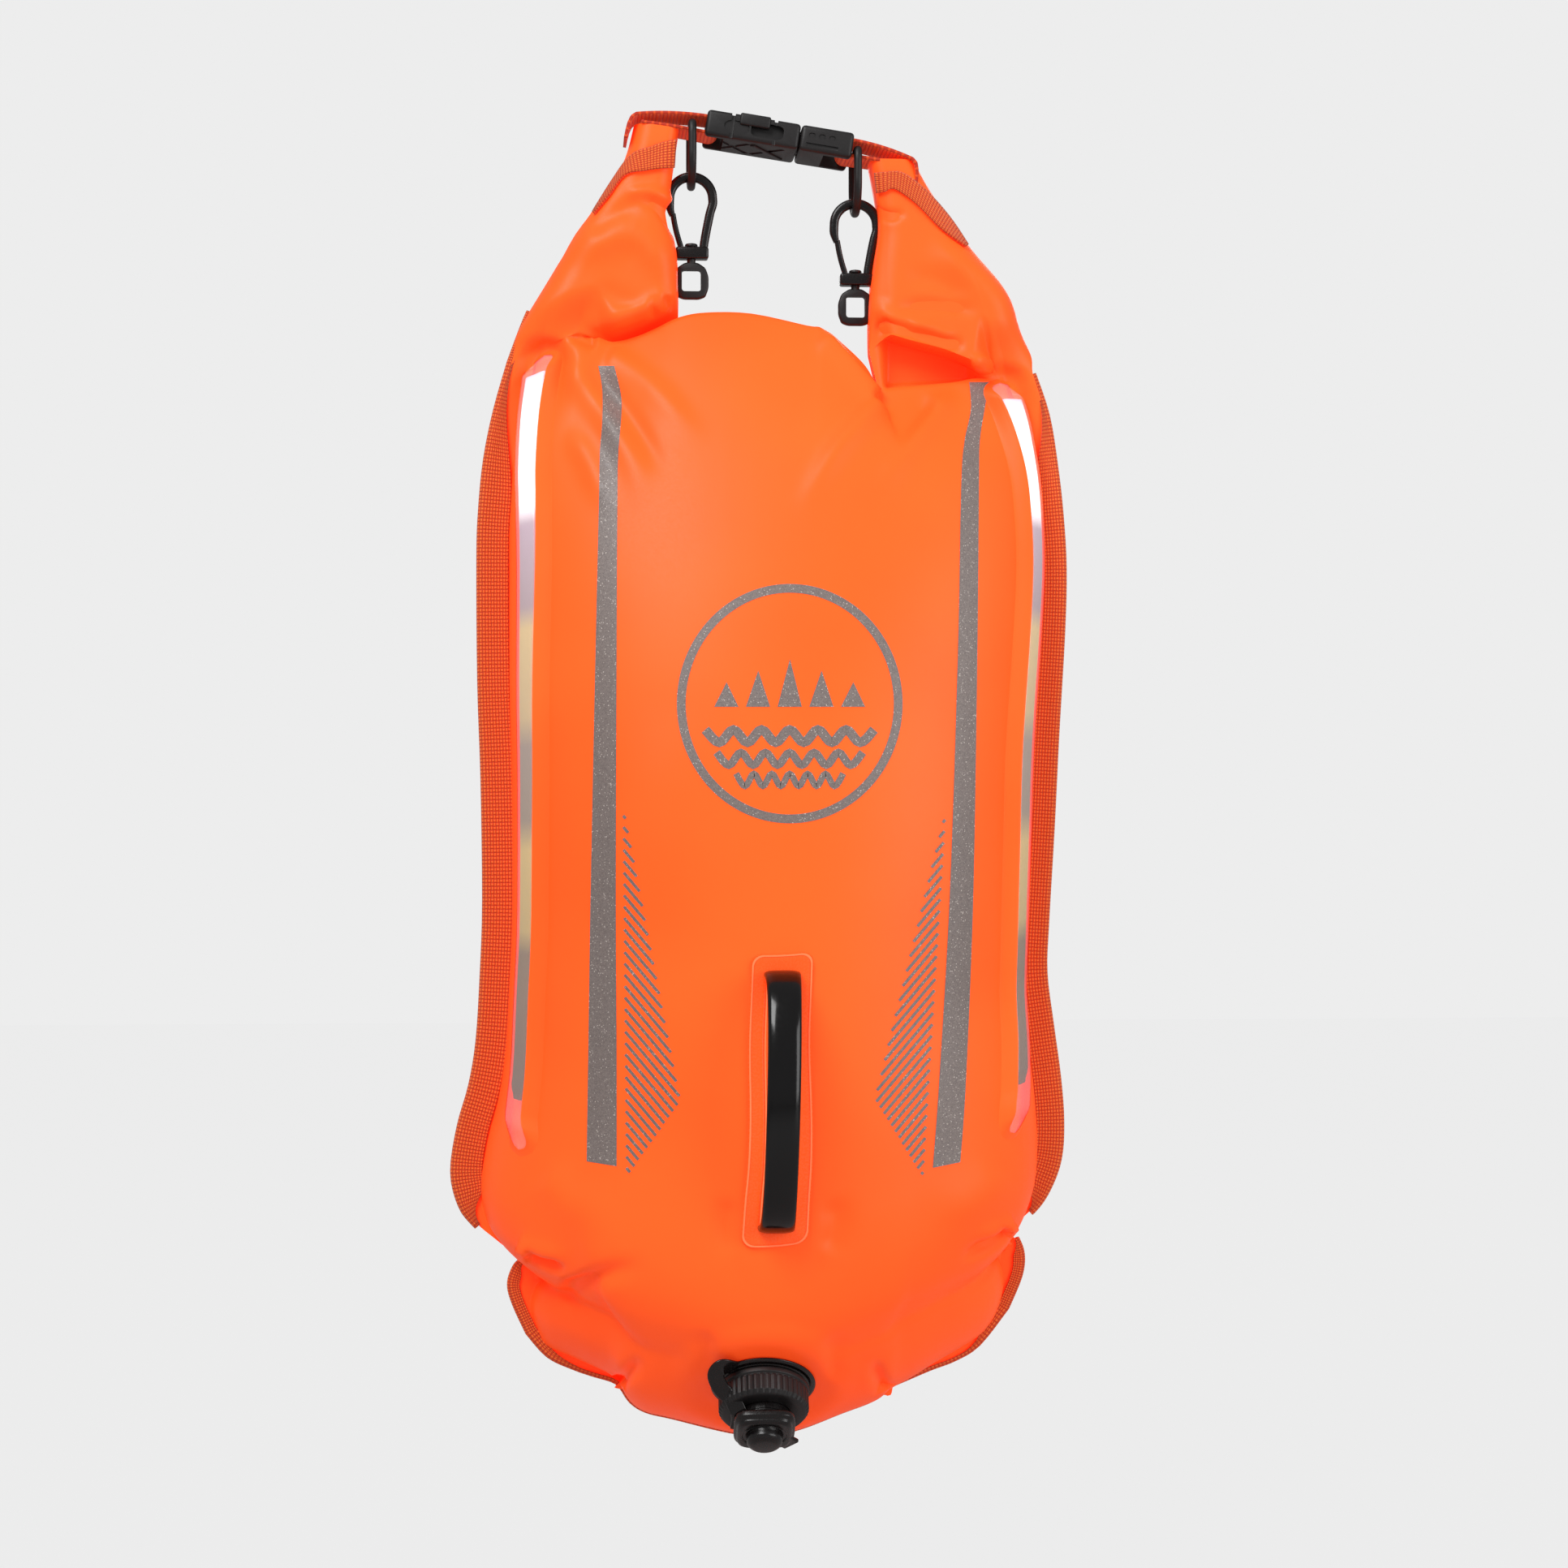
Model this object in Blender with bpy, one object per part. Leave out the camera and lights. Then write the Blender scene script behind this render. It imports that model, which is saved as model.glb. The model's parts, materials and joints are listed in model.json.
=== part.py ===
"""Open water swim buoy: an inflatable tow float and roll-top dry bag that hangs from its closed buckle.

Metres, +Z up, X to the right, and the front faces -Y. The origin is on the underside of the buckle, where the
closed loop hangs. Every piece is its own object. Moving pieces have their origin on their joint's axis.
"""

import math

import bmesh
import bpy
from mathutils import Matrix, Vector

# Clearances
CLEARANCE = 0.0003
SKIN_CLEARANCE = 0.0008
CUT_OVERRUN = 0.004
MERGE = 0.000001

# Bag
HALF_WIDTH = 0.143
BAG_LENGTH = 0.550
BAG_TOP = -0.0804
HALF_DEPTH = 0.090
CREST_HALF_DEPTH = 0.010
SKIN = 0.001
SEAM_MARGIN = 0.0145
BOTTOM_TAPE_WIDTH = 0.010
SHOULDER_TAPE_WIDTH = 0.018
TAPE_FOLD = 0.0012
SIDE_TAPE_SPAN_SHARES = (0.012, 0.80)
SHOULDER_TAPE_SPAN_SHARES = (0.06, 0.93)
SIDE_TAPE_ROWS = 36
BOTTOM_TAPE_ROWS = 30
SHOULDER_TAPE_ROWS = 12
END_START_SHARE = 0.77
SKIN_COLUMNS = 18
SKIN_ROWS = 26

# The bag's outline as seen from the front: shares of the half width, and of the length below the bag's top.
LEFT_SHARES = [
    (-0.903, 0.044),
    (-0.951, 0.087),
    (-0.985, 0.131),
    (-1.001, 0.175),
    (-1.007, 0.218),
    (-1.004, 0.327),
    (-0.993, 0.415),
    (-0.987, 0.524),
    (-0.996, 0.589),
    (-1.010, 0.647),
    (-1.035, 0.687),
    (-1.075, 0.724),
    (-1.097, 0.764),
    (-1.071, 0.793),
    (-0.993, 0.820),
    (-0.925, 0.850),
    (-0.895, 0.880),
    (-0.853, 0.903),
]
RIGHT_SHARES = [
    (0.890, 0.050),
    (0.937, 0.087),
    (0.965, 0.131),
    (0.985, 0.175),
    (0.996, 0.225),
    (0.990, 0.284),
    (0.971, 0.371),
    (0.954, 0.458),
    (0.934, 0.545),
    (0.929, 0.589),
    (0.951, 0.636),
    (0.976, 0.684),
    (0.987, 0.724),
    (0.980, 0.756),
    (0.923, 0.793),
    (0.865, 0.826),
    (0.836, 0.860),
    (0.797, 0.889),
]
BOTTOM_SHARES = [
    (-0.853, 0.903),
    (-0.764, 0.927),
    (-0.629, 0.947),
    (-0.490, 0.965),
    (-0.350, 0.983),
    (-0.154, 0.996),
    (-0.028, 0.999),
    (0.084, 0.994),
    (0.266, 0.977),
    (0.434, 0.956),
    (0.590, 0.937),
    (0.713, 0.915),
    (0.797, 0.889),
]
TOP_SHARES = [
    (-0.903, 0.044),
    (-0.336, 0.003),
    (-0.210, 0.000),
    (-0.014, 0.005),
    (0.154, 0.012),
    (0.266, 0.025),
    (0.313, 0.0275),
    (0.890, 0.050),
]
# The share of the way down at which the bag is full, and how fast it fills above that
FULL_SHARE = 0.55
FILLING_POWER = 2.4

# Buckle, a side-release pair for the webbing
SLOPE = math.radians(8.5)
WEBBING_WIDTH = 0.025
WEBBING = 0.0015
BUCKLE_HALF_THICKNESS = 0.0063
BUCKLE_HALF_WIDTH = 0.018
BUCKLE_EDGE = 0.0016
SOCKET_LENGTH = 0.046
SOCKET_MOUTH = 0.011
SOCKET_WALL = 0.0023
SOCKET_SIDE_WALL = 0.003
SOCKET_CAVITY = 0.032
BAR = 0.004
BAR_SLOT = 0.0055
STRAP_CLEARANCE = 0.0009
BUTTON_SILL = 0.0006
PLUG_LENGTH = 0.026
PLUG_BLOCK = 0.0125
TONGUE_LENGTH = 0.023
TONGUE_HALF_WIDTH = 0.002
ARM_LENGTH = 0.0245
ARM_THICKNESS = 0.0028
ARM_BARB = 0.0055
ARM_BARB_LENGTH = 0.014
BUTTON_WINDOW_START = 0.008
BUTTON_WINDOW_LENGTH = 0.016
LOOP_RADIUS = 0.0032
TURN_STEPS = 10

# D-rings and snap hooks
WIRE = 0.002
D_HALF_WIDTH = 0.0148
D_DEPTH = 0.0285
D_BAR_SHARES = (-1, -0.33, 0.33, 1)
D_REACH_LEFT = 0.00866
D_REACH_RIGHT = 0.00494
HOOK_ROD = 0.00225
HOOK_HALF_WIDTH = 0.0105
HOOK_SPINE_DROP = 0.0205
HOOK_TIP_DROP = 0.0085
HOOK_SPINE_FOOT = 0.0062
HOOK_FOOT_DROP = 0.0300
COLLAR_HEIGHT = 0.006
COLLAR_HALF_WIDTH = 0.0055
COLLAR_HALF_DEPTH = 0.0042
COLLAR_BORE = 0.0025
EYE_STEM = 0.0021
EYE_HEAD = 0.0032
EYE_HEAD_TOP = 0.0026
EYE_HEAD_HEIGHT = 0.0018
EYE_GAP = 0.0016
EYE_HALF_WIDTH = 0.0085
EYE_HEIGHT = 0.0180
EYE_THICKNESS = 0.0045
EYE_WALL = 0.0038
EYE_OUTLINE_SHARES = [
    (-0.45, 0.0), (0.45, 0.0), (1.0, 0.35), (1.0, 0.75), (0.6, 1.0), (-0.6, 1.0), (-1.0, 0.75), (-1.0, 0.35),
]
GATE_ROD = 0.0014
GATE_FOOT = 0.00095
ROD_SIDES = 8
SMALL_SIDES = 12

# Rolled ends, which stand up beside the loop
ROLL_HALF_DEPTH = 0.019
TIP_HALF_DEPTH = 0.0125
STRAP_TAIL_LEFT_SHARE = -0.465
STRAP_TAIL_RIGHT_SHARE = 0.4266
POCKET_FRONT = -0.0112
POCKET_REACH = 0.0225
POCKET_TOP = -0.0020
POCKET_TOP_RIGHT = -0.0120
OUTER_LEFT_SHARES = [
    (-0.903, 0.044),
    (-0.853, 0.001),
    (-0.775, -0.036),
    (-0.699, -0.069),
    (-0.615, -0.102),
    (-0.529, -0.135),
]
# The inner edges start on the crest and then pass the rings: shares of the ring's distance from the middle
INNER_LEFT_SHARES = [
    (1.041, -0.022),
    (1.083, -0.040),
    (1.194, -0.065),
    (1.249, -0.091),
    (1.197, -0.124),
]
OUTER_RIGHT_SHARES = [
    (0.890, 0.050),
    (0.842, 0.007),
    (0.797, -0.018),
    (0.719, -0.047),
    (0.629, -0.080),
    (0.545, -0.109),
]
INNER_RIGHT_SHARES = [
    (1.135, 0.007),
    (1.096, -0.018),
    (1.135, -0.047),
    (1.157, -0.073),
    (1.164, -0.098),
]
TIP_LEFT_SHARES = (-0.484, 1.145)
TIP_RIGHT_SHARES = (0.475, 1.179)
MOUTH_ROLL_HEIGHT = 0.024
MOUTH_ROLL_BACK = 0.016
MOUTH_ROLL_REACH_SHARE = 0.946
CREST_ROWS = 16
STIFFENER = 0.0016
STIFFENER_HEIGHT = 0.018
STIFFENER_REACH_SHARE = 0.924
STIFFENER_ROOM_SHARE = 0.979

# Handle
PATCH_HALF_WIDTH = 0.014
PATCH = 0.0012
PATCH_SPAN_SHARES = (0.546, 0.787)
GRIP_SPAN_SHARES = (0.563, 0.771)
GRIP_HALF_WIDTH = 0.007
GRIP_HALF_THICKNESS = 0.0022
GRIP_BOW = 0.030
GRIP_ROUNDING_POWER = 0.55
GRIP_STEPS = 18
GRIP_SIDES = 12
PATCH_COLUMNS = 4
PATCH_ROWS = 14

# Light tubes behind clear windows
TUBE_LEFT_SHARE = -0.82
TUBE_RIGHT_SHARE = 0.82
TUBE_SPAN_SHARES = (0.055, 0.705)
TUBE_HALF_WIDTH = 0.005
TUBE_THICKNESS = 0.0056
TUBE_WALL = 0.0008
TUBE_FLOOR_SHARE = 0.012
TUBE_ROWS = 18
BOARD_SPAN_SHARES = (0.085, 0.26)
BOARD_HALF_WIDTH = 0.0034
LIGHT_CLEARANCE = 0.0006
BOARD = 0.0008
BOARD_ROWS = 7
CELL_RADIUS = 0.0030
CELL = 0.0014
CELL_PLACE_SHARE = 0.14
CELL_SIDES = 16
BUTTON_SPAN_SHARES = (0.058, 0.076)
BUTTON_HALF_WIDTH = 0.0036
BUTTON_INSET = 0.0004
BUTTON_ROWS = 2
WINDOW_SPAN_SHARES = (0.015, 0.755)
WINDOW_HALF_WIDTH = 0.0110
WINDOW = 0.0006
WINDOW_EDGE_DROP = 0.0002
WINDOW_CREST_SHARE = 0.56
WINDOW_CLEARANCE = 0.0009
WINDOW_ROWS = 20

# Inner compartment
LINER = 0.0006
LINER_WIDTH_SHARE = 0.80
LINER_DEPTH_SHARE = 0.80
LINER_END_SHARE = 0.90
LINER_CLEARANCE = 0.0017
LINER_COLUMNS = 20
LINER_ROWS = 14

# Valve, about its own axis, outwards from its seat on the bag
VALVE_PLACE_SHARES = (-0.04, 0.936)
VALVE_SEAT = 0.029
VALVE_SEAT_BLEND = 0.047
FLANGE_RADIUS = 0.025
FLANGE = 0.002
NECK_RADIUS = 0.016
NECK_BORE = 0.013
NECK_HEIGHT = 0.013
COLLAR_RADIUS = 0.0218
KNURL = 0.0005
COLLAR_TOP = 0.017
COLLAR_LIP = 0.0016
INSERT_LIP = 0.0015
INSERT_WALL = 0.0037
INSERT_LEDGE = 0.002
INSERT_TOP = 0.020
FLAP = 0.0011
SEAL = 0.0013
CAP_HALF_WIDTH = 0.0145
CAP_HEIGHT = 0.0065
CAP_EDGE = 0.0016
CAP_SQUARE_POWER = 5
KNOB_RADIUS = 0.0085
KNOB_HEIGHT = 0.0060
KNOB_ROUND = 0.0010
KNOB_CROWN_RADIUS = 0.0060
STEM_DEPTH = 0.0115
TETHER_HALF_WIDTH = 0.0025
TETHER = 0.0012
TETHER_BOW = 0.0045
TETHER_HEIGHT_SHARES = (0.33, 0.70)
VALVE_SIDES = 36

BUCKLE_CENTRE = Vector((0.0, 0.0, BUCKLE_HALF_THICKNESS))
BUCKLE_FRAME = Matrix.Translation(BUCKLE_CENTRE) @ Matrix.Rotation(SLOPE, 4, "Y")
LEFT_BAR = SOCKET_MOUTH - SOCKET_LENGTH + BAR / 2
RIGHT_BAR = SOCKET_MOUTH + CLEARANCE + PLUG_LENGTH - BAR / 2
D_PLACE_LEFT = (LEFT_BAR - D_REACH_LEFT) * math.cos(SLOPE)
D_PLACE_RIGHT = (RIGHT_BAR + D_REACH_RIGHT) * math.cos(SLOPE)
SEAM_HALF = SKIN + CLEARANCE / 2
NEAR_FRONT = -1
NEAR_BACK = 1


# Materials

def material(name, colour, roughness, metallic=0.0, alpha=1.0, emission=0.0):
    made = bpy.data.materials.new(name)
    made.use_nodes = True
    shader = made.node_tree.nodes["Principled BSDF"]
    shader.inputs["Base Color"].default_value = (*colour, 1.0)
    shader.inputs["Roughness"].default_value = roughness
    shader.inputs["Metallic"].default_value = metallic
    shader.inputs["Alpha"].default_value = alpha
    shader.inputs["Emission Color"].default_value = (*colour, 1.0)
    shader.inputs["Emission Strength"].default_value = emission
    return made


def materials():
    return {
        "fabric": material("coated_orange_fabric", (1.0, 0.16, 0.04), 0.45),
        "liner": material("grey_liner_fabric", (0.45, 0.46, 0.48), 0.6),
        "webbing": material("orange_webbing", (0.76, 0.09, 0.01), 0.85),
        "black": material("black_moulded_plastic", (0.012, 0.012, 0.014), 0.3),
        "soft_black": material("black_rubber", (0.015, 0.015, 0.016), 0.6),
        "clear": material("clear_window_film", (0.95, 0.93, 0.92), 0.1, alpha=0.35),
        "glow": material("frosted_light_tube", (0.9, 0.9, 0.92), 0.3, emission=0.6),
        "board": material("green_circuit_board", (0.03, 0.2, 0.08), 0.5),
        "steel": material("plated_cell", (0.6, 0.6, 0.62), 0.3, metallic=1.0),
        "stiffener": material("white_plastic_strip", (0.75, 0.75, 0.73), 0.5),
    }


# Mesh helpers

def bent_grid(columns, rows, place):
    """A flat grid whose every point is put where place(across, along) says, with both shares from 0 to 1."""
    bm = bmesh.new()
    bmesh.ops.create_grid(bm, x_segments=columns, y_segments=rows, size=1)
    for vert in bm.verts:
        vert.co = place((vert.co.x + 1) / 2, (vert.co.y + 1) / 2)
    return bm


def add_object(name, bm, finish, smooth_angle=math.radians(35), pivot=None):
    """Makes the object from a bmesh. With a pivot, its origin moves there and the mesh stays where it is."""
    mesh = bpy.data.meshes.new(name)
    bm.to_mesh(mesh)
    bm.free()
    mesh.materials.append(finish)
    mesh.shade_smooth()
    mesh.set_sharp_from_angle(angle=smooth_angle)
    made = bpy.data.objects.new(name, mesh)
    bpy.context.collection.objects.link(made)
    if pivot is not None:
        move_origin(made, pivot)
    return made


def move_origin(made, pivot):
    made.data.transform(Matrix.Translation(-pivot))
    made.location = pivot


def closed_body(name, columns, rows, place, finish, pivot=None):
    """A tube bent from a grid: its two long edges are merged and its two ends are filled."""
    bm = bent_grid(columns, rows, place)
    bmesh.ops.remove_doubles(bm, verts=bm.verts, dist=MERGE)
    bmesh.ops.holes_fill(bm, edges=[edge for edge in bm.edges if edge.is_boundary], sides=0)
    bmesh.ops.recalc_face_normals(bm, faces=bm.faces)
    return add_object(name, bm, finish, pivot=pivot)


def sheet(name, columns, rows, place, thickness, outward, finish, offset=1.0, pivot=None):
    """A grid with a thickness. Its faces are turned to the outward side before it gets one."""
    bm = bent_grid(columns, rows, place)
    bm.normal_update()
    total = sum((face.normal * face.calc_area() for face in bm.faces), Vector())
    if total.dot(outward) < 0:
        bmesh.ops.reverse_faces(bm, faces=bm.faces)
    made = add_object(name, bm, finish, pivot=pivot)
    solidify = made.modifiers.new("thickness", "SOLIDIFY")
    solidify.thickness = thickness
    solidify.offset = offset
    solidify.use_even_offset = False
    return made


def block_mesh(low, high, frame=None):
    """A bmesh box between two corners, in an optional frame."""
    bm = bmesh.new()
    bmesh.ops.create_cube(bm, size=1)
    low, high = Vector(low), Vector(high)
    for vert in bm.verts:
        vert.co = Vector([low[i] + (vert.co[i] * 2 + 1) / 2 * (high[i] - low[i]) for i in range(3)])
    if frame is not None:
        bm.transform(frame)
    return bm


def block(name, low, high, finish, frame=None, edge=0.0, pivot=None):
    bm = block_mesh(low, high)
    if edge:
        bmesh.ops.bevel(bm, geom=bm.edges, offset=edge, offset_type="OFFSET", segments=2, profile=0.5,
                        affect="EDGES", clamp_overlap=True, material=-1)
    if frame is not None:
        bm.transform(frame)
    return add_object(name, bm, finish, pivot=pivot)


def cutter(name, bm, finish):
    made = add_object(name, bm, finish)
    made.hide_render = True
    made.display_type = "WIRE"
    return made


def boolean(made, other, operation="DIFFERENCE"):
    change = made.modifiers.new(other.name, "BOOLEAN")
    change.operation = operation
    change.solver = "EXACT"
    change.object = other


def cut_box(made, name, low, high, finish, frame=None):
    boolean(made, cutter(name, block_mesh(low, high, frame), finish))


def smooth_curve(points, steps):
    """Points on a smooth curve that passes through every given point."""
    curve = []
    for i in range(len(points) - 1):
        before = points[max(i - 1, 0)]
        start, end = points[i], points[i + 1]
        after = points[min(i + 2, len(points) - 1)]
        for step in range(steps):
            t = step / steps
            curve.append(
                ((start * 2) + (end - before) * t + (before * 2 - start * 5 + end * 4 - after) * t**2
                 + (start * 3 - before - end * 3 + after) * t**3) / 2
            )
    curve.append(points[-1])
    return curve


def along(curve, share):
    """The point at a share of the curve's length."""
    lengths = [(b - a).length for a, b in zip(curve, curve[1:])]
    left = min(max(share, 0.0), 1.0) * sum(lengths)
    for start, end, length in zip(curve, curve[1:], lengths):
        if left <= length:
            return start.lerp(end, left / length)
        left -= length
    return curve[-1].copy()


def smooth_step(low, high, value):
    t = min(max((value - low) / (high - low), 0.0), 1.0)
    return t * t * (3 - 2 * t)


# The bag's surface

def bag_point(shares):
    return Vector((shares[0] * HALF_WIDTH, 0.0, BAG_TOP - shares[1] * BAG_LENGTH))


CURVE_STEPS = 3
LEFT_EDGE = smooth_curve([bag_point(shares) for shares in LEFT_SHARES], CURVE_STEPS)
RIGHT_EDGE = smooth_curve([bag_point(shares) for shares in RIGHT_SHARES], CURVE_STEPS)
BOTTOM_EDGE = smooth_curve([bag_point(shares) for shares in BOTTOM_SHARES], CURVE_STEPS)
TOP_EDGE = [bag_point(shares) for shares in TOP_SHARES]
MARGIN_SHARE = SEAM_MARGIN / HALF_WIDTH
END_MARGIN_SHARE = SEAM_MARGIN / BAG_LENGTH


def flat_point(across, down):
    """The flat bag: across runs from -1 at its left seam to 1 at its right, down from 0 at the top to 1."""
    u = (across + 1) / 2
    top, bottom = along(TOP_EDGE, u), along(BOTTOM_EDGE, u)
    left, right = along(LEFT_EDGE, down), along(RIGHT_EDGE, down)
    corners = (
        TOP_EDGE[0] * (1 - u) * (1 - down) + TOP_EDGE[-1] * u * (1 - down)
        + BOTTOM_EDGE[0] * (1 - u) * down + BOTTOM_EDGE[-1] * u * down
    )
    return top * (1 - down) + bottom * down + left * (1 - u) + right * u - corners


def depth_at(across, down):
    """How far the bag's skin stands out from its seam plane."""
    side = min(abs(across) / (1 - MARGIN_SHARE), 1.0)
    end = min(max((down - END_START_SHARE) / (1 - END_MARGIN_SHARE - END_START_SHARE), 0.0), 1.0)
    full = 1 - max(1 - down / FULL_SHARE, 0.0) ** FILLING_POWER
    crest = CREST_HALF_DEPTH * (1 - full)
    return (HALF_DEPTH * full + crest) * math.sqrt(1 - side**2) * math.sqrt(1 - end**2)


def round_skin(across, down, face):
    point = flat_point(across, down)
    point.y = face * (SEAM_HALF + depth_at(across, down))
    return point


SMALL_SHARE = 0.004


def skin_frame(across, down, face=NEAR_FRONT):
    """A point of the skin, with unit vectors across it, down it and out of it."""
    point = round_skin(across, down, face)
    left, right = (round_skin(across + step, down, face) for step in (-SMALL_SHARE, SMALL_SHARE))
    above, below = (round_skin(across, down + step, face) for step in (-SMALL_SHARE, SMALL_SHARE))
    sideways, downward = (right - left).normalized(), (below - above).normalized()
    outward = sideways.cross(downward).normalized()
    if outward.y * face < 0:
        outward.negate()
    return point, sideways, downward, outward


VALVE_SEAT_POINT, _, _, VALVE_AXIS = skin_frame(*VALVE_PLACE_SHARES)


def skin(across, down, face):
    """The skin with the flat seat that the valve's flange is welded to."""
    point = round_skin(across, down, face)
    if face == NEAR_BACK:
        return point
    from_seat = point - VALVE_SEAT_POINT
    height = from_seat.dot(VALVE_AXIS)
    radius = (from_seat - VALVE_AXIS * height).length
    return point - VALVE_AXIS * height * (1 - smooth_step(VALVE_SEAT, VALVE_SEAT_BLEND, radius))


def column_share(share):
    """Grid columns: the first and last are the flat seam margins, and the rest crowd towards the seams."""
    column = share * SKIN_COLUMNS
    if column < 1:
        return -1 + MARGIN_SHARE * column
    if column > SKIN_COLUMNS - 1:
        return 1 - MARGIN_SHARE * (SKIN_COLUMNS - column)
    return -(1 - MARGIN_SHARE) * math.cos(math.pi * (column - 1) / (SKIN_COLUMNS - 2))


def row_share(share):
    """Grid rows: even down to the rounded end, where they crowd towards the bottom seam's margin."""
    end_rows = SKIN_ROWS // 3
    row = share * SKIN_ROWS
    body_rows = SKIN_ROWS - end_rows - 1
    if row <= body_rows:
        return END_START_SHARE * row / body_rows
    if row > SKIN_ROWS - 1:
        return 1 - END_MARGIN_SHARE * (SKIN_ROWS - row)
    turn = math.pi / 2 * (row - body_rows) / end_rows
    return END_START_SHARE + (1 - END_MARGIN_SHARE - END_START_SHARE) * math.sin(turn)


def make_panels(finish):
    front = sheet("front_panel", SKIN_COLUMNS, SKIN_ROWS,
                  lambda a, b: skin(column_share(a), row_share(b), NEAR_FRONT),
                  SKIN, Vector((0, NEAR_FRONT, 0)), finish["fabric"], offset=-1.0)
    reach = SEAM_MARGIN
    hole = turned_mesh([(0, -reach), (NECK_BORE, -reach), (NECK_BORE, reach), (0, reach)])
    boolean(front, cutter("valve_hole", hole, finish["fabric"]))

    roll_share = MOUTH_ROLL_HEIGHT / BAG_LENGTH + END_MARGIN_SHARE / 2

    def back_place(a, b):
        down = row_share(b)
        return skin(column_share(a), roll_share + (1 - roll_share) * down, NEAR_BACK)

    sheet("back_panel", SKIN_COLUMNS, SKIN_ROWS, back_place, SKIN, Vector((0, NEAR_BACK, 0)),
          finish["fabric"], offset=-1.0)


def make_liner(finish):
    """The inner compartment hangs from the underside of the rolled mouth."""

    def place(a, b):
        turn = 2 * math.pi * a
        down = LINER_END_SHARE * b
        point = flat_point(-LINER_WIDTH_SHARE * math.cos(turn), down)
        point.y = -LINER_DEPTH_SHARE * depth_at(0, down) * math.sin(turn)
        point.z -= (MOUTH_ROLL_HEIGHT + LINER_CLEARANCE) * (1 - b)
        return point

    bm = bent_grid(LINER_COLUMNS, LINER_ROWS, place)
    bmesh.ops.remove_doubles(bm, verts=bm.verts, dist=MERGE)
    lowest = [edge for edge in bm.edges if edge.is_boundary and edge.verts[0].co.z < BAG_TOP - BAG_LENGTH / 2]
    bmesh.ops.holes_fill(bm, edges=lowest, sides=0)
    bmesh.ops.recalc_face_normals(bm, faces=bm.faces)
    bm.normal_update()
    middle = min(bm.faces, key=lambda face: face.calc_center_median().y)
    if middle.normal.y > 0:
        bmesh.ops.reverse_faces(bm, faces=bm.faces)
    made = add_object("dry_liner", bm, finish["liner"])
    wall = made.modifiers.new("thickness", "SOLIDIFY")
    wall.thickness = LINER
    wall.offset = -1.0


# Edge binding

def binding(name, curve, width, span, rows, inward, finish):
    """Woven tape folded over the seam: two legs and the fold between them."""
    leg = width / 2 - TAPE_FOLD
    half = SEAM_HALF + CLEARANCE
    section = [(leg, -half), (-TAPE_FOLD, -half), (-TAPE_FOLD, half), (leg, half)]

    def place(a, b):
        share = span[0] + (span[1] - span[0]) * b
        point = along(curve, share)
        direction = (along(curve, share + SMALL_SHARE) - along(curve, share - SMALL_SHARE)).normalized()
        side = Vector((direction.z, 0, -direction.x))
        if side.dot(inward(point)) < 0:
            side.negate()
        depth, height = section[round(a * (len(section) - 1))]
        return point + side * depth + Vector((0, height, 0))

    bm = bent_grid(len(section) - 1, rows, place)
    bm.normal_update()
    front_face = min(bm.faces, key=lambda face: face.calc_center_median().y)
    if front_face.normal.y > 0:
        bmesh.ops.reverse_faces(bm, faces=bm.faces)
    made = add_object(name, bm, finish["webbing"])
    tape = made.modifiers.new("thickness", "SOLIDIFY")
    tape.thickness = WEBBING
    tape.offset = 1.0


LOBE_POINT_COUNT = 2


def bag_middle(point):
    return Vector((0, 0, BAG_TOP - BAG_LENGTH * END_START_SHARE / 2)) - point


def make_bindings(finish):
    for name, curve, sign in (("side_webbing_left", LEFT_EDGE, 1), ("side_webbing_right", RIGHT_EDGE, -1)):
        binding(name, curve, WEBBING_WIDTH, SIDE_TAPE_SPAN_SHARES, SIDE_TAPE_ROWS,
                lambda point, sign=sign: Vector((sign, 0, 0)), finish)
    corner = LOBE_POINT_COUNT * CURVE_STEPS
    lobe = LEFT_EDGE[-corner:-1] + BOTTOM_EDGE + RIGHT_EDGE[-corner:-1][::-1]
    binding("bottom_binding", lobe, BOTTOM_TAPE_WIDTH, (0, 1), BOTTOM_TAPE_ROWS, bag_middle, finish)


# Rolled mouth, with its stiffener, and the two ends that stand up

def crest_bar(name, low, high, front, back, reach, finish):
    """A bar behind the bag's crest: low and high are drops below it, front and back its middle's depths."""
    corners = [(front, high), (front, low), (back, low), (back, high)]

    def place(a, b):
        across = (b * 2 - 1) * reach
        crown = math.sqrt(1 - across**2)
        depth, drop = corners[round(a * len(corners)) % len(corners)]
        point = flat_point(across * (1 - MARGIN_SHARE), 0)
        return Vector((point.x, depth * crown if depth < 0 else depth, point.z - drop))

    return closed_body(name, len(corners), CREST_ROWS, place, finish)


def make_mouth(finish):
    front = -(CREST_HALF_DEPTH - SKIN - CLEARANCE)
    roll = crest_bar("mouth_roll", MOUTH_ROLL_HEIGHT, CLEARANCE, front, MOUTH_ROLL_BACK,
                     MOUTH_ROLL_REACH_SHARE, finish["fabric"])
    middle = MOUTH_ROLL_HEIGHT / 2
    half = STIFFENER_HEIGHT / 2
    room = crest_bar("stiffener_room", middle + half + SKIN, middle - half - SKIN,
                     -STIFFENER / 2 - CLEARANCE, STIFFENER + CLEARANCE, STIFFENER_ROOM_SHARE,
                     finish["stiffener"])
    room.hide_render = True
    room.display_type = "WIRE"
    boolean(roll, room)
    crest_bar("mouth_stiffener", middle + half, middle - half, -STIFFENER / 2, STIFFENER,
              STIFFENER_REACH_SHARE, finish["stiffener"])


def strap_underside(x):
    """The height of the strap's lower face above a place across the bag."""
    return BUCKLE_CENTRE.z - x * math.tan(SLOPE) - (LOOP_RADIUS + WEBBING) / math.cos(SLOPE)


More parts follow.
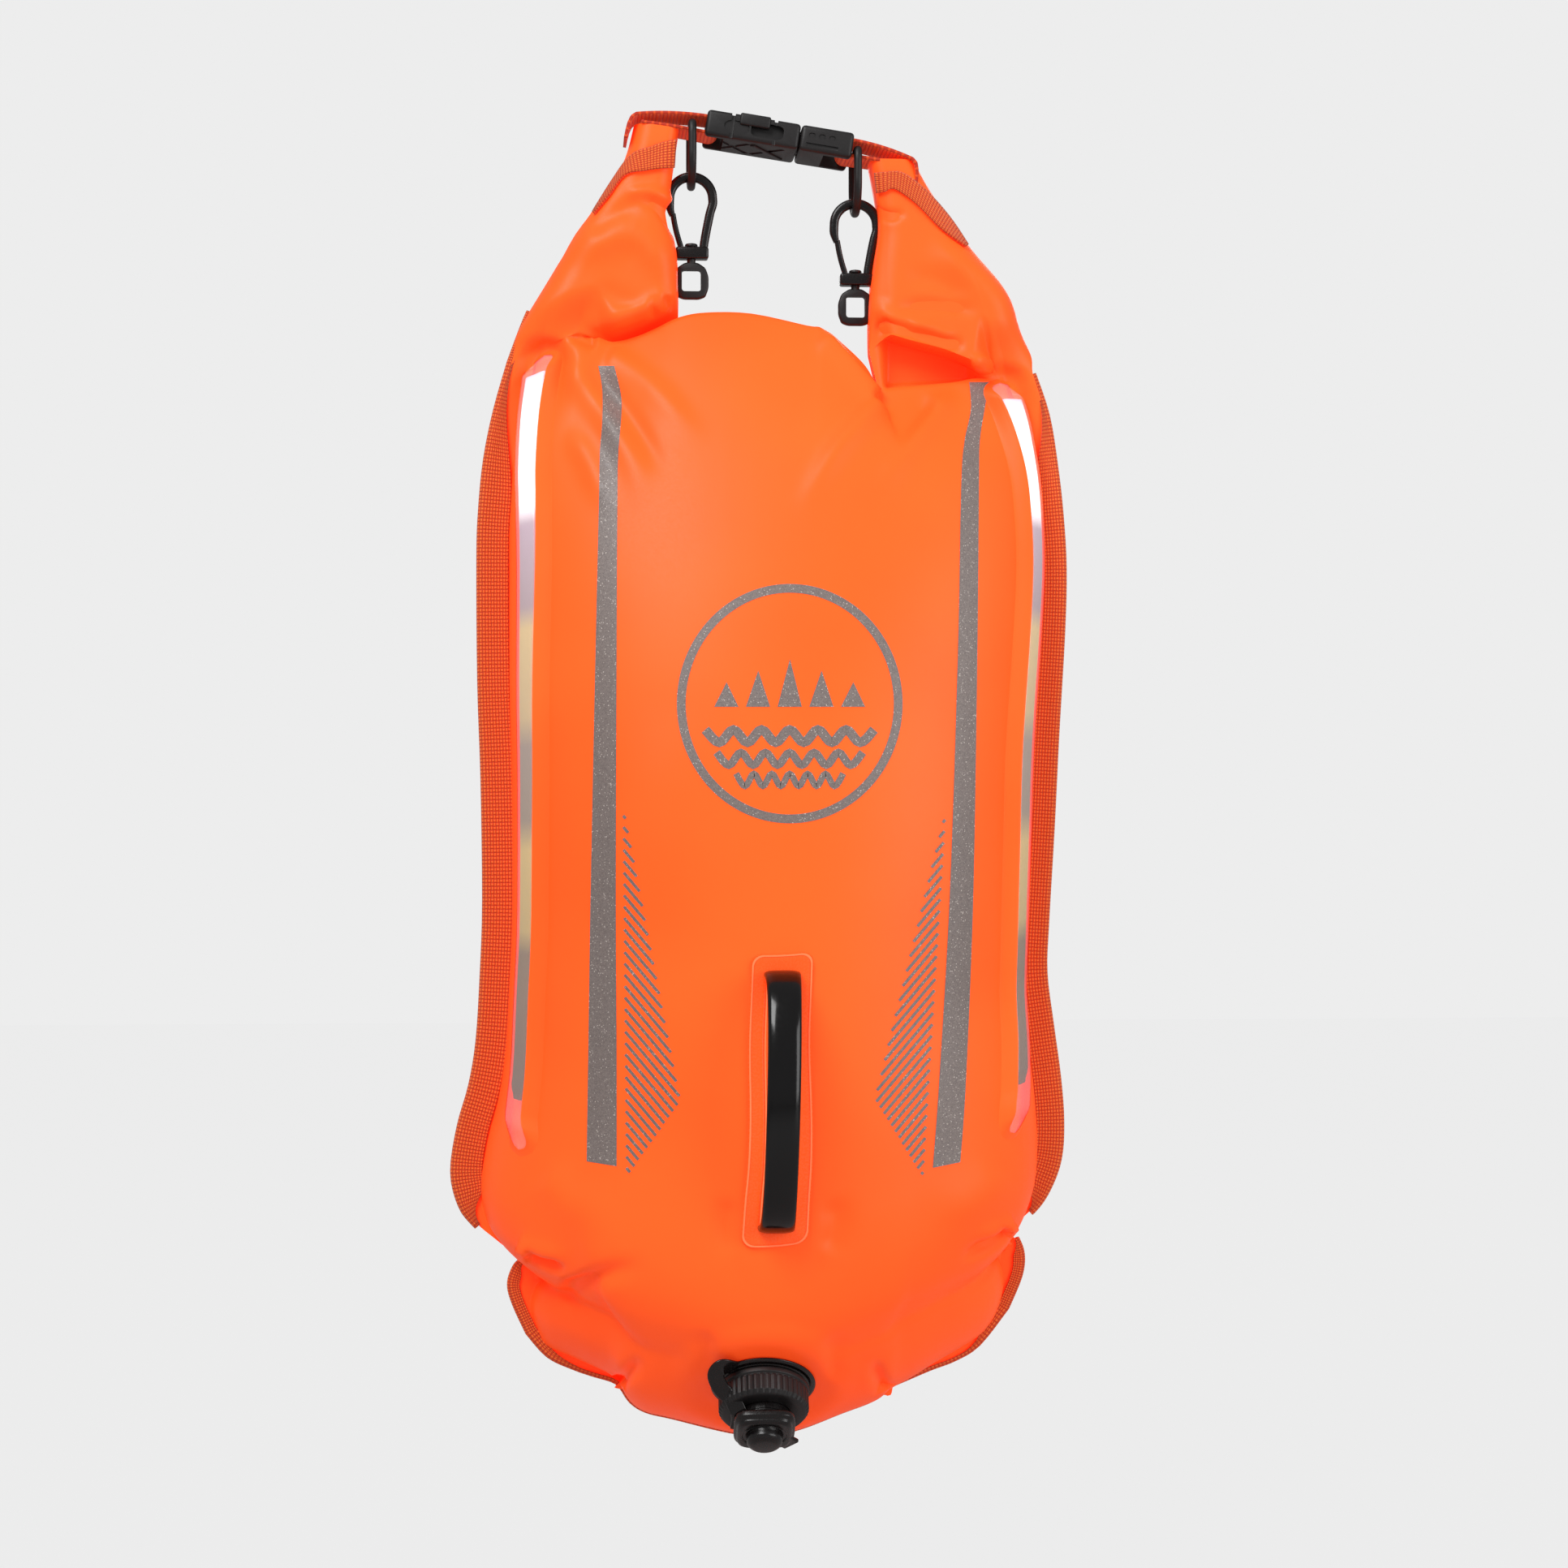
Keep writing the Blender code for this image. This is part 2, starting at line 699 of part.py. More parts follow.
def end_edges(outer_shares, inner_shares, tip_shares, foot_shares, ring):
    """The outer and inner edges of a rolled end, from its foot on the bag to its tip under the strap."""
    outer = [bag_point(pair) for pair in outer_shares]
    inner = [bag_point(foot_shares)]
    inner += [Vector((share * ring, 0, BAG_TOP - drop * BAG_LENGTH)) for share, drop in inner_shares]
    edges = []
    for points, x in ((outer, tip_shares[0] * HALF_WIDTH), (inner, tip_shares[1] * ring)):
        points[0] = points[0] + Vector((0, 0, CLEARANCE * 2))
        points.append(Vector((x, 0, strap_underside(x) - CLEARANCE)))
        edges.append(smooth_curve(points, CURVE_STEPS))
    return edges


END_MARGIN_LIMIT_SHARE = 0.45
END_COLUMNS = 20
END_ROWS = 16
BLUNT = 6


def rolled_end(name, outer, inner, finish):
    def place(a, b):
        start, end = along(outer, b), along(inner, b)
        width = (end - start).length
        margin = min(SEAM_MARGIN, width * END_MARGIN_LIMIT_SHARE)
        half = ROLL_HALF_DEPTH + (TIP_HALF_DEPTH - ROLL_HALF_DEPTH) * b
        turn = a * 2
        front = turn <= 1
        share = turn if front else 2 - turn
        step = share * (END_COLUMNS / 2)
        if step < 1:
            distance, depth = margin * step, SEAM_HALF * step
        else:
            s = -math.cos(math.pi * (step - 1) / (END_COLUMNS / 2 - 1))
            distance = margin + (width - margin) * (1 + s) / 2
            fullness = (1 - abs(s) ** BLUNT) ** 0.5
            depth = SEAM_HALF * (1 - step / END_COLUMNS * 2) + (half - SEAM_HALF) * fullness
        point = start + (end - start) * (distance / width)
        point.y = -depth if front else depth
        return point

    return closed_body(name, END_COLUMNS, END_ROWS, place, finish["fabric"])


def make_rolled_ends(finish):
    left = end_edges(OUTER_LEFT_SHARES, INNER_LEFT_SHARES, TIP_LEFT_SHARES, TOP_SHARES[1], D_PLACE_LEFT)
    right = end_edges(OUTER_RIGHT_SHARES, INNER_RIGHT_SHARES, TIP_RIGHT_SHARES, TOP_SHARES[-2], D_PLACE_RIGHT)
    roll = rolled_end("roll_end_left", *left, finish)
    foot = BAG_TOP - BAG_LENGTH * OUTER_LEFT_SHARES[0][1] - CUT_OVERRUN
    reach = HALF_WIDTH
    pocket_left, pocket_right = D_PLACE_LEFT - POCKET_REACH, D_PLACE_RIGHT + POCKET_REACH
    cut_box(roll, "left_hook_room", (pocket_left, POCKET_FRONT, foot), (0, reach, POCKET_TOP),
            finish["fabric"])
    roll = rolled_end("roll_end_right", *right, finish)
    cut_box(roll, "right_hook_room", (0, POCKET_FRONT, foot), (pocket_right, reach, POCKET_TOP_RIGHT),
            finish["fabric"])
    for name, edges, sign in (("shoulder_webbing_left", left, 1), ("shoulder_webbing_right", right, -1)):
        binding(name, edges[0], SHOULDER_TAPE_WIDTH, SHOULDER_TAPE_SPAN_SHARES, SHOULDER_TAPE_ROWS,
                lambda point, sign=sign: Vector((sign, 0, -1)), finish)


# Straps, buckle

def buckle_point(u, v, w):
    return BUCKLE_FRAME @ Vector((u, v, w))


BUCKLE_UP = (BUCKLE_FRAME.to_3x3() @ Vector((0, 0, 1))).normalized()


def strap(name, bar, tail, finish):
    """Webbing from the rolled end round the buckle's bar and back: tail and bar are along the buckle."""
    radius = LOOP_RADIUS + WEBBING / 2
    side = 1 if bar > tail else -1
    path = [Vector((tail, 0, radius)), Vector((bar, 0, radius))]
    for step in range(1, TURN_STEPS):
        turn = math.pi * step / TURN_STEPS
        path.append(Vector((bar + side * radius * math.sin(turn), 0, radius * math.cos(turn))))
    path += [Vector((bar, 0, -radius)), Vector((tail, 0, -radius))]
    count = len(path) - 1

    def place(a, b):
        point = path[round(b * count)]
        return buckle_point(point.x, (a * 2 - 1) * WEBBING_WIDTH / 2, point.z)

    sheet(name, 1, count, place, WEBBING, BUCKLE_UP, finish["webbing"], offset=0.0)


def make_socket(finish):
    start = SOCKET_MOUTH - SOCKET_LENGTH
    half, wide = BUCKLE_HALF_THICKNESS, BUCKLE_HALF_WIDTH
    socket = block("buckle_socket", (start, -wide, -half), (SOCKET_MOUTH, wide, half), finish["black"],
                   BUCKLE_FRAME, BUCKLE_EDGE)
    slot = WEBBING_WIDTH / 2 + STRAP_CLEARANCE
    bar_end = start + BAR
    over = half + CUT_OVERRUN
    cut_box(socket, "socket_strap_slot", (bar_end, -slot, -over), (bar_end + BAR_SLOT, slot, over),
            finish["black"], BUCKLE_FRAME)
    for name, low, high in (("socket_bar_top", BAR / 2, over), ("socket_bar_underside", -over, -BAR / 2)):
        cut_box(socket, name, (start - CUT_OVERRUN, -slot, low), (bar_end + CLEARANCE, slot, high),
                finish["black"], BUCKLE_FRAME)
    inner_half, inner_wide = half - SOCKET_WALL, wide - SOCKET_SIDE_WALL
    cut_box(socket, "socket_cavity", (SOCKET_MOUTH - SOCKET_CAVITY, -inner_wide, -inner_half),
            (SOCKET_MOUTH + CUT_OVERRUN, inner_wide, inner_half), finish["black"], BUCKLE_FRAME)
    window = SOCKET_MOUTH - BUTTON_WINDOW_START
    sill = inner_half - BUTTON_SILL
    cut_box(socket, "button_windows", (window - BUTTON_WINDOW_LENGTH, -wide - CUT_OVERRUN, -sill),
            (window, wide + CUT_OVERRUN, sill), finish["black"], BUCKLE_FRAME)


def make_plug(finish):
    start = SOCKET_MOUTH + CLEARANCE
    end = start + PLUG_LENGTH
    half, wide = BUCKLE_HALF_THICKNESS, BUCKLE_HALF_WIDTH
    plug = block("buckle_plug", (start, -wide, -half), (end, wide, half), finish["black"],
                 BUCKLE_FRAME, BUCKLE_EDGE)
    inner_half = half - SOCKET_WALL - CLEARANCE
    tongue = block_mesh((start - TONGUE_LENGTH, -TONGUE_HALF_WIDTH, -inner_half),
                        (start + CUT_OVERRUN, TONGUE_HALF_WIDTH, inner_half), BUCKLE_FRAME)
    boolean(plug, cutter("plug_tongue", tongue, finish["black"]), "UNION")
    slot = WEBBING_WIDTH / 2 + STRAP_CLEARANCE
    over = half + CUT_OVERRUN
    bar_start = end - BAR
    cut_box(plug, "plug_strap_slot", (start + PLUG_BLOCK, -slot, -over), (bar_start, slot, over),
            finish["black"], BUCKLE_FRAME)
    for name, low, high in (("plug_bar_top", BAR / 2, over), ("plug_bar_underside", -over, -BAR / 2)):
        cut_box(plug, name, (bar_start - CLEARANCE, -slot, low), (end + CUT_OVERRUN, slot, high),
                finish["black"], BUCKLE_FRAME)
    outer = wide - SOCKET_SIDE_WALL - CLEARANCE
    for name, side in (("plug_arm_front", -1), ("plug_arm_back", 1)):
        root = start - CLEARANCE
        outline = [
            (root, outer - CLEARANCE),
            (root - ARM_LENGTH, outer - CLEARANCE),
            (root - ARM_LENGTH, outer - ARM_BARB),
            (root - ARM_LENGTH + ARM_BARB_LENGTH, outer - ARM_BARB),
            (root - ARM_LENGTH + ARM_BARB_LENGTH + ARM_THICKNESS, outer - ARM_THICKNESS),
            (root, outer - ARM_THICKNESS),
        ]
        points = [(u, side * v) for u, v in outline]
        arm = extruded_mesh(points, inner_half, BUCKLE_FRAME)
        pivot = buckle_point(root, side * (outer - ARM_THICKNESS / 2), 0)
        add_object(name, arm, finish["black"], pivot=pivot)


def extruded_mesh(outline, half, frame):
    """An outline in the frame's X and Y, made a plate of half thicknesses up and down its Z."""
    bm = bmesh.new()
    face = bm.faces.new([bm.verts.new((x, y, -half)) for x, y in outline])
    grown = bmesh.ops.extrude_face_region(bm, geom=[face])
    moved = [item for item in grown["geom"] if isinstance(item, bmesh.types.BMVert)]
    bmesh.ops.translate(bm, vec=(0, 0, half * 2), verts=moved)
    bmesh.ops.recalc_face_normals(bm, faces=bm.faces)
    bm.transform(frame)
    return bm


def make_closure(finish):
    make_socket(finish)
    make_plug(finish)
    strap("strap_left", LEFT_BAR, STRAP_TAIL_LEFT_SHARE * HALF_WIDTH, finish)
    strap("strap_right", RIGHT_BAR, STRAP_TAIL_RIGHT_SHARE * HALF_WIDTH, finish)


# D-rings, snap hooks

def rod_mesh(path, radius, normal, closed=False):
    """A rod along a flat path: normal is the direction square to the path's plane."""
    count = len(path) if closed else len(path) - 1

    def place(a, b):
        i = round(b * count)
        before = path[(i - 1) % len(path)] if closed else path[max(i - 1, 0)]
        after = path[(i + 1) % len(path)] if closed else path[min(i + 1, count)]
        direction = (after - before).normalized()
        side = direction.cross(normal).normalized()
        turn = 2 * math.pi * a
        return path[i % len(path)] + side * radius * math.cos(turn) + normal * radius * math.sin(turn)

    bm = bent_grid(ROD_SIDES, count, place)
    bmesh.ops.remove_doubles(bm, verts=bm.verts, dist=MERGE)
    if not closed:
        bmesh.ops.holes_fill(bm, edges=[edge for edge in bm.edges if edge.is_boundary], sides=0)
    bmesh.ops.recalc_face_normals(bm, faces=bm.faces)
    return bm


D_BAR_SEAT = WIRE + CLEARANCE - LOOP_RADIUS


def d_ring_bar(place):
    return buckle_point(place / math.cos(SLOPE), 0, D_BAR_SEAT)


def make_d_ring(name, bar, finish):
    """The straight bar lies inside the strap's loop, and the bow hangs straight down from it."""
    drop = D_DEPTH - D_HALF_WIDTH
    path = [bar + Vector((0, share * D_HALF_WIDTH, 0)) for share in D_BAR_SHARES]
    for step in range(TURN_STEPS + 1):
        turn = math.pi * step / TURN_STEPS
        path.append(bar + Vector((0, D_HALF_WIDTH * math.cos(turn), -drop - D_HALF_WIDTH * math.sin(turn))))
    bm = rod_mesh(path, WIRE, Vector((1, 0, 0)), closed=True)
    return add_object(name, bm, finish["black"], pivot=bar)


def hook_point(pivot, x, drop):
    return pivot + Vector((x, 0, -drop))


def make_hook(side, pivot, finish):
    """A snap hook on the D-ring's lowest point, with its gate, and the strap eye that swivels under it."""
    top = WIRE + CLEARANCE + HOOK_ROD
    centre = HOOK_HALF_WIDTH - top
    foot = [
        hook_point(pivot, HOOK_SPINE_FOOT, HOOK_FOOT_DROP + COLLAR_HEIGHT / 2),
        hook_point(pivot, HOOK_SPINE_FOOT, HOOK_FOOT_DROP - HOOK_ROD),
        hook_point(pivot, HOOK_HALF_WIDTH - HOOK_ROD / 2, (HOOK_SPINE_DROP + centre) / 2),
    ]
    path = smooth_curve(foot + [hook_point(pivot, HOOK_HALF_WIDTH, centre)], CURVE_STEPS)[:-1]
    for step in range(TURN_STEPS + 1):
        turn = math.pi * step / TURN_STEPS
        x, rise = HOOK_HALF_WIDTH * math.cos(turn), HOOK_HALF_WIDTH * math.sin(turn)
        path.append(hook_point(pivot, x, centre - rise))
    path.append(hook_point(pivot, -HOOK_HALF_WIDTH, centre + HOOK_TIP_DROP / 2))
    path.append(hook_point(pivot, -HOOK_HALF_WIDTH + HOOK_ROD / 2, centre + HOOK_TIP_DROP))
    rod = rod_mesh(path, HOOK_ROD, Vector((0, 1, 0)))
    hook = add_object("snap_hook_" + side, rod, finish["black"], pivot=pivot)
    wide, deep = COLLAR_HALF_WIDTH + HOOK_ROD, COLLAR_HALF_DEPTH
    low = hook_point(pivot, -wide, HOOK_FOOT_DROP + COLLAR_HEIGHT) - Vector((0, deep, 0))
    high = hook_point(pivot, HOOK_SPINE_FOOT + HOOK_ROD, HOOK_FOOT_DROP) + Vector((0, deep, 0))
    boolean(hook, cutter("hook_collar_" + side, block_mesh(low, high), finish["black"]), "UNION")
    middle = Matrix.Translation(hook_point(pivot, 0, HOOK_FOOT_DROP + COLLAR_HEIGHT / 2))
    bore = turned_mesh([(0, -COLLAR_HEIGHT), (COLLAR_BORE, -COLLAR_HEIGHT), (COLLAR_BORE, COLLAR_HEIGHT),
                        (0, COLLAR_HEIGHT)], middle, SMALL_SIDES)
    boolean(hook, cutter("hook_bore_" + side, bore, finish["black"]))
    hinge = hook_point(pivot, -COLLAR_HALF_WIDTH, HOOK_FOOT_DROP - GATE_ROD - CLEARANCE)
    tip = path[-1] + Vector((HOOK_ROD - GATE_ROD, 0, -GATE_ROD * 2))
    foot = hinge + (hinge - tip).normalized() * GATE_FOOT
    gate = rod_mesh([foot, hinge, tip], GATE_ROD, Vector((0, 1, 0)))
    add_object("hook_gate_" + side, gate, finish["black"], pivot=hinge)
    make_eye(side, hook_point(pivot, 0, HOOK_FOOT_DROP + COLLAR_HEIGHT), finish)


def make_eye(side, seat, finish):
    """The swivelling eye: a slotted plate, whose stem runs up through the hook's collar to a riveted head."""
    half, wall, thick = EYE_HALF_WIDTH, EYE_WALL, EYE_THICKNESS / 2
    upright = Matrix.Translation(seat) @ Matrix.Rotation(math.radians(90), 4, "X")
    outline = [(x * half, -EYE_GAP - y * EYE_HEIGHT) for x, y in EYE_OUTLINE_SHARES]
    plate = extruded_mesh(outline, thick, upright)
    eye = add_object("strap_eye_" + side, plate, finish["black"], pivot=seat)
    room_half, low, high = half - wall, EYE_GAP + EYE_HEIGHT - wall, EYE_GAP + wall
    cut_box(eye, "eye_slot_" + side, seat + Vector((-room_half, -thick - CUT_OVERRUN, -low)),
            seat + Vector((room_half, thick + CUT_OVERRUN, -high)), finish["black"])
    head = COLLAR_HEIGHT + CLEARANCE
    foot, top = -EYE_GAP - wall / 2, head + EYE_HEAD_HEIGHT
    profile = [(0, foot), (EYE_STEM, foot), (EYE_STEM, head), (EYE_HEAD, head), (EYE_HEAD_TOP, top), (0, top)]
    stem = turned_mesh(profile, Matrix.Translation(seat), SMALL_SIDES)
    boolean(eye, cutter("eye_stem_" + side, stem, finish["black"]), "UNION")


def make_rings_and_hooks(finish):
    for side, place in (("left", D_PLACE_LEFT), ("right", D_PLACE_RIGHT)):
        bar = d_ring_bar(place)
        make_d_ring("d_ring_" + side, bar, finish)
        make_hook(side, bar - Vector((0, 0, D_DEPTH)), finish)


# Handle

def rounded(share):
    """A cosine or sine of the grip's section, swelled so that the flat oval has full corners."""
    return math.copysign(abs(share) ** GRIP_ROUNDING_POWER, share)


def make_handle(finish):
    first, last = PATCH_SPAN_SHARES
    half = PATCH_HALF_WIDTH / HALF_WIDTH

    def patch_place(a, b):
        point, _, _, outward = skin_frame((a * 2 - 1) * half, first + (last - first) * b)
        return point + outward * SKIN_CLEARANCE

    sheet("handle_patch", PATCH_COLUMNS, PATCH_ROWS, patch_place, PATCH, Vector((0, -1, 0)), finish["fabric"])
    lift = SKIN_CLEARANCE + PATCH + CLEARANCE
    ends = []
    for share in GRIP_SPAN_SHARES:
        point, _, _, outward = skin_frame(0, share)
        ends.append(point + outward * lift)
    top, foot = ends
    reach = (foot - top) / 2
    outward = reach.cross(Vector((1, 0, 0))).normalized()
    if outward.y > 0:
        outward.negate()

    def grip_place(a, b):
        turn = math.pi * round(b * GRIP_STEPS) / GRIP_STEPS
        centre = top + reach - reach * math.cos(turn) + outward * GRIP_BOW * math.sin(turn)
        direction = (reach * math.sin(turn) + outward * GRIP_BOW * math.cos(turn)).normalized()
        side = Vector((1, 0, 0))
        up = direction.cross(side).normalized()
        angle = 2 * math.pi * a
        across = rounded(math.cos(angle)) * GRIP_HALF_WIDTH
        over = rounded(math.sin(angle)) * GRIP_HALF_THICKNESS
        return centre + side * across + up * over

    closed_body("handle_grip", GRIP_SIDES, GRIP_STEPS, grip_place, finish["black"])


# Light tubes and their windows

def skin_bar(name, across, span, half, low, high, rows, finish, pivot=None):
    """A bar that lies along the skin, between two heights above it."""
    corners = [(-half, low), (half, low), (half, high), (-half, high)]

    def place(a, b):
        point, sideways, _, outward = skin_frame(across, span[0] + (span[1] - span[0]) * b)
        offset, lift = corners[round(a * len(corners)) % len(corners)]
        return point + sideways * offset + outward * lift

    return closed_body(name, len(corners), rows, place, finish, pivot=pivot)


def make_light(side, across, finish):
    low = SKIN_CLEARANCE
    tube = skin_bar("light_tube_" + side, across, TUBE_SPAN_SHARES, TUBE_HALF_WIDTH, low,
                    low + TUBE_THICKNESS, TUBE_ROWS, finish["glow"])
    first, last = TUBE_SPAN_SHARES
    room_low, room_high = low + TUBE_WALL, low + TUBE_THICKNESS - TUBE_WALL
    room = skin_bar("light_room_" + side, across, (first - TUBE_FLOOR_SHARE, last - TUBE_FLOOR_SHARE),
                    TUBE_HALF_WIDTH - TUBE_WALL, room_low, room_high, TUBE_ROWS, finish["glow"])
    room.hide_render = True
    room.display_type = "WIRE"
    boolean(tube, room)
    board_low = room_low + LIGHT_CLEARANCE
    skin_bar("light_board_" + side, across, BOARD_SPAN_SHARES, BOARD_HALF_WIDTH, board_low, board_low + BOARD,
             BOARD_ROWS, finish["board"])
    point, _, downward, outward = skin_frame(across, CELL_PLACE_SHARE)
    cell_low = board_low + BOARD + LIGHT_CLEARANCE
    facing = outward.to_track_quat("Z", "Y").to_matrix().to_4x4()
    frame = Matrix.Translation(point + outward * cell_low) @ facing
    cell = turned_mesh([(0, 0), (CELL_RADIUS, 0), (CELL_RADIUS, CELL), (0, CELL)], frame, CELL_SIDES)
    add_object("light_cell_" + side, cell, finish["steel"])
    button_point, _, _, _ = skin_frame(across, BUTTON_SPAN_SHARES[0])
    skin_bar("light_button_" + side, across, BUTTON_SPAN_SHARES, BUTTON_HALF_WIDTH, room_low + BUTTON_INSET,
             room_high - BUTTON_INSET, BUTTON_ROWS, finish["soft_black"], pivot=button_point)
    make_window(side, across, finish)


def make_window(side, across, finish):
    """Clear film that arches over the tube and comes down to the skin on both sides."""
    crest = SKIN_CLEARANCE + TUBE_THICKNESS + WINDOW_CLEARANCE
    flat = WINDOW_HALF_WIDTH * WINDOW_CREST_SHARE
    section = [(-WINDOW_HALF_WIDTH, -WINDOW_EDGE_DROP), (-flat, crest), (flat, crest),
               (WINDOW_HALF_WIDTH, -WINDOW_EDGE_DROP)]
    first, last = WINDOW_SPAN_SHARES

    def place(a, b):
        point, sideways, _, outward = skin_frame(across, first + (last - first) * b)
        offset, lift = section[round(a * (len(section) - 1))]
        return point + sideways * offset + outward * lift

    _, _, _, outward = skin_frame(across, (first + last) / 2)
    sheet("window_" + side, len(section) - 1, WINDOW_ROWS, place, WINDOW, outward, finish["clear"])


def make_lights(finish):
    make_light("left", TUBE_LEFT_SHARE, finish)
    make_light("right", TUBE_RIGHT_SHARE, finish)


# Valve

def turned_mesh(profile, frame=None, sides=VALVE_SIDES, shape=None):
    """A turned solid about the frame's Z. A (radius, height) profile that starts off the axis is closed."""
    closed = profile[0][0] > 0
    points = profile + [profile[0]] if closed else profile
    count = len(points) - 1

    def place(a, b):
        index = round(b * count)
        radius, height = points[index]
        turn = 2 * math.pi * a
        grown = shape(index % len(profile), a, radius) if shape else radius
        return Vector((grown * math.cos(turn), grown * math.sin(turn), height))

    bm = bent_grid(sides, count, place)
    bmesh.ops.remove_doubles(bm, verts=bm.verts, dist=MERGE)
    bmesh.ops.recalc_face_normals(bm, faces=bm.faces)
    bm.transform(frame if frame is not None else VALVE_FRAME)
    return bm


VALVE_FRAME = Matrix.Translation(VALVE_SEAT_POINT) @ VALVE_AXIS.to_track_quat("Z", "Y").to_matrix().to_4x4()
STEM_RADIUS = NECK_BORE - CLEARANCE - INSERT_WALL - CLEARANCE * 1.5


def make_valve(finish):
    base = CLEARANCE
    flange = [
        (NECK_BORE, base), (FLANGE_RADIUS, base), (FLANGE_RADIUS, base + FLANGE / 2),
        (FLANGE_RADIUS - FLANGE / 2, base + FLANGE), (NECK_RADIUS, base + FLANGE), (NECK_RADIUS, NECK_HEIGHT),
        (NECK_BORE, NECK_HEIGHT),
    ]
    add_object("valve_flange", turned_mesh(flange), finish["black"], pivot=VALVE_SEAT_POINT)

    low = base + FLANGE + CLEARANCE
    inner = NECK_RADIUS + CLEARANCE
    insert_outer = NECK_BORE - CLEARANCE
    lip_low = NECK_HEIGHT + CLEARANCE
    lip_high = lip_low + INSERT_LIP
    collar = [
        (inner, low), (COLLAR_RADIUS, low), (COLLAR_RADIUS, COLLAR_TOP - COLLAR_LIP),
        (COLLAR_RADIUS - COLLAR_LIP, COLLAR_TOP), (NECK_BORE, COLLAR_TOP), (NECK_BORE, lip_high + CLEARANCE),
        (inner, lip_high + CLEARANCE),
    ]

    def knurled(index, a, radius):
        return radius - KNURL * (round(a * VALVE_SIDES * 2) % 2) if index in (1, 2) else radius

    add_object("valve_collar", turned_mesh(collar, sides=VALVE_SIDES * 2, shape=knurled), finish["black"],
               pivot=VALVE_SEAT_POINT)

    bore = insert_outer - INSERT_WALL
    ledge_top = INSERT_LEDGE + INSERT_LEDGE
    insert = [
        (bore - INSERT_LEDGE, INSERT_LEDGE), (insert_outer, INSERT_LEDGE), (insert_outer, lip_low),
        (inner - CLEARANCE * 3, lip_low), (inner - CLEARANCE * 3, lip_high), (insert_outer, lip_high),
        (insert_outer, INSERT_TOP), (bore, INSERT_TOP), (bore, ledge_top), (bore - INSERT_LEDGE, ledge_top),
    ]
    add_object("valve_insert", turned_mesh(insert), finish["soft_black"])

    flap_low = ledge_top + CLEARANCE
    flap_radius = bore - CLEARANCE
    flap = [(0, flap_low), (flap_radius, flap_low), (flap_radius, flap_low + FLAP), (0, flap_low + FLAP)]
    add_object("valve_flap", turned_mesh(flap), finish["soft_black"])

    seal_low = INSERT_TOP + CLEARANCE
    seal_high = seal_low + SEAL
    seal = [(bore, seal_low), (insert_outer, seal_low), (insert_outer, seal_high), (bore, seal_high)]
    add_object("valve_seal", turned_mesh(seal), finish["soft_black"])

    cap_low = seal_high + CLEARANCE
    cap_high = cap_low + CAP_HEIGHT
    knob = cap_high + KNOB_HEIGHT
    cap = [
        (0, cap_low - STEM_DEPTH), (STEM_RADIUS, cap_low - STEM_DEPTH), (STEM_RADIUS, cap_low),
        (CAP_HALF_WIDTH, cap_low), (CAP_HALF_WIDTH, cap_high - CAP_EDGE),
        (CAP_HALF_WIDTH - CAP_EDGE, cap_high), (KNOB_RADIUS, cap_high),
        (KNOB_RADIUS, cap_high + KNOB_HEIGHT / 2), (KNOB_CROWN_RADIUS, knob - KNOB_ROUND), (0, knob),
    ]

    def squared(index, a, radius):
        if index not in (3, 4, 5):
            return radius
        turn = 2 * math.pi * a
        square = abs(math.cos(turn)) ** CAP_SQUARE_POWER + abs(math.sin(turn)) ** CAP_SQUARE_POWER
        return radius / square ** (1 / CAP_SQUARE_POWER)

    add_object("valve_cap", turned_mesh(cap, shape=squared), finish["soft_black"], pivot=VALVE_SEAT_POINT)
    make_tether(cap_low, finish)


def make_tether(cap_low, finish):
    """A rubber strap from the flange's rim to the cap's edge, bowed outwards."""
    height = cap_low + CAP_HEIGHT / 2
    start_radius = FLANGE_RADIUS + CLEARANCE + TETHER / 2
    route = smooth_curve([
        Vector((-start_radius, 0, CLEARANCE + TETHER)),
        Vector((-start_radius - TETHER_BOW, 0, height * TETHER_HEIGHT_SHARES[0])),
        Vector((-COLLAR_RADIUS - TETHER_BOW, 0, height * TETHER_HEIGHT_SHARES[1])),
        Vector((-CAP_HALF_WIDTH - CLEARANCE - TETHER / 2 - TETHER_BOW / 3, 0, height)),
    ], CURVE_STEPS)
    count = len(route) - 1

    def place(a, b):
        point = route[round(b * count)] + Vector((0, (a * 2 - 1) * TETHER_HALF_WIDTH, 0))
        return VALVE_FRAME @ point

    sheet("valve_tether", 1, count, place, TETHER, VALVE_AXIS, finish["soft_black"], offset=0.0)


def main():
    for old in list(bpy.data.objects):
        bpy.data.objects.remove(old)
    finish = materials()
    make_panels(finish)
    make_liner(finish)
    make_bindings(finish)
    make_mouth(finish)
    make_rolled_ends(finish)
    make_closure(finish)
    make_rings_and_hooks(finish)
    make_handle(finish)
    make_lights(finish)
    make_valve(finish)


main()
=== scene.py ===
"""Looks of an open water swim buoy: an inflated tow float and roll-top bag.

It hangs from its closed buckle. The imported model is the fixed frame. Every piece is made in metres, in that
frame, with +Z up, +X to the right and the front facing -Y. Lines read from the photograph are named pixel
coordinates in its 1932 pixel frame.
"""

import json
import logging
import math
from dataclasses import dataclass, field
from enum import Enum
from typing import Callable, Sequence

import bmesh
import bpy
import numpy as np
from mathutils import Matrix, Vector
from mathutils.bvhtree import BVHTree

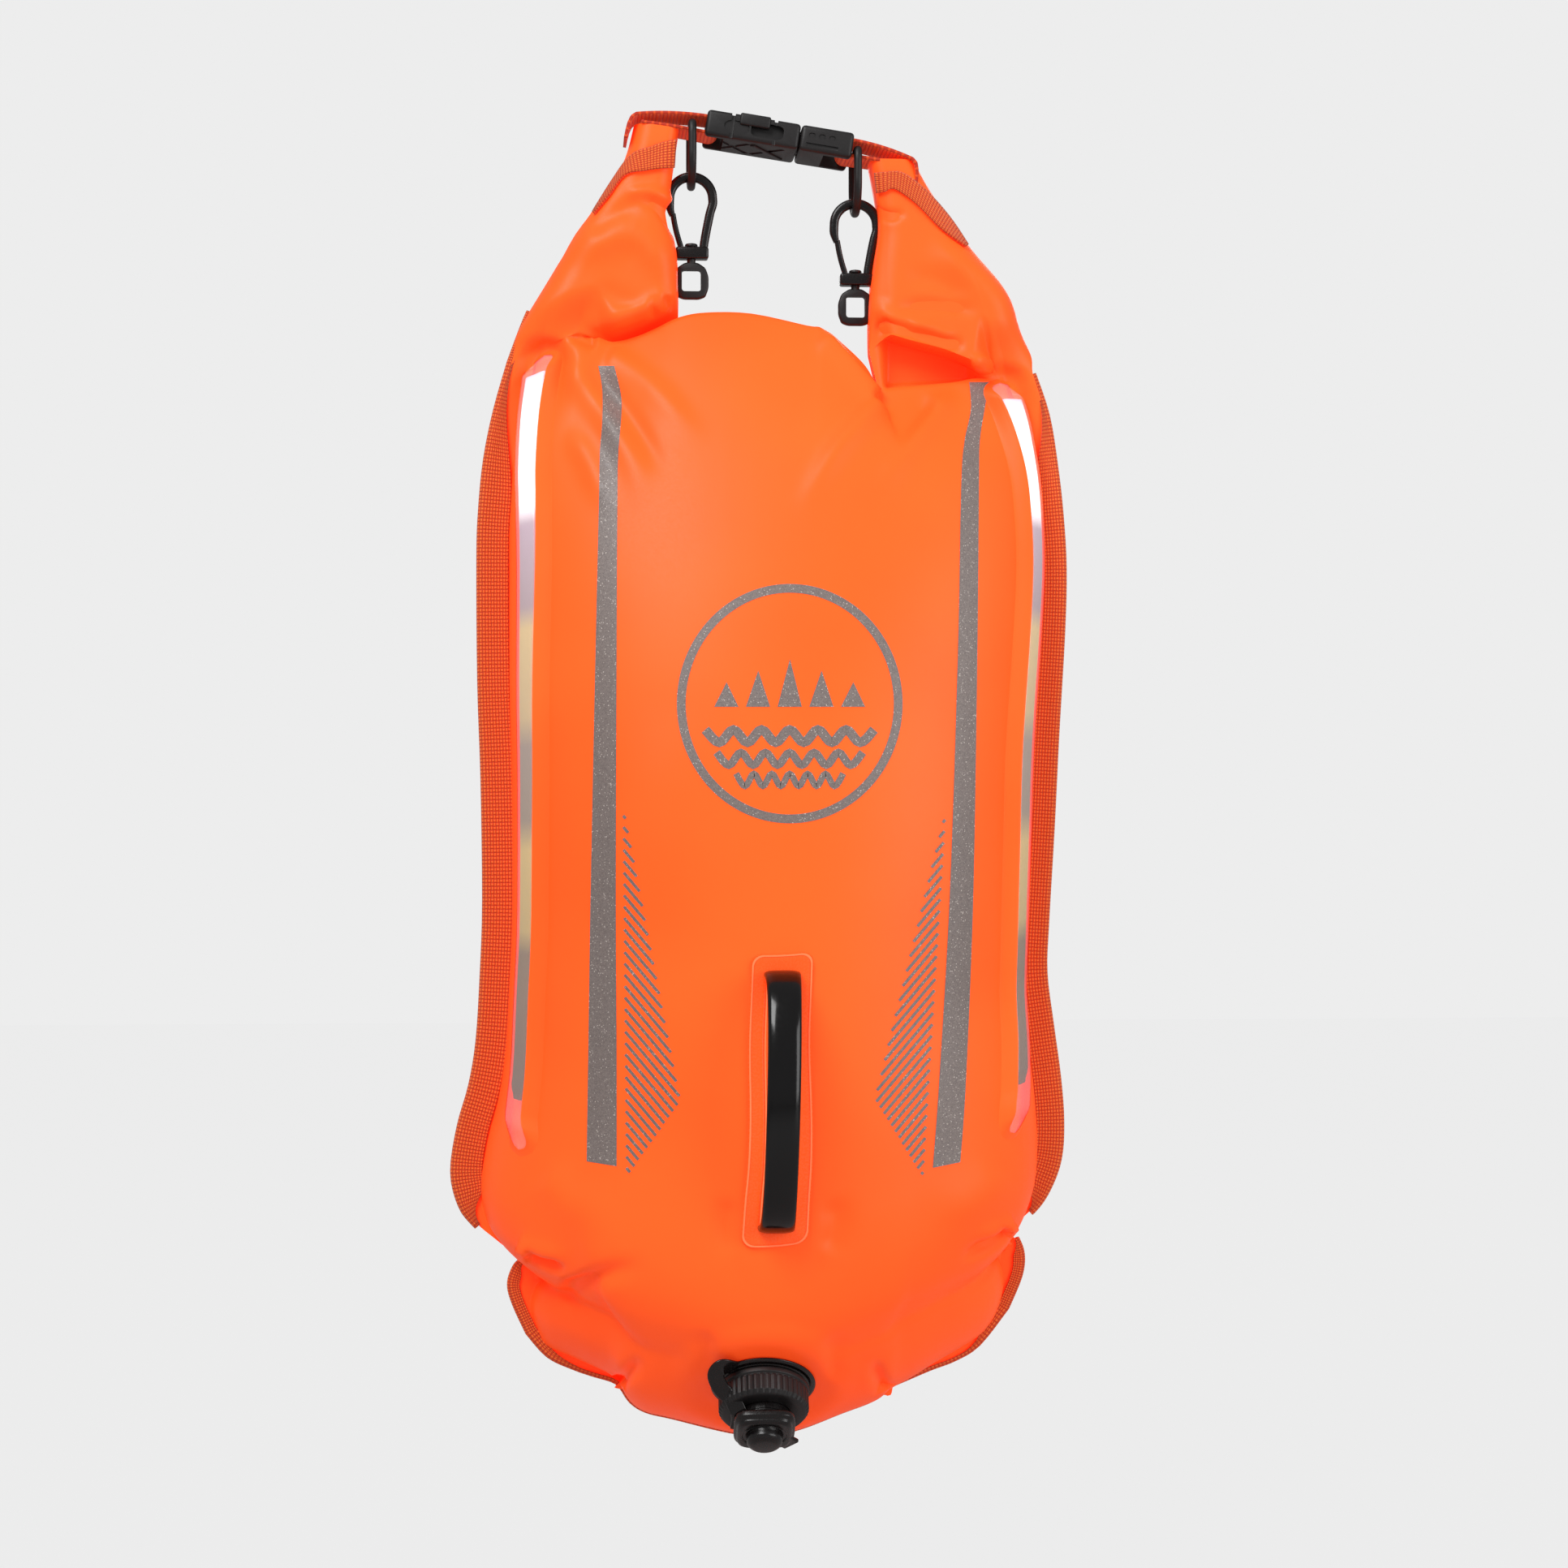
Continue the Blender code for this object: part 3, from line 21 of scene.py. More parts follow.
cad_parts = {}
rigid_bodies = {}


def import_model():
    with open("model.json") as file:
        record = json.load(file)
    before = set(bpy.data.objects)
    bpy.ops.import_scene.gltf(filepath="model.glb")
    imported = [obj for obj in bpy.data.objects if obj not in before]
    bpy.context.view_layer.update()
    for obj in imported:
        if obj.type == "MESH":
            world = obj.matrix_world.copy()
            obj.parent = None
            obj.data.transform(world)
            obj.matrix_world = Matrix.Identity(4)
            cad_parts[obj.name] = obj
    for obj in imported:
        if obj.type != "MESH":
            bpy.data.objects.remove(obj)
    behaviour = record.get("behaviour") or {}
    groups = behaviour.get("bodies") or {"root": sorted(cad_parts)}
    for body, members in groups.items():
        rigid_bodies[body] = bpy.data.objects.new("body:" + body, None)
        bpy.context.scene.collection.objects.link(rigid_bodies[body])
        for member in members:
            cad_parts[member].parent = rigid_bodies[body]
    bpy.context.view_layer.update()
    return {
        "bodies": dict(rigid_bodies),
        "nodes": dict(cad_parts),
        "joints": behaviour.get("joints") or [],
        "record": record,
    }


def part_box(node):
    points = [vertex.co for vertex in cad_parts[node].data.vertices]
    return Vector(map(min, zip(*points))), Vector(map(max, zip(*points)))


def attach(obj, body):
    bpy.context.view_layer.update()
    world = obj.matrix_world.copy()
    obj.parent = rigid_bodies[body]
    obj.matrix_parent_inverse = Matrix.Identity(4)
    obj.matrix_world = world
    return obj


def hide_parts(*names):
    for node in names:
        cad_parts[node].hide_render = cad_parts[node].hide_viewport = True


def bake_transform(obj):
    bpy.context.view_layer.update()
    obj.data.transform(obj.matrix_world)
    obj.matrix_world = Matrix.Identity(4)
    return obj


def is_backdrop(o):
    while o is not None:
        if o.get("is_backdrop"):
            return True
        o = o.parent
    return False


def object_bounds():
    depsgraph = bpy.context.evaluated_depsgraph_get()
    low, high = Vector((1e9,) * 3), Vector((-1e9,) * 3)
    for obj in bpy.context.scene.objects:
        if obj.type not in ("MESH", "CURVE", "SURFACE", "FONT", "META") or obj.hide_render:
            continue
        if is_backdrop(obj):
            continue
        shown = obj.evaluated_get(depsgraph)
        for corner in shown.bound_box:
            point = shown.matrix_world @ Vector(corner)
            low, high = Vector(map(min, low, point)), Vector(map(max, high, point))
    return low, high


LOG = logging.getLogger("swim_buoy")

Pixel = tuple[float, float]
Colour = tuple[float, float, float]
Place = Callable[[np.ndarray, np.ndarray], np.ndarray]
Section = Callable[[np.ndarray, np.ndarray], tuple[np.ndarray, np.ndarray]]

MERGE = 0.00001


class Side(Enum):
    """The two sides of the buoy as the photograph shows them."""

    LEFT = -1
    RIGHT = 1

    @property
    def word(self) -> str:
        """The side's name in a node's name."""
        return self.name.lower()


class Face(Enum):
    """The bag's two faces, by the sign of Y that they look along."""

    FRONT = -1
    BACK = 1


class Layer(Enum):
    """A layer of a rolled end: its outer skin, the roll right behind that, or the roll's back."""

    SKIN = 0
    INNER = 1
    BACK = 2


class Slot(Enum):
    """The record's material slots."""

    FABRIC = "coated_fabric"
    WEBBING = "webbing"
    PLASTIC = "black_plastic"
    RUBBER = "black_rubber"
    FILM = "clear_film"
    TUBE = "light_tube"


def srgb(red: float, green: float, blue: float) -> Colour:
    """Turns a colour as a picture shows it, from 0 to 255, into a linear one.

    Args:
        red: the red channel.
        green: the green channel.
        blue: the blue channel.

    Returns:
        The linear colour, from 0 to 1.
    """
    knee, foot_slope, offset, scale, power = 0.04045, 12.92, 0.055, 1.055, 2.4
    parts = [channel / 255 for channel in (red, green, blue)]
    return tuple(part / foot_slope if part <= knee else ((part + offset) / scale) ** power for part in parts)


def smooth_step(low: float, high: float, value: np.ndarray) -> np.ndarray:
    """Rises smoothly from 0 at low to 1 at high."""
    share = np.clip((value - low) / (high - low), 0.0, 1.0)
    return share * share * (3 - 2 * share)


def smooth_line(points: np.ndarray, steps: int) -> np.ndarray:
    """Puts a smooth curve through points.

    Args:
        points: the points to pass through, one a row.
        steps: how many pieces each span is cut into.

    Returns:
        The points of the curve, one a row.
    """
    made = []
    count = len(points)
    for i in range(count - 1):
        before, start = points[max(i - 1, 0)], points[i]
        end, after = points[i + 1], points[min(i + 2, count - 1)]
        for step in range(steps):
            t = step / steps
            made.append((start * 2 + (end - before) * t + (before * 2 - start * 5 + end * 4 - after) * t**2
                         + (start * 3 - before - end * 3 + after) * t**3) / 2)
    made.append(points[-1])
    return np.array(made)


def run_lengths(points: np.ndarray) -> np.ndarray:
    """How far along a line each of its points lies."""
    return np.concatenate([[0], np.cumsum(np.linalg.norm(np.diff(points, axis=0), axis=1))])


def unit(ways: np.ndarray) -> np.ndarray:
    """Directions with a length of 1, one a row."""
    return ways / np.linalg.norm(ways, axis=1, keepdims=True)


def round_of(shares: np.ndarray) -> tuple[np.ndarray, np.ndarray]:
    """The cosines and sines at shares of a full turn."""
    turn = 2 * math.pi * shares
    return np.cos(turn), np.sin(turn)


def squared(wave: np.ndarray, power: float) -> np.ndarray:
    """A sine or cosine that draws a section with fuller corners the lower the power is."""
    return np.sign(wave) * np.abs(wave) ** power


@dataclass(frozen=True)
class Line:
    """A smooth line through named points, read by shares of its length."""

    points: tuple[tuple[float, ...], ...]
    steps: int = 8

    def curve(self) -> np.ndarray:
        """The points of the line, one a row."""
        return smooth_line(np.array(self.points, float), self.steps)

    def at(self, shares: np.ndarray) -> np.ndarray:
        """The points at shares of the line's length, one a row."""
        curve = self.curve()
        lengths = run_lengths(curve)
        wanted = np.clip(shares, 0, 1) * lengths[-1]
        return np.stack([np.interp(wanted, lengths, curve[:, i]) for i in range(curve.shape[1])], axis=-1)

    def share_of(self, index: int) -> float:
        """The share of the line's length at which one of its named points lies."""
        lengths = run_lengths(self.curve())
        return float(lengths[index * self.steps] / lengths[-1])


def new_object(name: str, data: bpy.types.ID) -> bpy.types.Object:
    """Adds an object to the scene."""
    made = bpy.data.objects.new(name, data)
    bpy.context.scene.collection.objects.link(made)
    return made


def aimed_object(name: str, data: bpy.types.ID, place: Sequence[float], way: Vector) -> bpy.types.Object:
    """Adds a camera or lamp that stands at a place and looks along a direction."""
    made = new_object(name, data)
    made.location = place
    made.rotation_mode = "QUATERNION"
    made.rotation_quaternion = way.to_track_quat("-Z", "Y")
    return made


@dataclass(frozen=True)
class PhotoView:
    """The photograph's camera: level, a little to the left of the buoy's middle."""

    frame: float = 1932.0
    metres_per_pixel: float = 0.0004
    origin_pixel: Pixel = (955.0, 189.0)
    distance: float = 1.54
    azimuth: float = math.radians(-4)
    sensor_mm: float = 36.0
    clip_end: float = 20.0

    @property
    def half(self) -> float:
        """Half of the frame, in pixels."""
        return self.frame / 2

    @property
    def tangent(self) -> float:
        """The tangent of half the angle of view."""
        return self.half * self.metres_per_pixel / self.distance

    @property
    def target(self) -> np.ndarray:
        """The point that the camera looks at."""
        across = (self.half - self.origin_pixel[0]) * self.metres_per_pixel
        return np.array([across, 0.0, (self.origin_pixel[1] - self.half) * self.metres_per_pixel])

    @property
    def forward(self) -> np.ndarray:
        """The direction that the camera looks in."""
        return np.array([-math.sin(self.azimuth), math.cos(self.azimuth), 0.0])

    @property
    def right(self) -> np.ndarray:
        """The direction that runs to the right of the frame."""
        return np.array([math.cos(self.azimuth), math.sin(self.azimuth), 0.0])

    @property
    def place(self) -> np.ndarray:
        """Where the camera stands."""
        return self.target - self.forward * self.distance

    def pixels(self, points: np.ndarray) -> np.ndarray:
        """The pixels at which points of the buoy show, one a row."""
        away = points - self.place
        depth = away @ self.forward
        scale = self.half / self.tangent / depth
        return np.stack([self.half + (away @ self.right) * scale, self.half - away[:, 2] * scale], axis=-1)

    def ray(self, pixel: Sequence[float]) -> Vector:
        """The direction from the camera through a pixel."""
        across = (pixel[0] - self.half) / self.half * self.tangent
        up = (self.half - pixel[1]) / self.half * self.tangent
        return Vector(self.forward + self.right * across + np.array([0, 0, up])).normalized()

    def seam_point(self, pixels: np.ndarray) -> np.ndarray:
        """Points in the bag's middle plane, as X and Z, of pixels given one a row."""
        x = (pixels[..., 0] - self.origin_pixel[0]) * self.metres_per_pixel
        z = (self.origin_pixel[1] - pixels[..., 1]) * self.metres_per_pixel
        return np.stack([x, z], axis=-1)

    def camera(self) -> None:
        """Makes the scene's camera."""
        data = bpy.data.cameras.new("photo_camera")
        data.sensor_width = self.sensor_mm
        data.lens = self.sensor_mm / 2 / self.tangent
        data.clip_end = self.clip_end
        bpy.context.scene.camera = aimed_object("photo_camera", data, self.place, Vector(self.forward))


VIEW = PhotoView()


# Mesh helpers

def bent_grid(columns: int, rows: int, place: Place, size: Pixel | None = None) -> bmesh.types.BMesh:
    """Bends a flat grid.

    Args:
        columns: how many faces it has across.
        rows: how many faces it has along.
        place: gives the points for shares across and along, both from 0 to 1.
        size: the cloth's width and length in metres, written into its UV map.

    Returns:
        The bent grid.
    """
    bm = bmesh.new()
    layer = bm.loops.layers.uv.new("cloth") if size else None
    bmesh.ops.create_grid(bm, x_segments=columns, y_segments=rows, size=1, calc_uvs=bool(size))
    flat = np.array([vert.co[:2] for vert in bm.verts])
    places = place((flat[:, 0] + 1) / 2, (flat[:, 1] + 1) / 2)
    for vert, co in zip(bm.verts, places):
        vert.co = co
    if layer:
        for face in bm.faces:
            for loop in face.loops:
                loop[layer].uv = (loop[layer].uv[0] * size[0], loop[layer].uv[1] * size[1])
    return bm


def add_mesh(bm: bmesh.types.BMesh, other: bmesh.types.BMesh) -> None:
    """Moves one bmesh's faces into another."""
    mesh = bpy.data.meshes.new("part_of_a_piece")
    other.to_mesh(mesh)
    other.free()
    bm.from_mesh(mesh)
    bpy.data.meshes.remove(mesh)


def turn_faces(bm: bmesh.types.BMesh, outward: Sequence[float]) -> None:
    """Turns an open sheet's faces so that they look along outward."""
    bm.normal_update()
    total = sum((face.normal * face.calc_area() for face in bm.faces), Vector())
    if total.dot(Vector(outward)) < 0:
        bmesh.ops.reverse_faces(bm, faces=bm.faces)


def open_edges(bm: bmesh.types.BMesh) -> list[bmesh.types.BMEdge]:
    """A mesh's open edges."""
    return [edge for edge in bm.edges if edge.is_boundary]


def shift_new(bm: bmesh.types.BMesh, grown: dict[str, list], way: Sequence[float]) -> None:
    """Moves the vertices that an extrusion has added."""
    moved = [item for item in grown["geom"] if isinstance(item, bmesh.types.BMVert)]
    bmesh.ops.translate(bm, vec=way, verts=moved)


def turn_rim(bm: bmesh.types.BMesh, depth: float) -> None:
    """Turns a sheet's open edges in by a depth along Y."""
    shift_new(bm, bmesh.ops.extrude_edge_only(bm, edges=open_edges(bm)), (0, depth, 0))


def close_rod(bm: bmesh.types.BMesh) -> None:
    """Joins the seam of a grid bent into a rod, closes its ends and turns its faces outwards."""
    bmesh.ops.remove_doubles(bm, verts=bm.verts, dist=MERGE)
    bmesh.ops.holes_fill(bm, edges=open_edges(bm), sides=0)
    bmesh.ops.recalc_face_normals(bm, faces=bm.faces)


def publish(bm: bmesh.types.BMesh, name: str, finish: bpy.types.Material,
            smooth: float = 40.0) -> bpy.types.Object:
    """Makes an object of a bmesh, with its place in its mesh.

    Args:
        bm: the mesh, which is freed.
        name: the piece's name.
        finish: its material.
        smooth: edges sharper than this many degrees stay sharp.

    Returns:
        The object, at the origin.
    """
    mesh = bpy.data.meshes.new(name)
    bm.to_mesh(mesh)
    bm.free()
    mesh.materials.append(finish)
    mesh.shade_smooth()
    mesh.set_sharp_from_angle(angle=math.radians(smooth))
    return new_object(name, mesh)


def dress(made: bpy.types.Object, slot: Slot) -> None:
    """Reports the piece."""
    LOG.info("built %s", made.name)


def thicken(made: bpy.types.Object, wall: float, offset: float = -1.0) -> bpy.types.Object:
    """Gives a sheet a wall."""
    change = made.modifiers.new("wall", "SOLIDIFY")
    change.thickness = wall
    change.offset = offset
    change.use_even_offset = False
    return made


def settle(made: bpy.types.Object) -> bpy.types.Object:
    """Applies a piece's modifiers to its mesh."""
    graph = bpy.context.evaluated_depsgraph_get()
    graph.update()
    mesh = bpy.data.meshes.new_from_object(made.evaluated_get(graph))
    old = made.data
    made.modifiers.clear()
    made.data = mesh
    bpy.data.meshes.remove(old)
    mesh.name = made.name
    return made


def carve(made: bpy.types.Object, tools: Sequence[bmesh.types.BMesh], operation: str = "DIFFERENCE",
          sharp: float | None = None) -> None:
    """Cuts shapes out of a piece, or joins them to it.

    Args:
        made: the piece.
        tools: the closed shapes, which are freed.
        operation: the Boolean modifier's operation.
        sharp: for the last cut, the angle in degrees from which edges stay sharp.
    """
    helpers = []
    for tool in tools:
        helper = publish(tool, "carving_tool", made.data.materials[0])
        change = made.modifiers.new("carving", "BOOLEAN")
        change.operation = operation
        change.solver = "EXACT"
        change.object = helper
        helpers.append(helper)
    settle(made)
    for helper in helpers:
        mesh = helper.data
        bpy.data.objects.remove(helper)
        bpy.data.meshes.remove(mesh)
    if sharp is not None:
        made.data.set_sharp_from_angle(angle=math.radians(sharp))


def round_edges(bm: bmesh.types.BMesh, edge: float, segments: int) -> None:
    """Rounds all of a closed shape's edges."""
    bmesh.ops.bevel(bm, geom=bm.edges[:], offset=edge, offset_type="OFFSET", segments=segments, profile=0.5,
                    affect="EDGES", clamp_overlap=True, material=-1)


def block(low: Sequence[float], high: Sequence[float], frame: Matrix | None = None, edge: float = 0.0,
          segments: int = 3) -> bmesh.types.BMesh:
    """A box between two corners of a frame, with rounded edges.

    Args:
        low: its lowest corner.
        high: its highest corner.
        frame: the frame that the corners are given in.
        edge: the rounding's width.
        segments: how many faces the rounding has.

    Returns:
        The box.
    """
    bm = bmesh.new()
    low, high = Vector(low), Vector(high)
    size = Matrix.Diagonal((*(high - low), 1))
    bmesh.ops.create_cube(bm, size=1, matrix=Matrix.Translation((low + high) / 2) @ size)
    if edge:
        round_edges(bm, edge, segments)
    if frame is not None:
        bm.transform(frame)
    return bm


def turned(profile: Sequence[Pixel], frame: Matrix, sides: int = 96) -> bmesh.types.BMesh:
    """Spins a profile round a frame's Z.

    Args:
        profile: radius and height of each point. It is closed if it starts off the axis.
        frame: the frame that it is turned in.
        sides: how many faces a full turn has.

    Returns:
        The turned solid.
    """
    bm = bmesh.new()
    verts = [bm.verts.new((radius, 0, height)) for radius, height in profile]
    edges = [bm.edges.new(pair) for pair in zip(verts, verts[1:])]
    if profile[0][0] > 0:
        edges.append(bm.edges.new((verts[-1], verts[0])))
    bmesh.ops.spin(bm, geom=verts + edges, cent=(0, 0, 0), axis=(0, 0, 1), angle=2 * math.pi, steps=sides,
                   use_merge=True)
    bmesh.ops.remove_doubles(bm, verts=bm.verts, dist=MERGE / 2)
    bmesh.ops.recalc_face_normals(bm, faces=bm.faces)
    bm.transform(frame)
    return bm


def rounded_profile(corners: Sequence[tuple[float, float, float]], steps: int = 4) -> list[Pixel]:
    """Rounds the corners of a profile.

    Args:
        corners: radius, height and rounding of each corner.
        steps: how many points each rounding has.

    Returns:
        The profile with arcs in place of its rounded corners.
    """
    made: list[Pixel] = []
    count = len(corners)
    for i, (x, y, rounding) in enumerate(corners):
        if rounding <= 0 or i in (0, count - 1):
            made.append((x, y))
            continue
        here = Vector((x, y))
        ways = [Vector(corners[i + step][:2]) - here for step in (-1, 1)]
        reach = min(rounding, *(way.length * 0.45 for way in ways))
        start, end = (here + way.normalized() * reach for way in ways)
        for step in range(steps + 1):
            t = step / steps
            point = start * (1 - t) ** 2 + here * 2 * t * (1 - t) + end * t**2
            made.append((point.x, point.y))
    return made


def swept(path: np.ndarray, section: Section, side: Vector, sides: int = 20,
          closed: bool = False) -> bmesh.types.BMesh:
    """Sweeps a section along a path that lies in one plane.

    Args:
        path: the path's points, one a row.
        section: gives offsets in the plane and along side, for shares round the section and along the path.
        side: the direction square to the path's plane.
        sides: how many faces the section has.
        closed: whether the path ends where it starts.

    Returns:
        The closed rod.
    """
    count = len(path)
    rows = count if closed else count - 1
    normal = np.array(side)

    def place(a: np.ndarray, b: np.ndarray) -> np.ndarray:
        index = np.round(b * rows).astype(int)
        before = path[(index - 1) % count] if closed else path[np.maximum(index - 1, 0)]
        after = path[(index + 1) % count] if closed else path[np.minimum(index + 1, count - 1)]
        plane, over = section(a, b)
        sideways = np.cross(unit(after - before), normal)
        return path[index % count] + sideways * plane[:, None] + normal * over[:, None]

    bm = bent_grid(sides, rows, place)
    bmesh.ops.remove_doubles(bm, verts=bm.verts, dist=MERGE / 4)
    if not closed:
        bmesh.ops.holes_fill(bm, edges=open_edges(bm), sides=0)
    bmesh.ops.recalc_face_normals(bm, faces=bm.faces)
    return bm


def oval(wide: float, thick: float, power: float) -> Section:
    """A section for a swept rod: an oval with full corners, by its half sizes in the plane and beside it."""

    def section(a: np.ndarray, b: np.ndarray) -> tuple[np.ndarray, np.ndarray]:
        cos, sin = round_of(a)
        return squared(cos, power) * wide, squared(sin, power) * thick

    return section


# Finishes

class NodeSheet:
    """A node tree with short ways to add and join its nodes."""

    def __init__(self, tree: bpy.types.NodeTree) -> None:
        """Keeps the tree that the nodes go into."""
        self.tree = tree

    def feed(self, socket: bpy.types.NodeSocket, value: object) -> None:
        """Links a socket to another, or sets its value."""
        if isinstance(value, bpy.types.NodeSocket):
            self.tree.links.new(value, socket)
        else:
            socket.default_value = value

    def fill(self, node: bpy.types.Node, inputs: dict[str | int, object]) -> None:
        """Feeds several of a node's inputs."""
        for name, value in inputs.items():
            self.feed(node.inputs[name], value)

    def add(self, kind: str, inputs: dict[str | int, object] | None = None,
            **settings: object) -> bpy.types.Node:
        """Adds a node.

        Args:
            kind: the node's type.
            inputs: values or sockets for its inputs.
            settings: its own properties.

        Returns:
            The node.
        """
        node = self.tree.nodes.new(kind)
        for name, value in settings.items():
            setattr(node, name, value)
        self.fill(node, inputs or {})
        return node

    def math(self, operation: str, *values: object, clamp: bool = False) -> bpy.types.NodeSocket:
        """Adds a Math node and returns its output."""
        node = self.add("ShaderNodeMath", dict(enumerate(values)), operation=operation, use_clamp=clamp)
        return node.outputs[0]

    def mix(self, share: object, first: object, second: object) -> bpy.types.NodeSocket:
        """Mixes two colours and returns the mixed one."""
        return self.add("ShaderNodeMix", {0: share, 6: first, 7: second}, data_type="RGBA").outputs[2]

    def bump(self, height: bpy.types.NodeSocket, strength: float, depth: float) -> bpy.types.NodeSocket:
        """Turns a height into a normal and returns it."""
        return self.add("ShaderNodeBump",
                        {"Height": height, "Strength": strength, "Distance": depth}).outputs[0]


def new_group(name: str, inputs: Sequence[tuple[str, str]], outputs: Sequence[tuple[str, str]]) \
        -> tuple[NodeSheet, bpy.types.Node, bpy.types.Node]:
    """Starts a shader node group.

    Args:
        name: the group's name.
        inputs: name and kind of each input.
        outputs: name and kind of each output.

    Returns:
        Its sheet, its input node and its output node.
    """
    tree = bpy.data.node_groups.new(name, "ShaderNodeTree")
    for rows, way in ((inputs, "INPUT"), (outputs, "OUTPUT")):
        for label, kind in rows:
            tree.interface.new_socket(name=label, in_out=way, socket_type="NodeSocket" + kind)
    sheet = NodeSheet(tree)
    return sheet, sheet.add("NodeGroupInput"), sheet.add("NodeGroupOutput")


class Patterns:
    """The shader groups that the finishes share."""

    def __init__(self) -> None:
        """Builds each group once."""
        self.grain = self._grain()
        self.weave = self._weave()
        self.sparkle = self._sparkle()

    @staticmethod
    def _grain() -> bpy.types.NodeTree:
        """Fine grain over soft clouds: a colour, a roughness share and a height."""
        sheet, given, out = new_group(
            "grain", [("Vector", "Vector"), ("Scale", "Float"), ("Clouds", "Float"), ("Colour", "Color"),
                      ("Shade", "Color"), ("Smooth", "Float"), ("Rough", "Float")],
            [("Colour", "Color"), ("Roughness", "Float"), ("Height", "Float")])
        vector = given.outputs["Vector"]
        fine = sheet.add("ShaderNodeTexNoise",
                         {"Vector": vector, "Scale": given.outputs["Scale"], "Detail": 3.0})
        soft = sheet.add("ShaderNodeTexNoise",
                         {"Vector": vector, "Scale": given.outputs["Clouds"], "Detail": 2.0})
        cloud = sheet.add("ShaderNodeMapRange",
                          {"Value": soft.outputs["Fac"], "From Min": 0.35, "From Max": 0.65})
        sheet.feed(out.inputs["Colour"],
                   sheet.mix(cloud.outputs[0], given.outputs["Colour"], given.outputs["Shade"]))
        span = sheet.add("ShaderNodeMapRange", {"Value": fine.outputs["Fac"], "From Min": 0.3,
                                                "From Max": 0.7, "To Min": given.outputs["Smooth"],
                                                "To Max": given.outputs["Rough"]})
        sheet.feed(out.inputs["Roughness"], span.outputs[0])
        sheet.feed(out.inputs["Height"], fine.outputs["Fac"])
        return sheet.tree

    @staticmethod
    def _weave() -> bpy.types.NodeTree:
        """Plain woven tape read in metres across and along it: a colour and a height. The colour puts painted
        shade in the valleys between the threads and a painted highlight on their crowns.
        """
        sheet, given, out = new_group(
            "weave", [("Vector", "Vector"), ("Across", "Float"), ("Along", "Float"), ("Valley", "Color"),
                      ("Body", "Color"), ("Top", "Color")], [("Colour", "Color"), ("Height", "Float")])
        split = sheet.add("ShaderNodeSeparateXYZ", {"Vector": given.outputs["Vector"]})
        cells = [sheet.math("MULTIPLY", split.outputs[axis], given.outputs[count])
                 for axis, count in (("X", "Across"), ("Y", "Along"))]
        waves = [sheet.math("ABSOLUTE", sheet.math("SINE", sheet.math("MULTIPLY", cell, math.pi)))
                 for cell in cells]
        steps = [sheet.math("FLOOR", cell) for cell in cells]
        parity = sheet.math("ABSOLUTE", sheet.math("MODULO", sheet.math("ADD", *steps), 2.0))
        crowns = [sheet.math("MULTIPLY", wave, sheet.math("MULTIPLY_ADD", other, 0.55, 0.45))
                  for wave, other in ((waves[0], waves[1]), (waves[1], waves[0]))]
        kept = [sheet.math("MULTIPLY", crowns[0], parity),
                sheet.math("MULTIPLY", crowns[1], sheet.math("SUBTRACT", 1.0, parity))]
        height = sheet.math("ADD", *kept)
        low = sheet.add("ShaderNodeMapRange", {"Value": height, "From Min": 0.05, "From Max": 0.5})
        high = sheet.add("ShaderNodeMapRange", {"Value": height, "From Min": 0.6, "From Max": 1.0})
        body = sheet.mix(low.outputs[0], given.outputs["Valley"], given.outputs["Body"])
        sheet.feed(out.inputs["Colour"], sheet.mix(high.outputs[0], body, given.outputs["Top"]))
        sheet.feed(out.inputs["Height"], height)
        return sheet.tree

    @staticmethod
    def _sparkle() -> bpy.types.NodeTree:
        """Glass beads in ink: each small cell has its own grey, and a few carry a painted glint."""
        sheet, given, out = new_group(
            "sparkle", [("Vector", "Vector"), ("Scale", "Float"), ("Dark", "Color"), ("Light", "Color"),
                        ("Bead", "Color")], [("Colour", "Color"), ("Roughness", "Float"),
                                             ("Height", "Float")])
        cells = sheet.add("ShaderNodeTexVoronoi", {"Vector": given.outputs["Vector"],
                                                   "Scale": given.outputs["Scale"]})
        split = sheet.add("ShaderNodeSeparateColor", {"Color": cells.outputs["Color"]})
        bead = sheet.math("GREATER_THAN", split.outputs["Green"], 0.975)
        ink = sheet.mix(split.outputs["Red"], given.outputs["Dark"], given.outputs["Light"])
        sheet.feed(out.inputs["Colour"], sheet.mix(bead, ink, given.outputs["Bead"]))
        sheet.feed(out.inputs["Roughness"], sheet.math("MULTIPLY_ADD", split.outputs["Blue"], 0.3, 0.35))
        sheet.feed(out.inputs["Height"], split.outputs["Red"])
        return sheet.tree


def new_material(name: str) -> tuple[bpy.types.Material, NodeSheet, bpy.types.Node]:
    """Starts a material.

    Args:
        name: its name.

    Returns:
        The material, its sheet and its Principled node.
    """
    made = bpy.data.materials.new(name)
    made.use_nodes = True
    sheet = NodeSheet(made.node_tree)
    return made, sheet, made.node_tree.nodes["Principled BSDF"]


def object_place(sheet: NodeSheet) -> bpy.types.NodeSocket:
    """The socket with a point's place on its object."""
    return sheet.add("ShaderNodeTexCoord").outputs["Object"]


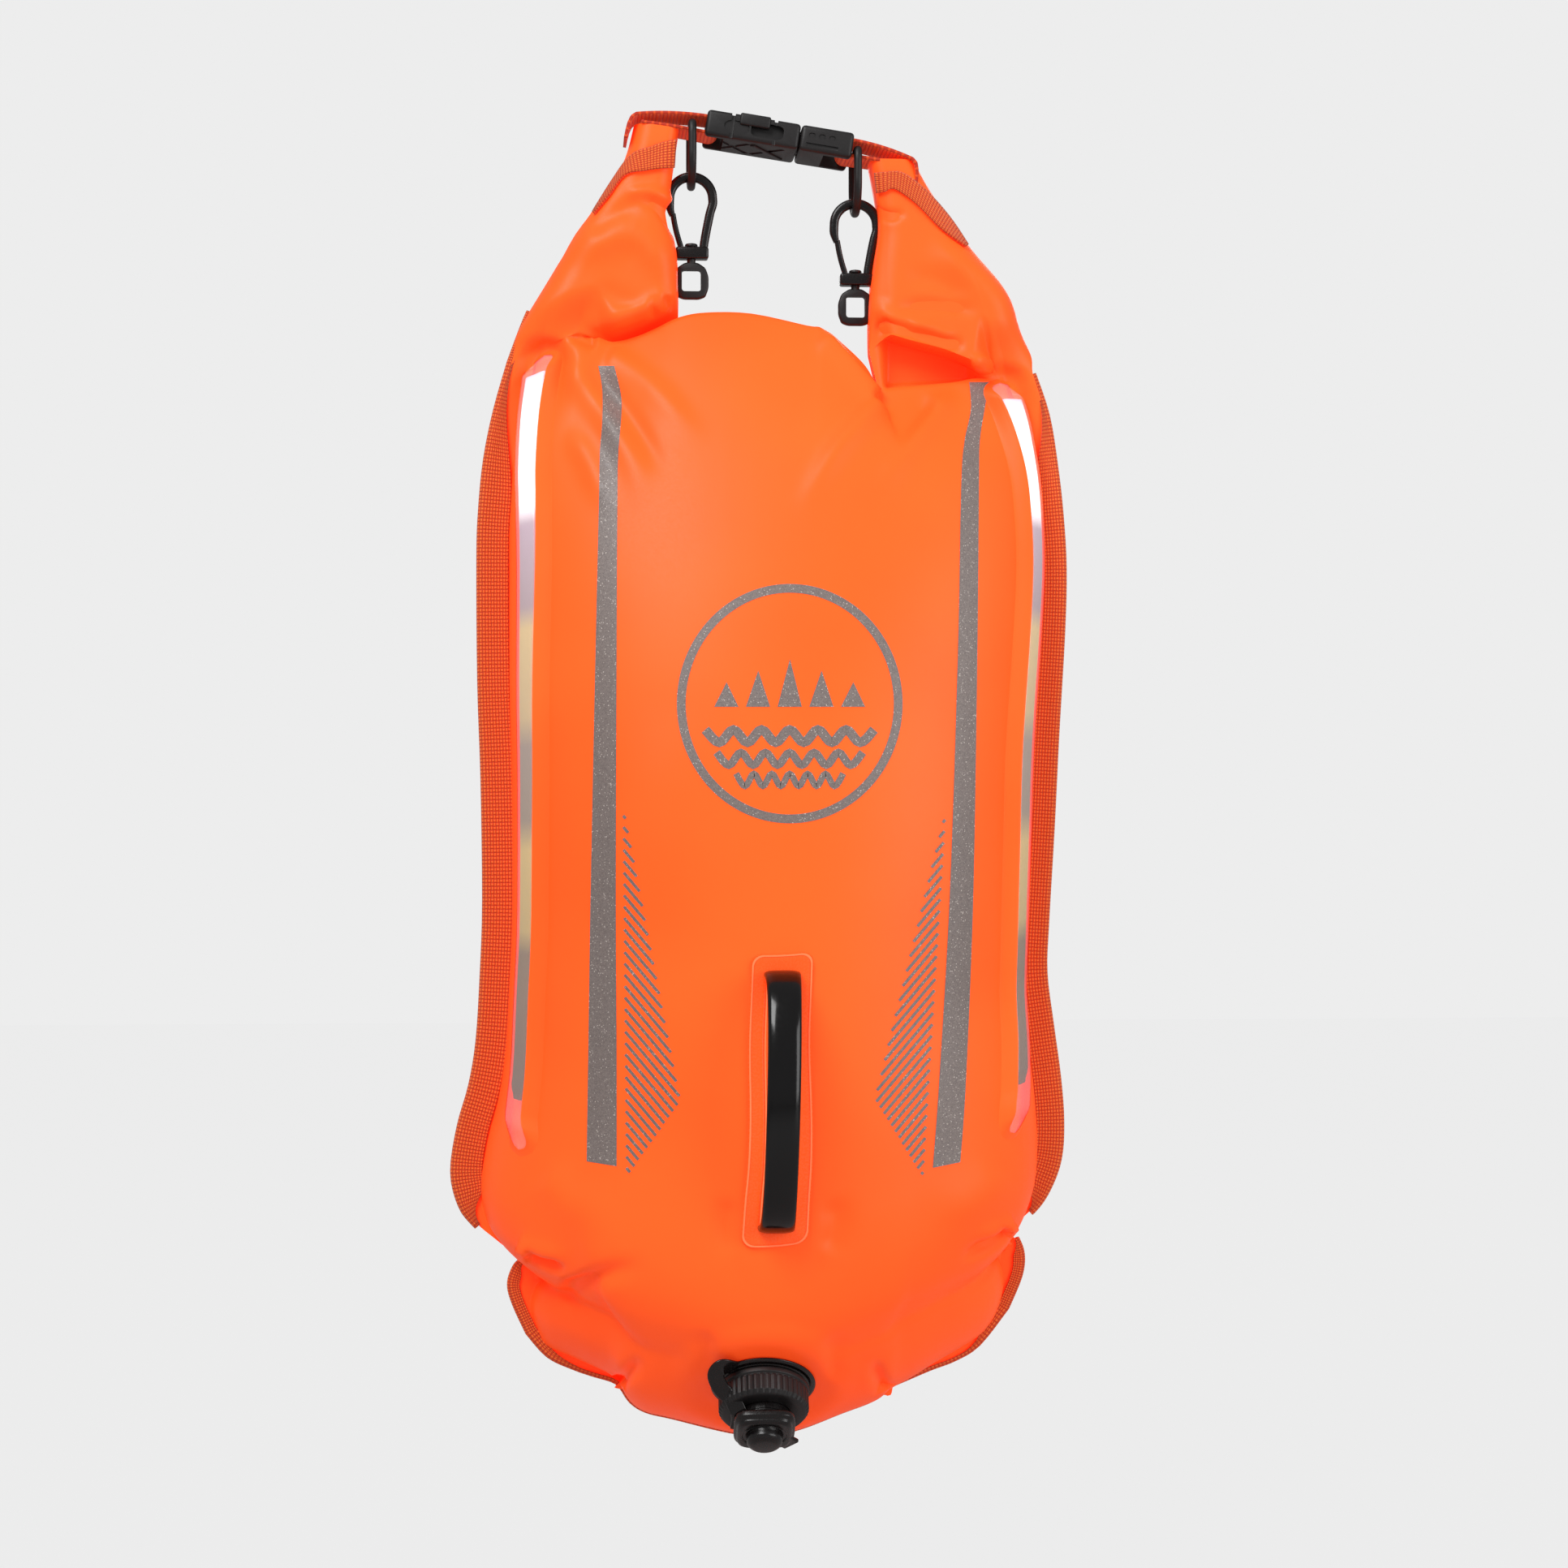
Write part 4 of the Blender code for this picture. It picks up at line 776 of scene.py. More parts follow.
@dataclass(frozen=True)
class Grained:
    """A smooth moulded or coated finish with fine grain."""

    name: str
    colour: Colour
    shade: Colour
    roughness: tuple[float, float]
    scale: float
    clouds: float
    depth: float
    metallic: float = 0.0
    specular: float = 0.5
    glow_colour: Colour = (0.0, 0.0, 0.0)
    glow: float = 0.0

    def build(self, patterns: Patterns) -> bpy.types.Material:
        """Makes the material.

        Args:
            patterns: the shared shader groups.

        Returns:
            The material.
        """
        made, sheet, shader = new_material(self.name)
        grain = sheet.add("ShaderNodeGroup", {
            "Vector": object_place(sheet), "Scale": self.scale, "Clouds": self.clouds,
            "Colour": (*self.colour, 1), "Shade": (*self.shade, 1), "Smooth": self.roughness[0],
            "Rough": self.roughness[1]}, node_tree=patterns.grain)
        sheet.fill(shader, {
            "Base Color": grain.outputs["Colour"], "Roughness": grain.outputs["Roughness"],
            "Normal": sheet.bump(grain.outputs["Height"], 0.6, self.depth), "Metallic": self.metallic,
            "Specular IOR Level": self.specular, "Emission Color": (*self.glow_colour, 1),
            "Emission Strength": self.glow})
        return made


@dataclass(frozen=True)
class Woven:
    """Woven tape, whose pattern follows the piece's UV map in metres. Its valley colour is painted shade, its
    top colour a painted highlight, and its glow a painted red glow.
    """

    name: str
    valley: Colour
    body: Colour
    top: Colour
    threads_across: float
    threads_along: float
    depth: float
    glow_colour: Colour
    glow: float

    def build(self, patterns: Patterns) -> bpy.types.Material:
        """Makes the material.

        Args:
            patterns: the shared shader groups.

        Returns:
            The material.
        """
        made, sheet, shader = new_material(self.name)
        uv = sheet.add("ShaderNodeUVMap", uv_map="cloth")
        weave = sheet.add("ShaderNodeGroup", {
            "Vector": uv.outputs["UV"], "Across": self.threads_across, "Along": self.threads_along,
            "Valley": (*self.valley, 1), "Body": (*self.body, 1), "Top": (*self.top, 1)},
            node_tree=patterns.weave)
        sheet.fill(shader, {
            "Base Color": weave.outputs["Colour"], "Roughness": 0.75,
            "Normal": sheet.bump(weave.outputs["Height"], 1.0, self.depth), "Sheen Weight": 0.15,
            "Emission Color": (*self.glow_colour, 1), "Emission Strength": self.glow})
        return made


@dataclass(frozen=True)
class Reflective:
    """Reflective ink with glass beads, a few of which carry a painted glint."""

    name: str
    dark: Colour
    light: Colour
    bead: Colour
    scale: float
    depth: float

    def build(self, patterns: Patterns) -> bpy.types.Material:
        """Makes the material.

        Args:
            patterns: the shared shader groups.

        Returns:
            The material.
        """
        made, sheet, shader = new_material(self.name)
        sparkle = sheet.add("ShaderNodeGroup", {
            "Vector": object_place(sheet), "Scale": self.scale, "Dark": (*self.dark, 1),
            "Light": (*self.light, 1), "Bead": (*self.bead, 1)}, node_tree=patterns.sparkle)
        sheet.fill(shader, {
            "Base Color": sparkle.outputs["Colour"], "Roughness": sparkle.outputs["Roughness"],
            "Normal": sheet.bump(sparkle.outputs["Height"], 0.3, self.depth)})
        return made


@dataclass(frozen=True)
class ClearFilm:
    """Thin clear film: it greys what is behind it a little and carries a gloss."""

    name: str
    colour: Colour
    cover: float

    def build(self, patterns: Patterns) -> bpy.types.Material:
        """Makes the material.

        Args:
            patterns: the shared shader groups; not used.

        Returns:
            The material.
        """
        made, sheet, shader = new_material(self.name)
        grain = sheet.add("ShaderNodeTexNoise", {"Vector": object_place(sheet), "Scale": 60.0, "Detail": 1.0})
        sheet.fill(shader, {"Base Color": (*self.colour, 1), "Roughness": 0.12, "Alpha": self.cover,
                            "Normal": sheet.bump(grain.outputs["Fac"], 0.2, 0.0006)})
        made.surface_render_method = "BLENDED"
        return made


@dataclass(frozen=True)
class GlowingTube:
    """The light tube's shades from its lit top to its dark end, as stops along its UV map."""

    name: str
    stops: tuple[tuple[float, Colour], ...]
    glow_stops: tuple[tuple[float, Colour], ...]

    def build(self, patterns: Patterns) -> bpy.types.Material:
        """Makes the material.

        Args:
            patterns: the shared shader groups; not used.

        Returns:
            The material.
        """
        made, sheet, shader = new_material(self.name)
        uv = sheet.add("ShaderNodeUVMap", uv_map="cloth")
        split = sheet.add("ShaderNodeSeparateXYZ", {"Vector": uv.outputs["UV"]})
        ramps = []
        for stops in (self.stops, self.glow_stops):
            ramp = sheet.add("ShaderNodeValToRGB", {"Fac": split.outputs["Y"]})
            marks = ramp.color_ramp.elements
            marks[0].color = (*stops[0][1], 1)
            marks[1].color = (*stops[-1][1], 1)
            for place, colour in stops[1:-1]:
                marks.new(place).color = (*colour, 1)
            ramps.append(ramp.outputs["Color"])
        sheet.fill(shader, {"Base Color": ramps[0], "Emission Color": ramps[1], "Emission Strength": 1.0,
                            "Roughness": 0.22, "Coat Weight": 0.4})
        return made


# A red glow painted into the orange fabric, the handle patch and its highlight line. It stands in for the
# fabric's fluorescence and keeps the fabric's shade red.
ORANGE_GLOW = (1.0, 0.020, 0.004)

FINISHES = {
    "fabric": Grained("coated_orange_fabric", (1.0, 0.156, 0.020), (1.0, 0.136, 0.016), (0.36, 0.48), 1400, 9,
                      0.00003, specular=0.2, glow_colour=ORANGE_GLOW, glow=0.42),
    "patch": Grained("welded_orange_patch", (1.0, 0.140, 0.020), (1.0, 0.120, 0.015), (0.22, 0.32), 900, 14,
                     0.00003, specular=0.3, glow_colour=ORANGE_GLOW, glow=0.42),
    # The pale line round the handle patch and round its opening is a painted highlight on those welded edges.
    "weld": Grained("pale_weld_line", (1.0, 0.300, 0.110), (1.0, 0.260, 0.090), (0.3, 0.4), 900, 14,
                    0.00002, specular=0.4, glow_colour=ORANGE_GLOW, glow=0.42),
    # The tape's darkest colour is painted shade between threads, its lightest a painted highlight on their
    # crowns, and its red emission a painted glow.
    "webbing": Woven("woven_orange_tape", srgb(176, 34, 0), srgb(226, 80, 14), srgb(250, 132, 52), 760, 560,
                     0.0004, (1.0, 0.06, 0.004), 0.10),
    # The ink's palest colour is a painted glint on a few beads.
    "print": Reflective("reflective_ink", srgb(112, 100, 97), srgb(138, 126, 121), srgb(205, 194, 186), 2600,
                        0.00002),
    "plastic": Grained("black_moulded_plastic", (0.0060, 0.0048, 0.0050), (0.0095, 0.0078, 0.0080),
                       (0.42, 0.54), 1800, 20, 0.00006, specular=0.42),
    "gloss": Grained("glossy_black_grip", (0.0012, 0.0008, 0.0010), (0.0024, 0.0018, 0.0020), (0.13, 0.19),
                     500, 12, 0.00002, specular=0.40),
    "rubber": Grained("black_rubber", (0.0034, 0.0024, 0.0025), (0.0064, 0.0044, 0.0045), (0.20, 0.32), 1200,
                      18, 0.00004, specular=0.42),
    "board": Grained("green_circuit_board", (0.02, 0.16, 0.06), (0.03, 0.2, 0.08), (0.4, 0.5), 900, 300,
                     0.00002),
    "steel": Grained("plated_cell", (0.6, 0.6, 0.62), (0.5, 0.5, 0.52), (0.22, 0.34), 700, 90, 0.00001,
                     metallic=1.0),
    "liner": Grained("grey_liner_fabric", (0.42, 0.43, 0.45), (0.36, 0.37, 0.39), (0.5, 0.7), 1500, 12,
                     0.00005),
    "strip": Grained("white_stiffener", (0.74, 0.74, 0.72), (0.66, 0.66, 0.64), (0.4, 0.5), 800, 20, 0.00003),
    "film": ClearFilm("clear_window_film", (1.0, 0.80, 0.76), 0.16),
    "tube": GlowingTube(
        "frosted_light_tube",
        ((0.0, (0.80, 0.74, 0.82)), (0.19, (0.85, 0.80, 0.84)), (0.22, srgb(190, 172, 190)),
         (0.33, srgb(178, 160, 170)), (0.36, srgb(214, 190, 130)), (0.48, srgb(200, 176, 122)),
         (0.52, srgb(158, 142, 124)), (0.62, srgb(146, 130, 106)), (0.66, srgb(198, 172, 94)),
         (0.77, srgb(184, 158, 82)), (0.80, srgb(124, 100, 50)), (1.0, srgb(84, 54, 20))),
        ((0.0, (0.45, 0.32, 0.46)), (0.04, (1.0, 1.0, 1.0)), (0.185, (1.0, 0.97, 0.99)),
         (0.215, (0.14, 0.11, 0.15)), (0.33, (0.05, 0.04, 0.05)), (0.36, (0.20, 0.15, 0.05)),
         (0.48, (0.15, 0.11, 0.04)), (0.52, (0.02, 0.02, 0.02)), (0.62, (0.02, 0.02, 0.01)),
         (0.66, (0.18, 0.13, 0.03)), (0.77, (0.13, 0.10, 0.02)), (0.80, (0.0, 0.0, 0.0)),
         (1.0, (0.0, 0.0, 0.0)))),
}


# The fabric's surface

@dataclass(frozen=True)
class Swell:
    """A soft rise or hollow of the fabric, centred on a pixel."""

    centre: Pixel
    reach: Pixel
    height: float

    def lift(self, pixels: np.ndarray) -> np.ndarray:
        """How far it stands out at each pixel."""
        away = (pixels - np.array(self.centre)) / np.array(self.reach)
        return self.height * np.exp(-np.sum(away**2, axis=1))


@dataclass(frozen=True)
class Crease:
    """A ridge or valley of the fabric along a line of pixels, with its own width on each side of the line."""

    points: tuple[Pixel, ...]
    height: float
    left: float
    right: float
    fade: Pixel = (0.25, 0.25)

    def lift(self, pixels: np.ndarray) -> np.ndarray:
        """How far it stands out at each pixel."""
        line = smooth_line(np.array(self.points, float), 4)
        starts, ways = line[:-1], np.diff(line, axis=0)
        lengths = np.linalg.norm(ways, axis=1)
        before = np.concatenate([[0], np.cumsum(lengths)])
        away = pixels[:, None, :] - starts[None]
        share = np.clip(np.sum(away * ways, axis=2) / lengths**2, 0, 1)
        rest = away - ways[None] * share[..., None]
        distance = np.linalg.norm(rest, axis=2)
        nearest = np.argmin(distance, axis=1)
        rows = np.arange(len(pixels))
        turn = ways[nearest, 0] * rest[rows, nearest, 1] - ways[nearest, 1] * rest[rows, nearest, 0]
        width = np.where(turn < 0, self.left, self.right)
        along = (before[nearest] + share[rows, nearest] * lengths[nearest]) / before[-1]
        ends = (smooth_step(0, max(self.fade[0], 1e-6), along)
                * smooth_step(0, max(self.fade[1], 1e-6), 1 - along))
        return self.height * ends * np.exp(-((distance[rows, nearest] / width) ** 2))


Feature = Swell | Crease

FRONT_FEATURES: tuple[Feature, ...] = (
    Swell((688, 440), (52, 44), 0.0075),
    Swell((1245, 470), (40, 40), 0.006),
    Crease(((745, 436), (800, 474), (872, 552)), 0.0030, 14, 20, (0.1, 0.6)),
    Crease(((700, 448), (738, 503), (776, 562), (800, 640)), 0.0030, 16, 16, (0.15, 0.6)),
    Crease(((698, 524), (728, 572), (752, 640)), 0.0022, 13, 15, (0.3, 0.5)),
    Crease(((722, 452), (770, 505), (830, 600)), -0.0026, 12, 14, (0.2, 0.5)),
    Crease(((1084, 492), (1058, 522), (1024, 562), (980, 640)), 0.0030, 18, 12, (0.05, 0.6)),
    Crease(((1180, 480), (1148, 510), (1112, 556), (1080, 620)), 0.0030, 16, 14, (0.2, 0.6)),
    Crease(((1150, 488), (1120, 530), (1092, 580)), -0.0024, 12, 12, (0.2, 0.5)),
    Crease(((1012, 408), (1038, 437), (1063, 465), (1081, 486)), 0.0032, 5, 13, (0.15, 0.05)),
    Crease(((650, 1549), (669, 1557), (700, 1567)), -0.0060, 9, 5, (0.0, 0.5)),
    Crease(((640, 1538), (672, 1550), (706, 1560)), 0.0035, 14, 6, (0.0, 0.6)),
    Crease(((686, 1591), (717, 1581), (757, 1567), (800, 1556)), -0.0048, 12, 13, (0.15, 0.6)),
    Crease(((682, 1578), (706, 1572), (732, 1562)), 0.0020, 9, 8, (0.3, 0.5)),
    Crease(((1243, 1519), (1226, 1532), (1206, 1543), (1180, 1552)), -0.0060, 5, 9, (0.0, 0.6)),
    Crease(((1250, 1510), (1226, 1522), (1200, 1532)), 0.0030, 6, 12, (0.0, 0.6)),
    Crease(((762, 1703), (776, 1690), (790, 1668)), -0.0040, 9, 9, (0.0, 0.6)),
    Crease(((1092, 1712), (1084, 1696), (1078, 1672)), -0.0040, 9, 8, (0.0, 0.6)),
    Crease(((905, 1474), (900, 1510), (912, 1548)), -0.0024, 12, 18, (0.3, 0.3)),
    Crease(((1022, 1474), (1030, 1510), (1016, 1548)), -0.0024, 18, 12, (0.3, 0.3)),
    Swell((962, 1556), (46, 20), -0.0020),
    Crease(((880, 1700), (868, 1668), (874, 1636)), -0.0024, 14, 14, (0.3, 0.4)),
    Crease(((1024, 1706), (1030, 1672), (1018, 1640)), -0.0024, 14, 14, (0.3, 0.4)),
    Crease(((824, 860), (800, 1000), (790, 1160)), 0.0016, 60, 60, (0.4, 0.4)),
    Crease(((660, 1432), (700, 1480), (760, 1510)), 0.0022, 30, 24, (0.3, 0.5)),
    Crease(((1245, 1440), (1200, 1480), (1140, 1500)), 0.0020, 24, 30, (0.3, 0.5)),
)

HORN_FEATURES: tuple[Feature, ...] = (
    Crease(((704, 414), (716, 421), (736, 427)), -0.0035, 7, 9, (0.3, 0.2)),
    Crease(((716, 392), (745, 396), (790, 384), (826, 368)), 0.0030, 12, 12, (0.2, 0.1)),
    Crease(((786, 246), (812, 256), (838, 288)), -0.0022, 9, 8, (0.3, 0.1)),
    Crease(((766, 240), (800, 236), (828, 250)), 0.0020, 8, 8, (0.3, 0.1)),
    Crease(((722, 296), (760, 262), (800, 250)), -0.0018, 12, 12, (0.3, 0.4)),
    Crease(((700, 330), (735, 300), (780, 290), (812, 318), (820, 360)), 0.0030, 22, 20, (0.3, 0.3)),
    Crease(((804, 392), (806, 372), (826, 370)), -0.0022, 6, 6, (0.3, 0.1)),
    Crease(((730, 352), (770, 372), (800, 384)), -0.0014, 14, 14, (0.3, 0.3)),
    Crease(((1078, 400), (1106, 404), (1140, 414), (1168, 422), (1192, 425)), -0.0046, 8, 7, (0.1, 0.2)),
    Crease(((1112, 404), (1150, 410), (1184, 420)), 0.0022, 8, 9, (0.2, 0.3)),
    Crease(((1078, 262), (1098, 266), (1120, 260)), -0.0026, 6, 6, (0.0, 0.5)),
    Crease(((1136, 302), (1176, 322), (1210, 348), (1238, 386), (1230, 430)), 0.0026, 16, 18, (0.3, 0.4)),
    Crease(((1086, 364), (1090, 388), (1122, 401), (1170, 398)), 0.0022, 10, 10, (0.2, 0.4)),
    Crease(((1100, 380), (1150, 376), (1210, 384)), -0.0020, 9, 9, (0.3, 0.3)),
    Crease(((1110, 340), (1150, 346), (1196, 372)), -0.0012, 14, 12, (0.3, 0.3)),
    Crease(((1196, 438), (1216, 452), (1230, 468)), 0.0024, 8, 8, (0.2, 0.2)),
)


@dataclass(frozen=True)
class BagShape:
    """The inflated bag: its outline in pixels of its middle plane, and how far its skins stand out."""

    half_width: float = 0.143
    length: float = 0.550
    top: float = -0.0804
    half_depth: float = 0.090
    crest_half_depth: float = 0.010
    seam_margin: float = 0.0145
    seam_half: float = 0.00115
    full_share: float = 0.55
    filling_power: float = 2.4
    end_start_share: float = 0.77
    valve_pivot: Sequence[float] = (-0.009287, -0.053227, -0.595781)
    valve_axis: Sequence[float] = (-0.017579, -0.648967, -0.760614)
    valve_seat: float = 0.029
    valve_blend: float = 0.047
    crest_left: int = 8
    crest_right: int = 16
    top_line: Line = Line((
        (632, 450), (672, 437), (700, 425), (714, 420), (735, 426), (756, 429), (784, 420), (807, 410),
        (836, 396), (870, 390), (925, 391), (993, 405), (1011, 408), (1040, 430), (1063, 452), (1074, 470),
        (1080, 483), (1108, 479), (1150, 475), (1192, 470), (1228, 465), (1273, 459)), 4)
    bottom_line: Line = Line((
        (653, 1637), (678, 1665), (709, 1680), (731, 1688), (762, 1699), (779, 1722), (798, 1734),
        (830, 1742), (900, 1760), (945, 1764), (985, 1757), (1036, 1738), (1074, 1724), (1093, 1709),
        (1118, 1698), (1147, 1686), (1177, 1675), (1206, 1657), (1241, 1613)), 4)
    left_line: Line = Line((
        (632, 450), (615, 510), (603, 570), (597, 631), (595, 690), (596, 840), (600, 961), (602, 1110),
        (599, 1200), (594, 1280), (585, 1335), (571, 1385), (563, 1440), (572, 1480), (588, 1502),
        (606, 1518), (628, 1533), (649, 1545), (638, 1557), (631, 1578), (637, 1602), (653, 1637)), 4)
    right_line: Line = Line((
        (1273, 459), (1290, 510), (1300, 570), (1307, 631), (1311, 699), (1309, 780), (1302, 900),
        (1296, 1020), (1289, 1139), (1287, 1200), (1295, 1264), (1304, 1330), (1308, 1385), (1305, 1430),
        (1292, 1466), (1274, 1492), (1243, 1518), (1253, 1529), (1260, 1549), (1257, 1575), (1241, 1613)), 4)

    calm_line: Line = Line(((632, 450), (714, 424), (836, 398), (955, 392), (1070, 401), (1180, 424),
                            (1273, 459)), 4)
    calm_share: float = 0.15
    bottom_margin: float = 0.006
    sag: float = 0.006

    @property
    def margin(self) -> float:
        """The seam margin's share of the half width."""
        return self.seam_margin / self.half_width

    @property
    def end_share(self) -> float:
        """How far down the filled part of the bag ends."""
        return 1 - self.bottom_margin / self.length

    @property
    def top_shares(self) -> Pixel:
        """The shares of the top line at which the crest starts and ends."""
        return self.top_line.share_of(self.crest_left), self.top_line.share_of(self.crest_right)

    def flat(self, across: np.ndarray, down: np.ndarray) -> np.ndarray:
        """Points of the flat bag, as X and Z, for shares across from -1 to 1 and down from 0 to 1."""
        u, v = ((across + 1) / 2)[:, None], down[:, None]
        top, bottom = self.top_line.at(u[:, 0]), self.bottom_line.at(u[:, 0])
        calm = smooth_step(0.0, self.calm_share, v)
        top = top * (1 - calm) + self.calm_line.at(u[:, 0]) * calm
        left, right = self.left_line.at(down), self.right_line.at(down)
        corners = [np.array(line.points[end]) for line, end in (
            (self.top_line, 0), (self.top_line, -1), (self.bottom_line, 0), (self.bottom_line, -1))]
        mixed = (corners[0] * (1 - u) * (1 - v) + corners[1] * u * (1 - v) + corners[2] * (1 - u) * v
                 + corners[3] * u * v)
        return VIEW.seam_point(top * (1 - v) + bottom * v + left * (1 - u) + right * u - mixed)

    def depth(self, across: np.ndarray, down: np.ndarray) -> np.ndarray:
        """How far a skin stands out from the seam's plane."""
        side = np.minimum(np.abs(across) / (1 - self.margin), 1)
        end = np.clip((down - self.end_start_share) / (self.end_share - self.end_start_share), 0, 1)
        full = 1 - np.maximum(1 - down / self.full_share, 0) ** self.filling_power
        reach = self.half_depth * full + self.crest_half_depth * (1 - full)
        return reach * np.sqrt(1 - side**2) * (1 - end**2) ** 0.56

    def skin(self, across: np.ndarray, down: np.ndarray, face: Face = Face.FRONT) -> np.ndarray:
        """Points of a skin before its folds.

        Args:
            across: shares from -1 at the left seam to 1 at the right.
            down: shares from 0 at the crest to 1 at the bottom.
            face: the skin.

        Returns:
            The points, one a row.
        """
        flat = self.flat(across, down)
        y = face.value * (self.seam_half + self.depth(across, down))
        drop = smooth_step(0.88, 0.97, down) * (1 - smooth_step(0.985, 1.0, down))
        drop *= 1 - smooth_step(0.45, 0.80, np.abs(across))
        return np.stack([flat[:, 0], y, flat[:, 1] - self.sag * drop], axis=-1)

    def frame(self, across: float, down: np.ndarray, step: float = 0.004) -> tuple[np.ndarray, ...]:
        """Points of the front skin down a line, with unit vectors across it, down it and out of it."""
        a = np.full_like(down, across)
        sideways = unit(self.skin(a + step, down) - self.skin(a - step, down))
        downward = unit(self.skin(a, np.minimum(down + step, 1)) - self.skin(a, np.maximum(down - step, 0)))
        outward = unit(np.cross(sideways, downward))
        outward *= np.where(outward[:, 1:2] > 0, -1, 1)
        return self.skin(a, down), sideways, downward, outward

    def valve_frame(self) -> Matrix:
        """The frame of the valve's seat, with Z out of the bag along the collar's hinge."""
        turn = Vector(self.valve_axis).to_track_quat("Z", "Y").to_matrix()
        return Matrix.Translation(self.valve_pivot) @ turn.to_4x4()


# Sub-assemblies

BAG = BagShape()


LIGHT_PATHS = {
    Side.LEFT: ((0.0, 0.06, 0.12, 0.216, 0.50, 0.70, 0.76, 1.0),
                (-0.872, -0.850, -0.827, -0.808, -0.815, -0.812, -0.790, -0.790)),
    Side.RIGHT: ((0.0, 0.06, 0.12, 0.21, 0.30, 0.40, 0.50, 0.63, 0.70, 0.76, 1.0),
                 (0.872, 0.868, 0.862, 0.846, 0.826, 0.808, 0.807, 0.812, 0.788, 0.766, 0.766)),
}


def light_across(side: Side, down: np.ndarray) -> np.ndarray:
    """Shares across of a light's middle line."""
    rows = tuple((place * 1000, share * 1000) for place, share in zip(*LIGHT_PATHS[side]))
    table = Line(rows, 5).curve() / 1000
    return np.interp(down, table[:, 0], table[:, 1])


def lay_on(tree: BVHTree, pixels: np.ndarray, height: float) -> np.ndarray:
    """Points on a surface as the photograph's camera sees them.

    Args:
        tree: the surface.
        pixels: the pixels, one a row. One that misses the surface takes the depth of the one before it.
        height: how far the points stand off the surface.

    Returns:
        The points, one a row.
    """
    start = Vector(VIEW.place)
    made, depth = [], VIEW.distance
    for pixel in pixels:
        ray = VIEW.ray(pixel)
        hit, normal, _, distance = tree.ray_cast(start, ray)
        if hit is None:
            hit, normal = start + ray * depth, -ray
        else:
            depth = distance
            normal = normal if normal.dot(ray) < 0 else -normal
        made.append(hit + normal * height)
    return np.array(made)


